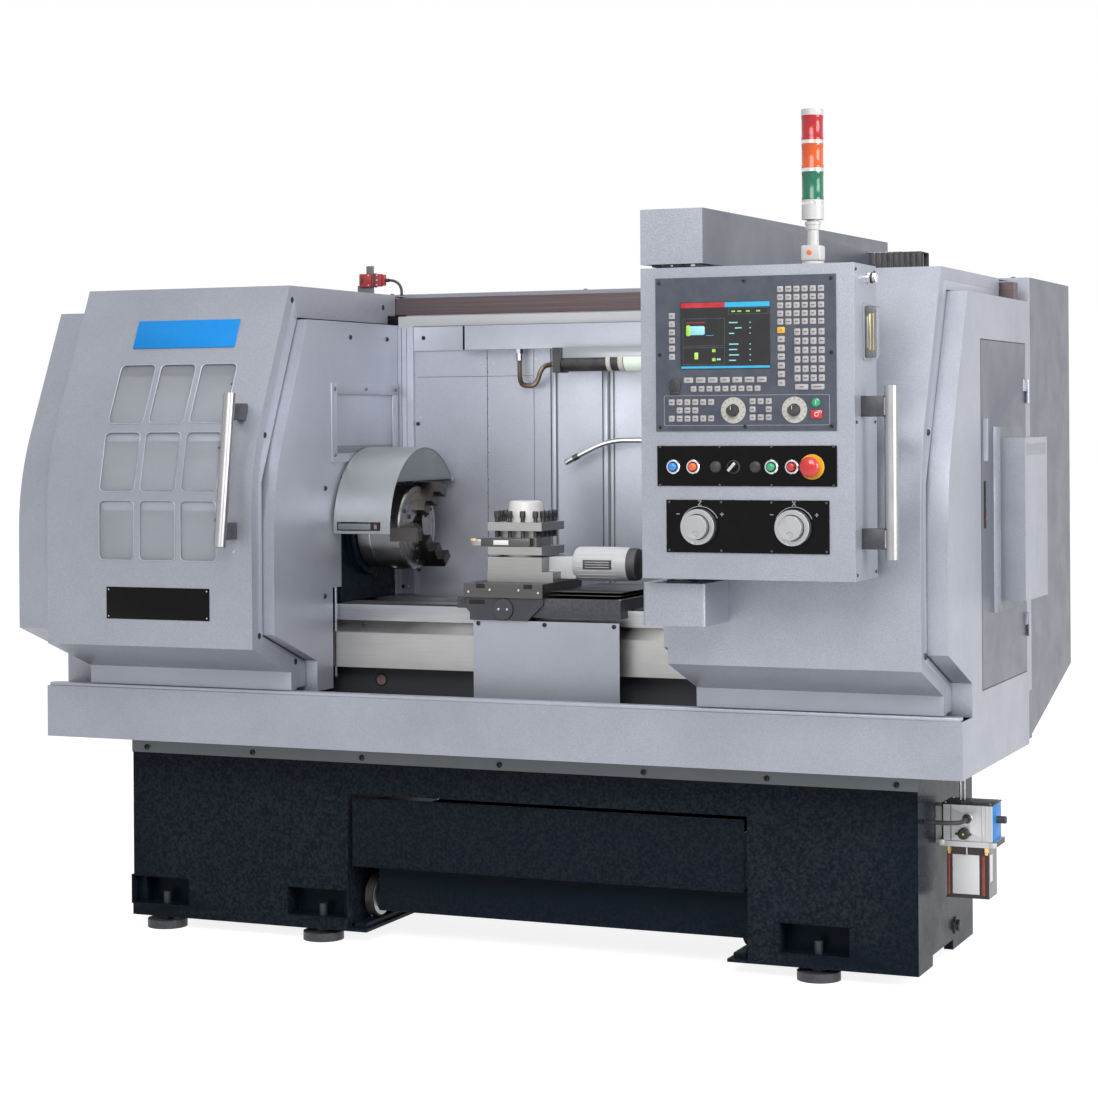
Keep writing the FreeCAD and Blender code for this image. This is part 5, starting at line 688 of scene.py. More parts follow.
class PaintSettings(bpy.types.PropertyGroup):
    sheet: bpy.props.FloatVectorProperty(name="Sheet enamel", description="Colour of the guards and doors",
                                         subtype="COLOR", size=3, min=0, max=1, default=(0.33, 0.345, 0.395))
    casting: bpy.props.FloatVectorProperty(name="Casting paint", description="Colour of the base and headstock",
                                           subtype="COLOR", size=3, min=0, max=1,
                                           default=(0.0045, 0.0095, 0.017))
    hammer: bpy.props.FloatProperty(name="Hammer cells", description="Cells of the enamel's texture in a metre",
                                    default=330.0, min=50.0, max=2000.0)


class StudioSettings(bpy.types.PropertyGroup):
    key_power: bpy.props.FloatProperty(name="Key light", description="Power of the large lamp at the front",
                                       subtype="POWER", unit="POWER", default=165.0, min=0.0)
    fill_power: bpy.props.FloatProperty(name="Fill light", description="Power of the lamp at the right",
                                        subtype="POWER", unit="POWER", default=150.0, min=0.0)
    top_power: bpy.props.FloatProperty(name="Top light", description="Power of the lamp overhead",
                                       subtype="POWER", unit="POWER", default=62.0, min=0.0)
    work_power: bpy.props.FloatProperty(name="Work light", description="Power of the lamp that lights the work space",
                                        subtype="POWER", unit="POWER", default=2.4, min=0.0)
    ambient: bpy.props.FloatProperty(name="Ambient", description="Strength of the light from all round",
                                     subtype="FACTOR", default=0.32, min=0.0, max=2.0)


# ---------------------------------------------------------------- operators


def lamp(name, place, target, size, power):
    """A large area lamp aimed at a point."""
    data = bpy.data.lights.new(name, "AREA")
    data.shape = "RECTANGLE"
    data.size, data.size_y = size
    data.energy = power
    made = bpy.data.objects.new(name, data)
    made.location = place
    made.rotation_euler = (Vector(target) - Vector(place)).to_track_quat("-Z", "Y").to_euler()
    bpy.context.scene.collection.objects.link(made)


def seen_white(tree, plain, strength, output, added=False):
    """Shows white to the camera, to gloss and to glass, alone or added, and the plain shader to all else."""
    nodes, links = tree.nodes, tree.links
    rays = nodes.new("ShaderNodeLightPath").outputs
    seen = maths(nodes, links, "MAXIMUM", rays["Is Camera Ray"], rays["Is Glossy Ray"])
    seen = maths(nodes, links, "MAXIMUM", seen, rays["Is Transmission Ray"])
    white = nodes.new("ShaderNodeBackground" if isinstance(plain.node, bpy.types.ShaderNodeBackground)
                      else "ShaderNodeEmission")
    white.inputs["Color"].default_value = (1, 1, 1, 1)
    white.inputs["Strength"].default_value = strength
    white = white.outputs[0]
    if added:
        both = nodes.new("ShaderNodeAddShader")
        links.new(plain, both.inputs[0])
        links.new(white, both.inputs[1])
        white = both.outputs[0]
    choose = nodes.new("ShaderNodeMixShader")
    links.new(seen, choose.inputs["Fac"])
    links.new(plain, choose.inputs[1])
    links.new(white, choose.inputs[2])
    links.new(choose.outputs[0], nodes[output].inputs["Surface"])


class LATHE_OT_stage(bpy.types.Operator):
    """Builds the floor, the lamps, the world and the camera"""

    bl_idname = "lathe.stage"
    bl_label = "Studio"

    def execute(self, context):
        scene = context.scene
        studio = scene.lathe_studio
        scene.view_settings.view_transform = "Standard"

        floor_mesh = bmesh.new()
        bmesh.ops.create_grid(floor_mesh, x_segments=2, y_segments=2, size=30)
        data = bpy.data.meshes.new("studio_floor")
        floor_mesh.to_mesh(data)
        floor_mesh.free()
        floor = bpy.data.objects.new("studio_floor", data)
        scene.collection.objects.link(floor)
        paper = bpy.data.materials.new("studio_paper")
        paper.use_nodes = True
        shader = paper.node_tree.nodes["Principled BSDF"]
        shader.inputs["Base Color"].default_value = (0.5, 0.5, 0.5, 1)
        shader.inputs["Roughness"].default_value = 0.9
        seen_white(paper.node_tree, shader.outputs[0], FLOOR_GLOW, "Material Output", True)
        data.materials.append(paper)

        world = bpy.data.worlds.new("studio")
        scene.world = world
        world.use_nodes = True
        plain = world.node_tree.nodes["Background"]
        plain.inputs["Color"].default_value = (0.93, 0.95, 1.0, 1)
        plain.inputs["Strength"].default_value = studio.ambient
        seen_white(world.node_tree, plain.outputs[0], 1.0, "World Output")

        for name, place, target, size, power in LAMPS:
            lamp(name, place, target, size, getattr(studio, power))

        data = bpy.data.cameras.new("camera")
        data.sensor_width = 36.0
        data.lens = CAMERA_LENS
        data.shift_y = CAMERA_SHIFT
        camera = bpy.data.objects.new("camera", data)
        turn = Matrix.Rotation(CAMERA_TURN, 4, "Z") @ Matrix.Rotation(math.pi / 2, 4, "X")
        camera.matrix_world = Matrix.Translation(CAMERA_PLACE) @ turn @ Matrix.Rotation(CAMERA_ROLL, 4, "Z")
        scene.collection.objects.link(camera)
        scene.camera = camera
        return {"FINISHED"}


class LATHE_OT_finishes(bpy.types.Operator):
    """Makes the materials and gives every CAD node its finish"""

    bl_idname = "lathe.finishes"
    bl_label = "Paint and metal finishes"

    def execute(self, context):
        make_finishes(context.scene.lathe_paint)
        missing = set(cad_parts) - set(CAD_FINISHES)
        if missing:
            raise RuntimeError("no finish for " + ", ".join(sorted(missing)))
        for node, finish in CAD_FINISHES.items():
            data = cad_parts[node].data
            if not data.materials:
                data.materials.append(None)
            for index in range(len(data.materials)):
                data.materials[index] = FINISHES[finish]
        return {"FINISHED"}


# node, body, slot, width of the eased edges
EASED = (
    ("machine_base", "frame", "dark_casting", 3.0),
    ("left_end_guard", "frame", "grey_sheet", 2.0),
    ("right_end_guard", "frame", "grey_sheet", 2.0),
    ("rear_wall", "frame", "grey_sheet", 1.0),
    ("electrical_cabinet", "frame", "grey_sheet", 2.5),
    ("lathe_bed", "frame", "bed_iron", 1.5),
    ("headstock", "frame", "dark_casting", 3.0),
    ("left_door", "left_door", "grey_sheet", 1.5),
    ("right_door", "right_door", "grey_sheet", 1.5),
    ("upper_arm", "right_door", "grey_sheet", 2.0),
    ("lower_arm", "right_door", "grey_sheet", 1.5),
    ("pendant_box", "pendant", "grey_sheet", 2.0),
    ("coolant_tank", "tank", "dark_casting", 2.0),
    ("handwheel_z", "handwheel_z", "alu_cap", 1.2),
    ("handwheel_x", "handwheel_x", "alu_cap", 1.2),
    ("pendant_handle", "pendant", "bright_steel", 1.0),
    ("left_door_handle", "left_door", "bright_steel", 1.0),
    ("side_door", "side_door", "grey_sheet", 1.5),
    ("chuck_guard", "chuck_guard", "off_white", 0.8),
    ("chuck_body", "spindle", "bright_steel", 1.0),
    ("turret_head", "turret", "bright_steel", 0.8),
    ("cross_slide", "cross_slide", "bright_steel", 1.0),
    ("turret_base", "cross_slide", "dark_casting", 1.0),
    ("saddle", "carriage", "dark_casting", 1.5),
    ("lubricator_pump", "frame", "alu_cap", 0.8),
)


# A second finish for the faces that the test picks, in metres in the machine's frame.
SECOND_FINISH = {
    # The end guards' faces towards the work space take the lighter enamel copy as painted light.
    "left_end_guard": ("light_sheet", lambda place, out: out.x > 0.9 and place.x > -0.53),
    "right_end_guard": ("light_sheet", lambda place, out: out.x < -0.9 and place.x < 0.54),
    "rear_wall": ("offwhite_enamel", lambda place, out: place.z > 1.634),
    # The side faces picked for the cabinet, the arm and the service door take the dark enamel copy as painted shade.
    "electrical_cabinet": ("satin_sheet", lambda place, out: abs(out.x) > 0.9),
    "upper_arm": ("satin_sheet", lambda place, out: abs(out.x) > 0.9),
    "side_door": ("satin_sheet", lambda place, out: out.x > 0.9 and place.x < 1.222),
    "lubricator_pump": ("moulded_black", lambda place, out: place.y < -0.091 or place.x > 1.211),
    "lathe_bed": ("ways_steel", lambda place, out: place.z > 0.846),
}


class LATHE_OT_eased_parts(bpy.types.Operator):
    """Copies the folded sheets and castings with their edges eased"""

    bl_idname = "lathe.eased_parts"
    bl_label = "Sheets and castings"

    def execute(self, context):
        for node, body, slot, width in EASED:
            second, test = SECOND_FINISH.get(node, (None, None))
            eased(node, body, width, [CAD_FINISHES[node]] + ([second] if second else []), test)
        return {"FINISHED"}


class LATHE_OT_fasteners(bpy.types.Operator):
    """Adds the tray's strip and the cap screws of the strip, walls, apron and doors"""

    bl_idname = "lathe.fasteners"
    bl_label = "Cap screws"

    def execute(self, context):
        strip = Piece("strip_screws", "blackened_steel", "strip_enamel")
        strip.bars(((-1097, 176.6, 476.6), (1097, 178.6, 533.6), 0.8, 1))
        strip.screws(8, FRONT, [(x, 176.6, 491) for x in (-1050, -722, -395, 0, 395, 718, 1045)])
        strip.done("frame", "tool_steel")
        walls = Piece("wall_screws", "blackened_steel", "machined_aluminium")
        for x, side in ((-484, RIGHT), (564, LEFT)):
            walls.screws(7, side, [(x, 151, 1199), (x, 144, 916), (x, 204, 1276), (x, 208, 925), (x, 206, 846),
                                   (x, 211, 698), (x, 300, 1600), (x, 520, 1600)])
        walls.screws(6, FRONT, [(-407, 594, 1604), (-428, 600, 1366), (-470, 585, 914), (-428, 600, 960)])
        walls.screws(4, FRONT, [(-455, 585, 914), (-235, 600, 1531), (-197, 600, 1531), (-420, 600, 1382)], 1)
        walls.done("frame", "tool_steel")
        apron = Piece("apron_screws", "blackened_steel")
        apron.screws(6, FRONT, [(x, 152, 855) for x in (-45, 139, 328)])
        apron.done("carriage", "tool_steel")
        for side, body, inner, outer in ((-1, "left_door", -515, -1122), (1, "right_door", 595, 1202)):
            face = RIGHT if side < 0 else LEFT
            edge = Piece(body + "_screws", "blackened_steel")
            for y, z in ((-114, 1341), (-150, 834), (40, 752), (34, 1690), (560, 1690)):
                edge.take(turned([(0, 0.3), (2.6, 0.3), (3.2, 0.9), (6.8, 0.9), (7.7, 0.6), (8, 0), (0, 0)], 24), 0,
                          (inner, y, z), face)
            edge.screws(8, RIGHT if side > 0 else LEFT, [(outer, -114, 1341), (outer, -150, 834)])
            edge.done(body, "tool_steel")
        side = Piece("service_door_screws", "blackened_steel")
        side.screws(5, RIGHT, [(1253, 361, z) for z in (912, 1020, 1128, 1236, 1338)])
        side.done("side_door", "tool_steel")
        return {"FINISHED"}


class LATHE_OT_doors(bpy.types.Operator):
    """Adds the bare plates, window rims with a painted highlight, painted light and shadow bands behind the windows,
    handle blocks and end folds of the sliding doors
    """

    bl_idname = "lathe.doors"
    bl_label = "Door fittings"

    def execute(self, context):
        plates = Piece("door_plates", "nameplate_blue", "gloss_black", "machined_aluminium")
        slope = (0, -LEAN_UP, LEAN_BACK)
        plates.take(plate(rounded(304, 80, 1.5), 3, 0.6), 0, (-790, door_front(1604), 1604), slope)
        plates.take(plate(rounded(304, 82, 1.5), 1.6, 0.4), 1, (-790, -186, 912), FRONT)
        for x in (-935, -645):
            for z in (878, 946):
                plates.take(drum(2, 1.2, 0.5, 16), 2, (x, -187.4, z), FRONT)
        plates.done("left_door", "blue_plastic")
        # Beads round the panes, in the lighter enamel copy as a painted highlight.
        edges = Piece("window_edges", "light_sheet")
        for column in range(3):
            for row in range(3):
                x = -911.5 + 121 * column
                z = 1098.5 + 175 * row
                loop = [(x + across, door_front(z + up) - 0.4, z + up) for across, up in rounded(105, 153, 14)]
                edges.take(tube(loop, 1.7, 8, smooth=False, closed=True))
        edges.done("left_door", "grey_sheet")
        blocks = Piece("door_handle_blocks", "block_grey", "white_plastic")
        low, high = door_front(1062) - 64, door_front(1447) - 88
        for share in (0.1, 0.88):
            z = 1062 + 385 * share
            y = low + (high - low) * share
            blocks.take(block((-584, y + 12, z - 21), (-556, door_front(z) + 0.5, z + 21), 1.5))
        blocks.take(drum(4, 3, 1.2, 16), 1, (-568, -186, 1046), FRONT)
        blocks.done("left_door", "black_plastic")
        # The folds' outline, as (y, z) points: inner edge, roof flange and outer edge.
        inner = [(-159, 1223), (-156, 1262), (-138, 1320)]
        inner += [(-159 + (z - 1269) * 0.472, z) for z in range(1360, 1668, 30)]
        outer = [(-132.6 + (z - 1223) * 0.4598, z) for z in range(1223, 1668, 30)]
        foot = [(-132, 832), (96, 747), (96, 684), (43.5, 684), (43.5, 745.5), (-158.5, 820)]
        roof = [(34, 1698), (618, 1698), (618, 1674), (72, 1674)]
        outline = outer[::-1] + foot + inner + roof
        for body, ends in (("left_door", (-1121.4, -517.8)), ("right_door", (595.6, 1199.2))):
            # The folds take the lighter enamel copy, painted light for their bright band.
            folds = Piece(body + "_end_folds", "light_sheet")
            for x in ends:
                folds.take(plate(outline, 2.2, 0.2), 0, (x, 0, 0), RIGHT)
            folds.done(body, "grey_sheet")
        # Bands behind the panes: the pale ones are painted light and the top one, in the dark enamel copy, is painted
        # shadow.
        strips = Piece("window_strips", "light_sheet", "blackened_steel", "satin_sheet")
        for low in (1150, 1325, 1495):
            middle = low + 14
            tilt = 0 if low < 1200 else WINDOW_TILT
            turn = aimed((-790.5, door_front(middle) + 8, middle), (0, -1, tilt))
            strips.take(plate(rounded(372, 30, 2), 1.5, 0.4), 2 if low == 1495 else 0, turn)
        for z in (1127, 1309, 1471):
            strips.screws(3.6, FRONT, [(-623, door_front(z) + 5, z)], 1)
        strips.done("left_door", "tool_steel")
        return {"FINISHED"}


class LATHE_OT_work_space(bpy.types.Operator):
    """Adds the rear wall's seams, the side walls' frames, the door guide and the bed's strips and plug"""

    bl_idname = "lathe.work_space"
    bl_label = "Rear wall and bed details"

    def execute(self, context):
        seams = Piece("wall_seams", "shadow_black", "offwhite_enamel", "light_sheet", "strip_enamel")
        grooves = (((-217, 599.2, 935), (-216, 600.5, 1567)), ((-77.6, 599.2, 935), (-76.8, 600.5, 1567)),
                   ((-271.4, 559.4, 1568), (-270.2, 601, 1634)), ((-471.3, 584.4, 940), (-470.3, 586, 1632)),
                   ((-455.6, 584.4, 940), (-454.8, 586, 1632)), ((-430, 599.5, 1495), (-80, 600.5, 1496)))
        seams.bars(*[(low, high, 0, 0) for low, high in grooves])
        seams.bars(*[((x, 593.6, 936), (x + wide, 600.5, 1567), 0, 3) for x, wide in
                     ((-9.4, 1.4), (-26, 1.4), (141, 4.5), (125, 1.2), (157, 1))])
        # The two ribs in these bars take the lighter enamel copy as painted light.
        seams.bars(((-483.9, 592.2, 1635), (563.9, 593.4, 1663.5), 0.4, 1),
                   ((-436, 592, 1635), (562, 593, 1637), 0.4, 3),
                   ((-22, 594.2, 940), (-12, 595.4, 1560), 0.4, 2), ((129, 594.2, 940), (139, 595.4, 1560), 0.4, 2))
        for index in range(17):
            shift, z = 1.6 * (index % 2), 950 + 37 * index
            seams.bars(((-218.4 + shift, 598.9, z), (-215 + shift, 599.6, z + 5), 0, 3))
        seams.done("frame", "black_plastic")
        # The frames and panels take the lighter enamel copy as painted light.
        walls = Piece("side_wall_frames", "light_sheet", "strip_enamel")
        for inner, outer, back in ((-484, -479.4, -483), (564, 559.4, 563)):
            low, high = min(inner, outer), max(inner, outer)
            walls.bars(((low, 184, 1267), (high, 214, 1476), 1, 0), ((low, 214, 1446), (high, 579, 1476), 1, 0),
                       ((low, 547, 1267), (high, 579, 1446), 1, 0))
            walls.bars(((min(inner, back), 214, 1300), (max(inner, back), 547, 1446), 0.1, 0),
                       ((min(inner, back) - 0.2, 214, 1267), (max(inner, back) + 0.2, 547, 1310), 0.1, 1),
                       ((low, 200, 700), (high if inner > 0 else low + 4, 207, 935), 0.8, 0))
            walls.screws(6, RIGHT if inner < 0 else LEFT, [(outer, y, z) for y, z in (
                (200, 1461), (199, 1286), (380, 1461), (563, 1461))], 1)
        walls.done("frame", "grey_sheet")
        # The guide takes the lighter enamel copy, painted light for its lit top.
        guide = Piece("door_guide", "light_sheet")
        guide.bars(((-1244, 3.2, 669.5), (1244, 34, 678.6), 1.5, 0))
        guide.done("frame", "grey_sheet")
        bed = Piece("bed_details", "rusted_plug", "shadow_black", "brushed_stainless", "blackened_steel",
                    "ways_steel")
        bed.take(ring(17, 13.5, 1.4), 1, (-372, 249.5, 690), FRONT)
        bed.take(drum(13.5, 1.0, 0.4, 28), 0, (-372, 249.5, 690), FRONT)
        bed.screws(6, FRONT, [(-400, 205, 838), (-505, 199.6, 758), (480, 205, 838)], 3)
        bed.bars(((-522, 199.2, 817), (1058, 199.9, 819), 0.2, 2),
                 ((-1058, 205.3, 850), (1058, 206.4, 891.5), 0.3, 4))
        bed.done("frame", "bed_iron")
        return {"FINISHED"}


def panel_keys(keys, low, high, columns, rows, share, finish, skip=()):
    """Adds a grid of rounded keys between two corners of the panel."""
    step = ((high[0] - low[0]) / columns, (high[1] - low[1]) / rows)
    size = (step[0] * share, step[1] * share)
    for column in range(columns):
        for row in range(rows):
            if (column, row) not in skip:
                place = (low[0] + step[0] * (column + 0.5), PANEL_Y, low[1] + step[1] * (row + 0.5))
                keys.take(plate(rounded(*size, min(size) * 0.14, 2), 1.8, 0.5), finish, place, FRONT)
                mark = aimed((place[0], -405.7, place[2]), FRONT)
                across = size[0] * (0.16 + 0.05 * ((column * 3 + row) % 4))
                keys.take(block((-across, -size[1] * 0.08, 0), (across, size[1] * 0.1, 0.2), 0), 4, mark)


class LATHE_OT_panel(bpy.types.Operator):
    """Adds the screen, keys, scales and screws of the control panel"""

    bl_idname = "lathe.panel"
    bl_label = "Control panel"

    def execute(self, context):
        keys = Piece("panel_keys", "key_cap", "yellow_plastic", "green_plastic", "red_plastic", "key_mark",
                     "white_mark")
        # low corner, high corner, columns, rows, share of its step that a key fills, finish, places left out
        for row in (
            ((681, 1506), (700, 1616), 1, 6, 0.74, 0),
            ((936, 1580), (1048.5, 1670), 6, 5, 0.74, 0),
            ((936, 1444), (958, 1560), 1, 6, 0.74, 0),
            ((936, 1562), (958, 1579), 1, 1, 0.8, 1),
            ((975, 1495), (1049, 1576), 4, 4, 0.74, 0),
            ((975, 1454), (1049, 1494), 4, 2, 0.74, 0),
            ((975, 1437), (1049, 1452), 2, 1, 0.82, 0),
            ((715, 1454), (916, 1470), 7, 1, 0.78, 0),
            ((732, 1434), (901, 1451), 9, 1, 0.72, 0),
            ((679.5, 1367), (792, 1422), 6, 3, 0.74, 0, ((0, 1), (4, 1), (5, 1))),
            ((870.5, 1369), (926.6, 1422.5), 3, 3, 0.74, 0, ((1, 1),)),
        ):
            panel_keys(keys, *row)
        keys.take(drum(9.5, 3, 1, 28), 2, on_panel(1026, 1410))
        keys.take(plate(rounded(26, 18, 2), 2.4, 0.7), 3, on_panel(1027.5, 1384))
        keys.take(ring(5, 3.6, 0.5, 0.1, 24), 5, (1027.5, -406.4, 1384), FRONT)
        keys.take(block((1025.4, -407.4, 1405.5), (1026.8, -407, 1414.5), 0), 5)
        keys.done("pendant", "black_plastic")

        face = Piece("panel_marks", "membrane_line", "ivory_plastic", "moulded_black", "blackened_steel")
        frame_line = [(863.7 + x, -404.1, 1394 + z) for x, z in rounded(386, 67, 4)]
        face.take(tube(frame_line, 0.5, 4, smooth=False, closed=True))
        for x in (834.5, 976.5):
            face.take(ring(29, 14, 0.8, 0.2, 48), 1, on_panel(x, 1394))
            for step in range(13):
                turn = math.radians(-60 + 25 * step)
                spot = (x + 25 * math.cos(turn), -404.8, 1394 + 25 * math.sin(turn))
                mark = aimed(spot, FRONT) @ Matrix.Rotation(turn, 4, "Z")
                face.take(block((-2.6, -0.4, 0), (2.6, 0.4, 0.3), 0), 2, mark)
        face.take(plate(rounded(27, 34, 13), 3, 1), 2, on_panel(697, 1449))
        face.take(block((685, -409, 1431.5), (709, PANEL_Y, 1437), 1.2), 2)
        spots = ((661, 1681), (861, 1682), (1062, 1683), (661, 1520), (1062, 1520), (662, 1357), (862, 1358),
                 (1062, 1358))
        face.screws(4.6, FRONT, [(x, PANEL_Y, z) for x, z in spots], 3)
        face.done("pendant", "black_plastic")

        screen = Piece("panel_screen", "screen_glass", "glow_red", "glow_cyan", "glow_grey", "glow_green",
                       "glow_pale", "moulded_black")
        screen.take(plate(rounded(213, 151, 3), 1.2, 0.4), 6, on_panel(816.8, 1561.5))

        def patch(x, z, far_x, far_z, finish, lift=0.0):
            screen.bars(((x, -405.4 - lift, z), (far_x, -405.1 - lift, far_z), 0, finish))

        patch(712, 1487, 921.5, 1635.5, 0)
        patch(712.5, 1624, 816, 1635, 1, 0.3)
        patch(816.4, 1624, 921, 1635, 2, 0.3)
        patch(712.5, 1488, 921, 1493, 2, 0.3)
        for x, z, far_x, far_z in ((717, 1538, 816, 1600), (717, 1496, 816, 1535), (825, 1608, 918, 1622)):
            patch(x, z, far_x, far_z, 3, 0.3)
            patch(x + 1, z + 1, far_x - 1, far_z - 1, 0, 0.5)
        screen.take(plate(rounded(38, 20, 4), 0.3, 0.1), 5, (750, -405.9, 1573), FRONT)
        screen.take(plate(rounded(10, 24, 3), 0.3, 0.1), 4, (730, -406, 1573), FRONT)
        screen.take(plate(rounded(15, 15, 2), 0.3, 0.1), 4, (752, -405.9, 1516), (0.3, -1, 0))
        patch(724, 1590, 770, 1591.2, 1, 0.7)
        patch(772, 1561, 790, 1562.2, 2, 0.7)
        patch(786, 1524, 794, 1531, 4, 0.7)
        patch(786, 1504, 794, 1511, 4, 0.7)
        patch(797, 1506, 806, 1510, 5, 0.7)
        for indent, row, reach in ((0, 0, 20), (14, 1, 16), (0, 2, 12), (0, 4, 22), (0, 5, 19), (0, 6, 23),
                                   (0, 7, 16)):
            x, z = 826 + indent, 1588 - 12 * row
            patch(x, z, x + reach, 1590.6 - 12 * row, 5, 0.5)
            patch(874, z, 877, 1590.4 - 12 * row, 5, 0.5)
        for x in (832, 846, 866, 890):
            patch(x, 1613, x + 9, 1616, 4, 0.7)
        screen.done("pendant", "panel_grey")
        return {"FINISHED"}


class LATHE_OT_controls(bpy.types.Operator):
    """Adds the bezels, caps and marks of the switches and handwheels"""

    bl_idname = "lathe.controls"
    bl_label = "Switches and handwheels"

    def execute(self, context):
        bezels = Piece("switch_bezels", "chrome", "moulded_black", "yellow_plastic", "membrane_line",
                       "dark_steel")
        for x in (693, 740.1, 923.7, 970.8):
            bezels.take(ring(16, 10.6, 8, 1.6), 0, on_panel(x, BUTTON_Z))
            bezels.take(ring(10.6, 9.4, 5, 0.4, 28), 1, on_panel(x, BUTTON_Z))
        for x in (792, 885):
            bezels.take(turned([(0, 4.5), (9, 4), (12, 2.6), (13.5, 0), (0, 0)]), 1, on_panel(x, BUTTON_Z))
        bezels.take(ring(28, 14, 2.4, 0.8, 48), 2, on_panel(1016, BUTTON_Z))
        bezels.take(ring(16, 9.4, 5, 1.0), 1, on_panel(1016, BUTTON_Z))
        bezels.take(ring(15.5, 8, 4, 1.0), 1, on_panel(834.2, BUTTON_Z))
        for places, low, high in (((660, 801, 922, 1065), 1227, 1313), ((681, 804, 922, 1048), 1081, 1189)):
            bezels.screws(3.0, FRONT, [(x, PANEL_Y, z) for x in places for z in (low, high)], 4)
        for x in WHEEL_X.values():
            turns = [math.radians(degrees) for degrees in range(25, 156, 10)]
            arc = [(x + 45.5 * math.cos(turn), -404.1, WHEEL_Z + 45.5 * math.sin(turn)) for turn in turns]
            bezels.take(tube(arc, 0.8, 6, smooth=False), 3)
            bezels.bars(((x + 48, -404.6, 1161.4), (x + 56, PANEL_Y, 1163), 0, 3),
                        ((x + 51.2, -404.6, 1158), (x + 52.8, PANEL_Y, 1166), 0, 3),
                        ((x - 56, -404.6, 1161.4), (x - 48, PANEL_Y, 1163), 0, 3))
        # Strokes of the axis letters: across, up, lean in degrees.
        for x, strokes in zip(WHEEL_X.values(), (((0, 5, 0), (0, -5, 0), (0, 0, 50)), ((0, 0, 52), (0, 0, -52)))):
            for across, up, lean in strokes:
                turn = on_panel(x + across, 1187 + up) @ Matrix.Rotation(math.radians(lean), 4, "Z")
                reach = 6.2 if lean else 4
                bezels.take(block((-reach, -0.7, 0), (reach, 0.7, 0.4), 0), 3, turn)
        bezels.done("pendant", "black_plastic")
        for body, finish, x in (("button_blue", "blue_plastic", 693), ("button_orange", "orange_plastic", 740.1),
                                ("button_green", "green_plastic", 923.7), ("button_red", "red_plastic", 970.8)):
            cap = Piece(body + "_cap", finish)
            cap.take(turned([(0, 14.4), (5, 14.2), (7.6, 13.2), (9, 11.4), (9.2, 0), (0, 0)], 28), 0,
                     (x, -405, 1268), FRONT)
            cap.done(body, finish, body)
        stop = Piece("stop_head", "red_plastic")
        stop.take(turned([(0, 31.6), (9, 31), (17, 29), (21, 26), (22.4, 22.5), (21.4, 19), (13, 15), (8.6, 12),
                          (8.6, 0), (0, 0)], 40), 0, on_panel(1016, BUTTON_Z))
        stop.done("emergency_stop", "red_plastic", "emergency_stop")
        selector = Piece("selector_lever", "gloss_black", "white_plastic", "machined_aluminium")
        turn = on_panel(834.2, BUTTON_Z) @ Matrix.Rotation(math.radians(-42), 4, "Z")
        selector.take(turned([(0, 9), (10.6, 9), (12.4, 7.6), (13, 4), (13, 0.6), (0, 0.6)], 36), 0, turn)
        selector.take(block((-3.6, -12.2, 8), (3.6, 12.2, 19), 1.6), 2, turn)
        selector.take(block((-1.0, 2, 18.6), (1.0, 11, 19.4), 0.2), 1, turn)
        selector.done("mode_selector", "off_white", "mode_selector")
        for body, x in (("feed_dial", 834), ("speed_dial", 976)):
            knob = Piece(body + "_knob", "moulded_black", "white_mark")
            shape = turned([(0, 20), (9.6, 20), (10.6, 18.8), (11.4, 6), (13, 4.6), (13, 0), (0, 0)], 36)
            knob.take(shape, 0, on_panel(x, DIAL_Z))
            for step in range(12):
                grip = on_panel(x, DIAL_Z) @ Matrix.Rotation(math.tau * step / 12, 4, "Z")
                knob.take(block((-1.1, 9.8, 6), (1.1, 11.8, 18), 0.5, 1), 0, grip)
            knob.take(block((x - 0.7, -424.4, 1395), (x + 0.7, -423.8, 1403), 0.1), 1)
            knob.done(body, "black_plastic", body)
        for body, x in WHEEL_X.items():
            trim = Piece(body + "_trim", "moulded_black", CAD_FINISHES[body])
            trim.take(ring(29.4, 27.4, 0.6, 0.1, 48), 0, (x, -424, WHEEL_Z), FRONT)
            trim.take(ring(24.6, 23.6, 0.5, 0.1, 48), 1, (x, -439.4, WHEEL_Z), FRONT)
            trim.take(turned([(0, 0.4), (4.6, 0.5), (6.6, 1.0), (7.2, 0), (0, 0)], 24), 1,
                      (x - 8, -424, 1102), FRONT)
            trim.done(body, "alu_cap")
        return {"FINISHED"}


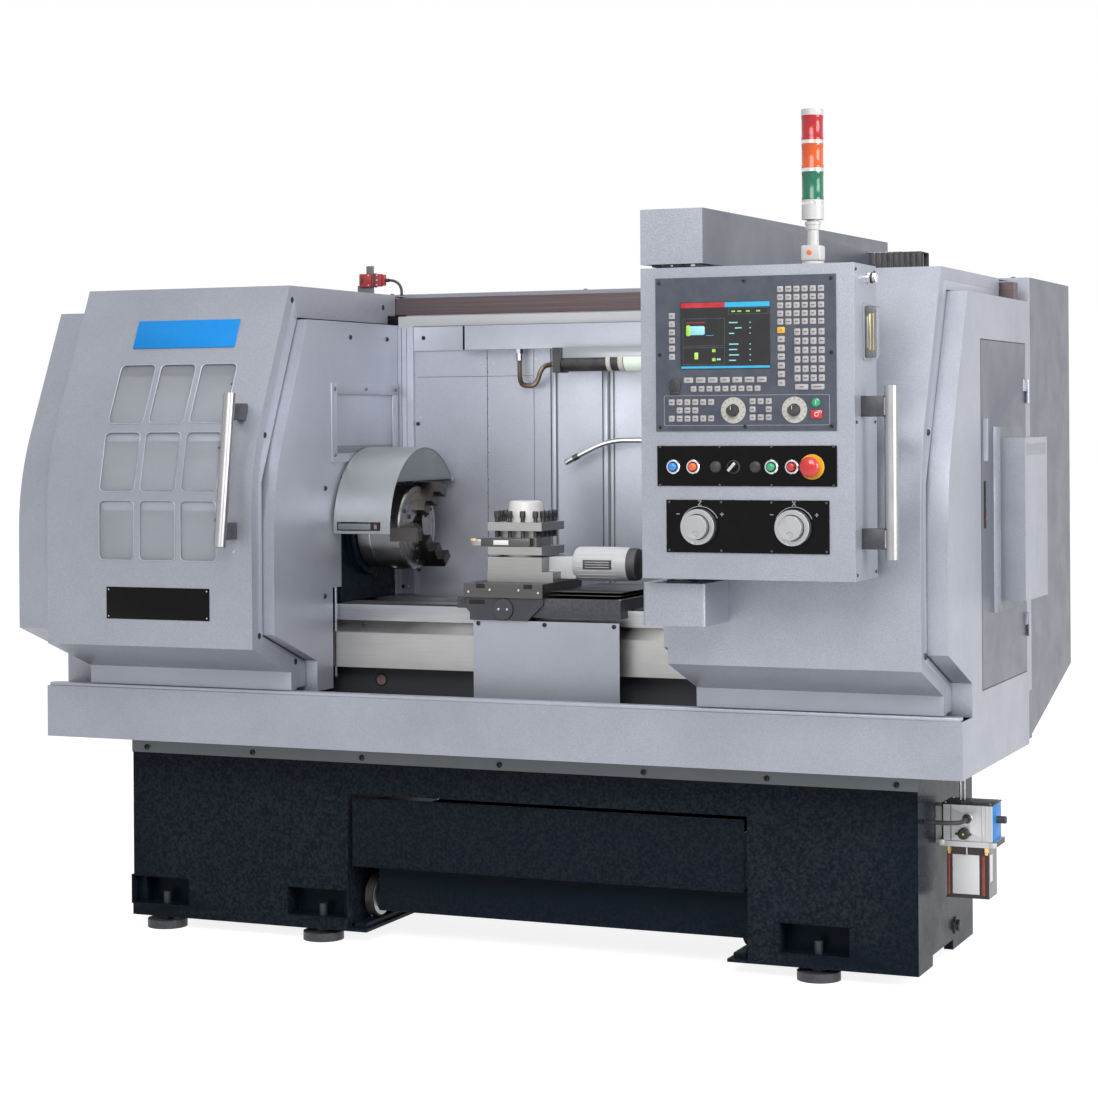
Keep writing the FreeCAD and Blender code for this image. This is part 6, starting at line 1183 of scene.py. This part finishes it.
class LATHE_OT_pendant(bpy.types.Operator):
    """Adds the pendant's port, gland, swivel parts, handle blocks and back, and the arm's cap and cable carrier"""

    bl_idname = "lathe.pendant"
    bl_label = "Pendant fittings"

    def execute(self, context):
        side = Piece("pendant_port", "guard_silver", "port_glass", "chrome", "block_grey", "blackened_steel", "brass")
        side.take(plate(rounded(66, 128, 5), 3, 1), 0, (1112, -296, 1566), RIGHT)
        side.bars(((1115, -322, 1510), (1117, -270, 1622), 0.5, 4), ((1117, -300, 1526), (1122, -294, 1606), 1, 5),
                  ((1117, -318, 1530), (1121, -312, 1600), 1, 0))
        side.take(plate(rounded(56, 116, 6), 17, 3), 1, (1115, -296, 1566), RIGHT)
        side.take(turned([(0, 24), (9, 24), (11, 22), (11, 15), (8.5, 14), (8.5, 11), (12, 10), (12, 5), (14, 5),
                          (14, 0), (0, 0)], 24), 2, (1112, -296, 1686), RIGHT)
        side.take(ring(12.4, 10, 4, 0.6, 24), 4, (1123, -296, 1686), RIGHT)
        for share in (0.12, 0.88):
            z = 1062 + 385 * share
            side.take(block((1112, -349, z - 23), (1163, -319, z + 23), 1.5), 3)
        side.screws(4, RIGHT, [(1112, y, z) for y in (-385, -235) for z in (1030, 1366, 1702)], 4)
        side.done("pendant", "off_white")
        swivel = Piece("swivel_plate", "moulded_black", "white_plastic", "blackened_steel")
        swivel.bars(((622, -348, 1721), (736, -246, 1726.8), 1.2, 0))
        swivel.screws(5, FRONT, [(646, -348, 1724), (700, -348, 1724)], 2)
        swivel.bars(((668, -349, 1721.6), (673, -347, 1726), 0.8, 1),
                    ((716, -350, 1720.6), (727, -347, 1726.6), 1.4, 1))
        swivel.done("right_door", "black_plastic")
        cap = Piece("arm_end_cap", "silver_sheet", "blackened_steel")
        cap.take(plate(rounded(144, 120, 1), 2.4, 0.6), 0, (672, 1221.6, 1807), BACK)
        cap.screws(3.4, BACK, [(x, 1223.4, z) for x in (610, 734) for z in (1757, 1857)], 1)
        cap.done("right_door", "grey_sheet")
        washer = Piece("swivel_washer", "dark_steel")
        washer.take(ring(44, 19, 4.2, 1.0, 40), 0, (672, -300, 1716.1), TOP)
        washer.take(ring(34, 19, 4, 1.0, 40), 0, (672, -300, 1003.2), TOP)
        washer.done("pendant", "tool_steel")
        rear = Piece("pendant_back", "silver_sheet", "blackened_steel", "moulded_black")
        rear.take(plate(rounded(430, 620, 10), 2, 0.6), 0, (863, -219, 1366), BACK)
        rear.screws(5, BACK, [(x, -217, z) for x in (664, 863, 1062) for z in (1072, 1366, 1660)], 1)
        rear.bars(*[((760, -217, z), (966, -215.4, z + 6), 0.6, 2) for z in range(1560, 1632, 14)])
        rear.done("pendant", "grey_sheet")
        chain = Piece("cable_carrier_links", "moulded_black")
        top = 1829
        for index in range(9):
            x = 746 + 16.5 * index
            chain.bars(*[((x, y, 1761), (x + 15.6, y + 4, top), 1.2, 0) for y in (1032, 1114)],
                       ((x + 1, 1034, top - 2), (x + 14.6, 1116, top + 1), 1.0, 0))
        chain.done("right_door", "black_plastic")
        return {"FINISHED"}


class LATHE_OT_signal_light(bpy.types.Operator):
    """Builds the signal light's three lenses, their rings and the jointed foot"""

    bl_idname = "lathe.signal_light"
    bl_label = "Signal light"

    def execute(self, context):
        lenses = Piece("signal_lenses", "lens_green", "lens_amber", "lens_red")
        for finish, low, high in ((0, 1864, 1927), (1, 1935, 1990), (2, 1998, 2053)):
            tall = high - low
            lenses.take(turned([(0, 0), (24.9, 0), (24.9, 7), (24.3, 8), (24.3, tall - 8), (24.9, tall - 7),
                                (24.9, tall), (0, tall)], 48), finish, (SIGNAL_X, SIGNAL_Y, low), TOP)
        lenses.done("pendant", "lens_plastic", "stack_lenses")
        foot = Piece("signal_foot", "white_plastic", "chrome", "orange_plastic")
        foot.take(block((967, -322, 1727), (1013, -280, 1762), 5, 3), 0)
        foot.take(ring(24.4, 10, 10, 2, 40), 0, (SIGNAL_X, SIGNAL_Y, 1716.5), TOP)
        foot.take(drum(6, 1.6, 0.6, 24), 2, (988, -322, 1746), FRONT)
        foot.take(ring(18, 12, 8, 1, 40), 0, (SIGNAL_X, SIGNAL_Y, 1808), TOP)
        foot.take(ring(16, 12, 12, 1, 40), 0, (SIGNAL_X, SIGNAL_Y, 1797), TOP)
        for z in (1853, 1927.2, 1990.2):
            foot.take(ring(25.1, 20, 7.6, 0.6, 48), 1, (SIGNAL_X, SIGNAL_Y, z), TOP)
        foot.done("pendant", "off_white")
        return {"FINISHED"}


class LATHE_OT_turret(bpy.types.Operator):
    """Adds the turret's clamping screws, cap, tool and motor, and the trims of the cross slide and saddle"""

    bl_idname = "lathe.turret"
    bl_label = "Turret and carriage"

    def execute(self, context):
        screws = Piece("clamp_screws", "blackened_steel")
        spots = [(along_x, side * 64) for along_x in (-54, -18, 18, 54) for side in (-1, 1)]
        spots += [(side * 64, along_y) for along_y in (-40, -14, 14, 40) for side in (-1, 1)]
        for x, y in spots:
            place = Matrix.Translation((TURRET_X + x, TURRET_Y + y, 1072))
            screws.take(drum(5.4, 52, 0.6, 16), 0, place)
            screws.take(block((-6.2, -6.2, 50), (6.2, 6.2, 68), 1.4), 0, place)
        screws.done("turret", "tool_steel")
        cap = Piece("turret_cover", "white_plastic")
        cap.take(turned([(0, 53.6), (36, 53.6), (41, 52), (43.6, 48), (49.6, 3), (50, 0), (0, 0)], 56), 0,
                 (TURRET_X, TURRET_Y, 1111.4), TOP)
        cap.done("turret", "off_white", "turret_cap")
        tool = Piece("tool_holder", "dark_steel", "ground_steel", "brass", "white_mark")
        tool.bars(((-66, 216.4, 1048.5), (72, 238, 1070.3), 1.2, 0), ((-94, 218, 1049.5), (-66, 238, 1067), 2, 1),
                  ((-95, 217, 1062), (-82, 232, 1068.5), 0.8, 2), ((-30, 216, 1053), (12, 216.6, 1065), 0.3, 3))
        tool.take(cap_screw(4), 0, (-76, 228, 1067), TOP)
        tool.done("turret", "tool_steel", "tooling")
        motor = Piece("turret_motor_shell", "offwhite_enamel", "moulded_black", "machined_aluminium")
        turn = aimed((164, TURRET_Y, 1004), RIGHT)
        motor.take(turned([(0, 10), (36, 10), (41, 12), (43.4, 17), (43.4, 152), (41, 158), (0, 158)], 56), 0, turn)
        motor.take(block((107.5, 259.6, 966), (182, 322.4, 1021.4), 2), 0)
        motor.take(turned([(0, 184), (34, 184), (40, 180), (42, 174), (42, 157), (0, 157)], 56), 1, turn)
        for step in range(24):
            rib = turn @ Matrix.Rotation(math.tau * (step + 0.5) / 24, 4, "Z")
            motor.take(block((42.6, -1.5, 24), (44, 1.5, 128), 0.6, 1), 0, rib)
        motor.take(block((206, 246.2, 993), (284, 250, 1016), 0.4), 1)
        motor.bars(*[((212, 245.9, z), (278, 246.4, z + 1.2), 0, 2) for z in (997, 1003.5, 1010)])
        motor.done("cross_slide", "off_white", "turret_motor")
        trim = Piece("cross_bar_trim", "shadow_black", "machined_aluminium")
        trim.bars(*[((x, 141.2, 946), (x + 24, 143, 957.5), 0.6, 0) for x in (-46, 86)])
        trim.screws(3.6, FRONT, [(x, 142, z) for x, z in ((-68, 936), (-8, 942), (72, 942), (126, 936))], 1)
        trim.done("cross_slide", "tool_steel")
        front = Piece("saddle_trim", "machined_aluminium", "shadow_black", "dark_steel", "brushed_stainless")
        front.screws(3.6, FRONT, [(16, 142, 893), (40, 142, 893)], 0)
        front.take(ring(28.6, 26.6, 1.2, 0.3, 48), 1, (28, 146, 893), FRONT)
        front.take(block((-68, 145, 905), (-24, 146.5, 916), 1), 1)
        for z in (922, 930, 938):
            front.take(block((140, 160 + (z - 922) * 1.6, z - 0.8), (338, 530, z + 0.4), 0.2), 2)
        front.bars(((138, 160, 920.9), (344, 540, 922.4), 0.4, 3))
        front.done("carriage", "tool_steel")
        return {"FINISHED"}


class LATHE_OT_chuck(bpy.types.Operator):
    """Adds the guard's end plate and strips, and the chuck's rings and screws"""

    bl_idname = "lathe.chuck"
    bl_label = "Chuck and its guard"

    def execute(self, context):
        guard = Piece("chuck_guard_plate", "strip_enamel", "shadow_black", "rusted_plug")
        chord, radius = 126.0, 212.4
        start = math.degrees(math.asin(chord / radius))
        arc = [(radius * math.cos(math.radians(turn)), radius * math.sin(math.radians(turn)))
               for turn in [start + (180 - 2 * start) * step / 30 for step in range(31)]]
        turn = aimed((-315, SPINDLE_Y, SPINDLE_Z), RIGHT)
        guard.take(plate(arc, 2.4, 0.6), 0, turn)
        guard.bars(((-466, 183.4, 1087), (-342, 186, 1107), 0.4, 1), ((-464, 182.8, 1089), (-368, 185, 1105), 1.2, 0),
                   ((-358, 182.9, 1091), (-350, 184, 1103), 0.6, 2))
        guard.done("chuck_guard", "grey_sheet")
        body = Piece("chuck_rings", "chrome", "blackened_steel", "dark_steel")
        axis = aimed((-462, SPINDLE_Y, SPINDLE_Z), RIGHT)
        body.take(ring(114.3, 112.5, 3, 0.5, 64), 0, axis @ Matrix.Translation((0, 0, 36)))
        for outer, inner in ((96, 94.6), (74, 72.8)):
            body.take(ring(outer, inner, 0.6, 0.1, 64), 2, axis @ Matrix.Translation((0, 0, 125.8)))
        for angle in (30, 150, 270):
            out = math.radians(angle)
            body.screws(6, RIGHT, [(-336, SPINDLE_Y + far * math.cos(out), SPINDLE_Z + far * math.sin(out))
                                   for far in (60, 92)], 1)
        body.done("spindle", "bright_steel")
        return {"FINISHED"}


class LATHE_OT_lamp(bpy.types.Operator):
    """Adds the work light's glass and end frames, its conduit and the coolant nozzle"""

    bl_idname = "lathe.lamp"
    bl_label = "Work light and nozzle"

    def execute(self, context):
        light = Piece("work_light_parts", "glow_white", "ivory_plastic", "moulded_black", "guard_silver",
                      "blackened_steel")
        axis = aimed((0, 529, 1531), RIGHT)
        light.take(drum(27.6, 236, 1, 48), 0, axis @ Matrix.Translation((0, 0, 222)))
        for x, wide in ((172, 12), (206, 14), (470, 12)):
            light.take(ring(28.6, 20, wide, 0.8, 48), 1, axis @ Matrix.Translation((0, 0, x)))
        light.bars(((20.5, 500, 1532), (46, 560, 1567.8), 1.5, 2), ((46, 503, 1538), (494, 557, 1567.4), 3, 3),
                   ((46, 502.4, 1536), (494, 504, 1538.4), 0.3, 4))
        light.done("frame", "black_plastic")
        path = [(-107, 572, 1567), (-107, 572, 1530), (-107, 572, 1475), (-84, 567, 1466), (-52, 560, 1470),
                (-24, 529, 1518), (4, 529, 1524), (19.5, 529, 1524)]
        route = along(path, steps=24)
        places = [tuple(vert.co) for vert in route.verts]
        route.free()
        conduit = Piece("lamp_conduit", "conduit_bronze", "chrome")
        conduit.take(tube(places, 7, smooth=False, ribs=True), 0)
        conduit.take(ring(10.5, 5, 12, 1, 6), 1, (-107, 572, 1567.8), BOTTOM)
        conduit.take(ring(9.5, 5, 20, 1, 24), 1, (-107, 572, 1556), BOTTOM)
        conduit.take(ring(10.5, 5, 10, 1, 6), 1, (19.8, 529, 1524), LEFT)
        conduit.done("frame", "chromed", "light_conduit")
        nozzle = Piece("coolant_nozzle", "chrome", "dark_steel")
        aim = aimed((43, 545, 1262), (-117, 0, -57))
        nozzle.take(turned([(4.5, 6), (7.6, 6), (8.4, 4), (8.4, -18), (7.2, -19), (4.5, 6)], 28), 0, aim)
        nozzle.take(ring(8.2, 7, 16, 0.6, 28), 1, aim @ Matrix.Translation((0, 0, -36)))
        nozzle.take(ring(15, 7, 4, 1, 32), 0, (392, 599.8, 1319), FRONT)
        nozzle.done("frame", "chromed")
        return {"FINISHED"}


class LATHE_OT_lubricator(bpy.types.Operator):
    """Adds the lubricator's lid, plates, gland, filler, knob and fittings"""

    bl_idname = "lathe.lubricator"
    bl_label = "Lubricator"

    def execute(self, context):
        pump = Piece("lubricator_parts", "pump_blue", "moulded_black", "machined_aluminium", "brass", "white_mark",
                     "blackened_steel", "shadow_black", "oil_red")
        pump.bars(((1214, 335, 208), (1222, 337, 304), 0.8, 7), ((1130, 335, 208), (1135, 337, 304), 0.8, 7))
        pump.bars(((1241.6, 334, 338), (1243.2, 422, 428), 0.5, 0), ((1117, 328.8, 336), (1121, 331, 430), 0.4, 6),
                  ((1139, 328.9, 336), (1140.5, 330.5, 430), 0.2, 6), ((1106, 322, 330), (1124, 334, 342), 1.6, 2),
                  ((1236, 322, 328), (1252, 336, 340), 1.6, 2), ((1216, 328.4, 334), (1219, 330.2, 430), 0.8, 2),
                  ((1226, 328.4, 334), (1229, 330.2, 430), 0.8, 2), ((1116, 328, 428), (1244, 428, 431.5), 1.2, 5))
        pump.take(ring(12, 8, 6, 1, 32), 2, (1182, 330, 396), FRONT)
        pump.take(turned([(5.6, 18), (8.6, 18), (10.4, 14), (11, 0), (5.6, 0), (5.6, 18)], 32), 1,
                  (1182, 330, 396), FRONT)
        pump.take(turned([(0, 17), (10, 16), (13.4, 12), (14.4, 4), (14.4, 0), (0, 0)], 32), 1,
                  (1173, 330, 359), FRONT)
        pump.bars(((1153, 315, 356), (1193, 320, 362), 1.6, 1), ((1171, 312.6, 357), (1176, 313.4, 361), 0.2, 3))
        pump.take(turned([(0, 25), (8.4, 24.6), (9.6, 20), (6.4, 12), (6.4, 0), (0, 0)], 28), 1,
                  (1242, 376, 390), RIGHT)
        pump.screws(3.2, TOP, [(x, y, 431) for x in (1124, 1236) for y in (336, 420)], 2)
        for x in (1134, 1226):
            pump.take(turned([(0, 0), (6, 0), (6, 12), (4.4, 13), (4.4, 18), (0, 18)], 6), 3,
                      (x, 334, 326), BOTTOM)
        pump.bars(((1142, 335.2, 210), (1208, 336.4, 306), 0.3, 4), ((1231.8, 346, 240), (1232.8, 372, 306), 0.3, 4),
                  ((1126, 334.4, 200), (1129, 421.6, 204), 0.6, 6), ((1176, 331, 307), (1180, 336, 326), 0.6, 2))
        pump.done("frame", "black_plastic")
        return {"FINISHED"}


class LATHE_OT_base_details(bpy.types.Operator):
    """Adds the plug, edges and pad rims of the base, the coolant tank's edges and its wheel rims"""

    bl_idname = "lathe.base_details"
    bl_label = "Base and tank details"

    def execute(self, context):
        base = Piece("base_trim", "navy_casting", "blackened_steel", "shadow_black")
        base.take(drum(22, 4, 1, 32), 1, (1096, 545, 90), RIGHT)
        base.take(hex_bolt(26, 9), 1, (1100, 545, 90), RIGHT)
        for x in (-1012, -532, 836):
            base.bars(*[((x - 92, 179.6, z), (x + 92, 182, z + 3), 1, 0) for z in (138, 62.5)],
                      *[((x + side - 1.5, 179.6, 64), (x + side + 1.5, 182, 139), 1, 0) for side in (-90, 90)])
        base.bars(((-1096, 177, 475.8), (1096, 178.6, 477.4), 0.4, 2))
        base.done("frame", "dark_casting")
        tank = Piece("tank_trim", "navy_casting")
        tank.bars(((-428, 185.6, 380), (653, 190, 384), 1.4, 0), ((-428, 186.4, 203), (653, 190, 206), 1.2, 0))
        tank.done("tank", "dark_casting")
        rims = Piece("wheel_rims", "machined_aluminium", "blackened_steel")
        for x, side in ((-424.6, LEFT), (-401.4, RIGHT), (626.6, LEFT), (649.4, RIGHT)):
            rims.take(ring(52, 40, 1.2, 0.4, 56), 0, (x, 305, 109.3), side)
            rims.take(ring(20, 9, 1.6, 0.4, 40), 1, (x, 305, 109.3), side)
        rims.done("tank_wheels", "tool_steel")
        return {"FINISHED"}


class LATHE_OT_interlock(bpy.types.Operator):
    """Builds the red door switch with its bracket, screws, gland and lead"""

    bl_idname = "lathe.interlock"
    bl_label = "Door switch"

    def execute(self, context):
        switch = Piece("door_switch", "switch_red", "moulded_black", "machined_aluminium", "strip_enamel")
        switch.bars(((-670, 718, 1757), (-632, 732, 1795), 2, 0), ((-631, 719, 1758), (-600, 732, 1794), 1.6, 0),
                    ((-600, 720, 1760), (-588, 731, 1792), 3, 0), ((-663, 717.4, 1766), (-656, 720, 1786), 0.6, 1),
                    ((-625, 718, 1756), (-618, 732.4, 1796), 0.8, 1))
        switch.screws(2.6, FRONT, [(-640, 718, 1790), (-640, 718, 1762), (-614, 719, 1790), (-614, 719, 1776),
                                   (-614, 719, 1762)], 2)
        switch.take(drum(5.4, 12, 1, 20), 1, (-589, 724, 1775), RIGHT)
        switch.bars(((-680, 728.2, 1671), (-628, 731.4, 1762), 0.6, 3),
                    ((-652, 728.2, 1760), (-628, 731.4, 1817.6), 1, 3),
                    ((-680, 728.2, 1671), (-628, 748, 1674.5), 0.6, 3))
        route = [(-578, 724, 1775), (-560, 724, 1775), (-538, 724, 1757), (-537, 724, 1724), (-552, 724, 1690),
                 (-566, 724, 1671.4)]
        switch.take(tube(route, 4), 1)
        switch.done("frame", "red_plastic", "interlock_switch")
        return {"FINISHED"}


class LATHE_OT_outside(bpy.types.Operator):
    """Adds hinges, latches, louvres, seams and screws on the cabinet, the sides and the roof"""

    bl_idname = "lathe.outside"
    bl_label = "Cabinet and side details"

    def execute(self, context):
        rear = Piece("cabinet_fittings", "blackened_steel", "moulded_black", "shadow_black", "light_sheet")
        for x in (-1206, 1206):
            for z in (820, 1210, 1600):
                rear.take(drum(7, 84, 1.5, 20), 0, Matrix.Translation((x, 1263.6, z)))
        for x in (-43, 43):
            rear.take(ring(11, 5, 3, 0.8, 32), 0, (x, 1268.6, 1183), BACK)
            rear.bars(((x - 7, 1269, 1140), (x + 7, 1271.6, 1178), 2, 1))
        for x in (-610, 610):
            rear.bars(*[((x - 146, 1269.6, 1640 - 30 * row), (x + 146, 1271.9, 1642.5 - 30 * row), 0.3, 2)
                        for row in range(7)])
        rear.screws(6, BACK, [(x, 1262, z) for x in (-1236, 1236) for z in (715, 980, 1240, 1500, 1715)], 0)
        for x in (-700, -560, 560, 700):
            rear.take(ring(24, 12, 12, 2, 32), 1, (x, 1000, 620), BOTTOM)
        rear.bars(((-60, 1263, 740), (60, 1264.4, 790), 0.4, 3))
        rear.done("frame", "tool_steel")
        side = Piece("service_door_trim", "blackened_steel", "red_plastic", "moulded_black", "light_sheet")
        side.bars(((1250.2, 234, 1108), (1253.5, 242, 1222), 1.4, 0), ((1253, 236, 1130), (1255, 241, 1141), 0.8, 1),
                  ((1249.6, 203.5, 722.5), (1250.6, 205, 1561), 0.2, 2),
                  ((1249.6, 205, 1560), (1250.6, 696, 1561.5), 0.2, 2),
                  ((1249.6, 205, 722.5), (1250.6, 696, 724), 0.2, 2),
                  ((1315.2, 400, 1280), (1316, 628, 1310), 0.3, 3))
        side.done("side_door", "tool_steel")
        left = Piece("left_side_fittings", "moulded_black")
        left.bars(*[((-1250, 250, z), (-1249.2, 620, z + 5), 0.2, 0) for z in range(780, 900, 18)])
        left.done("frame", "grey_sheet")
        lid = Piece("roof_fittings", "blackened_steel")
        lid.screws(6, TOP, [(x, y, 1671) for x in (-1180, 1180) for y in (120, 420, 700)])
        lid.screws(7, TOP, [(x, y, 1735) for x in (-1200, -600, 0, 600, 1200) for y in (790, 1230)])
        lid.done("frame", "tool_steel")
        return {"FINISHED"}


class LATHE_PT_tools(bpy.types.Panel):
    """Lists the lathe's builders"""

    bl_idname = "LATHE_PT_tools"
    bl_label = "Turning lathe"
    bl_space_type = "VIEW_3D"
    bl_region_type = "UI"
    bl_category = "Lathe"

    def draw(self, context):
        for settings in (context.scene.lathe_paint, context.scene.lathe_studio):
            for label in settings.__annotations__:
                self.layout.prop(settings, label)
        for step in STEPS:
            self.layout.operator(step.bl_idname)


SETTINGS = (("lathe_paint", PaintSettings), ("lathe_studio", StudioSettings))
STEPS = (LATHE_OT_stage, LATHE_OT_finishes, LATHE_OT_eased_parts, LATHE_OT_fasteners, LATHE_OT_doors,
         LATHE_OT_work_space, LATHE_OT_panel, LATHE_OT_controls, LATHE_OT_pendant, LATHE_OT_signal_light,
         LATHE_OT_turret, LATHE_OT_chuck, LATHE_OT_lamp, LATHE_OT_lubricator, LATHE_OT_base_details,
         LATHE_OT_interlock, LATHE_OT_outside)


def register():
    for label, kind in SETTINGS:
        bpy.utils.register_class(kind)
        setattr(bpy.types.Scene, label, bpy.props.PointerProperty(type=kind))
    for kind in (*STEPS, LATHE_PT_tools):
        bpy.utils.register_class(kind)


def unregister():
    for kind in (LATHE_PT_tools, *reversed(STEPS)):
        bpy.utils.unregister_class(kind)
    for label, kind in SETTINGS:
        delattr(bpy.types.Scene, label)
        bpy.utils.unregister_class(kind)


def main():
    register()
    for step in STEPS:
        group, action = step.bl_idname.split(".")
        getattr(getattr(bpy.ops, group), action)()


if __name__ == "__main__":
    main()
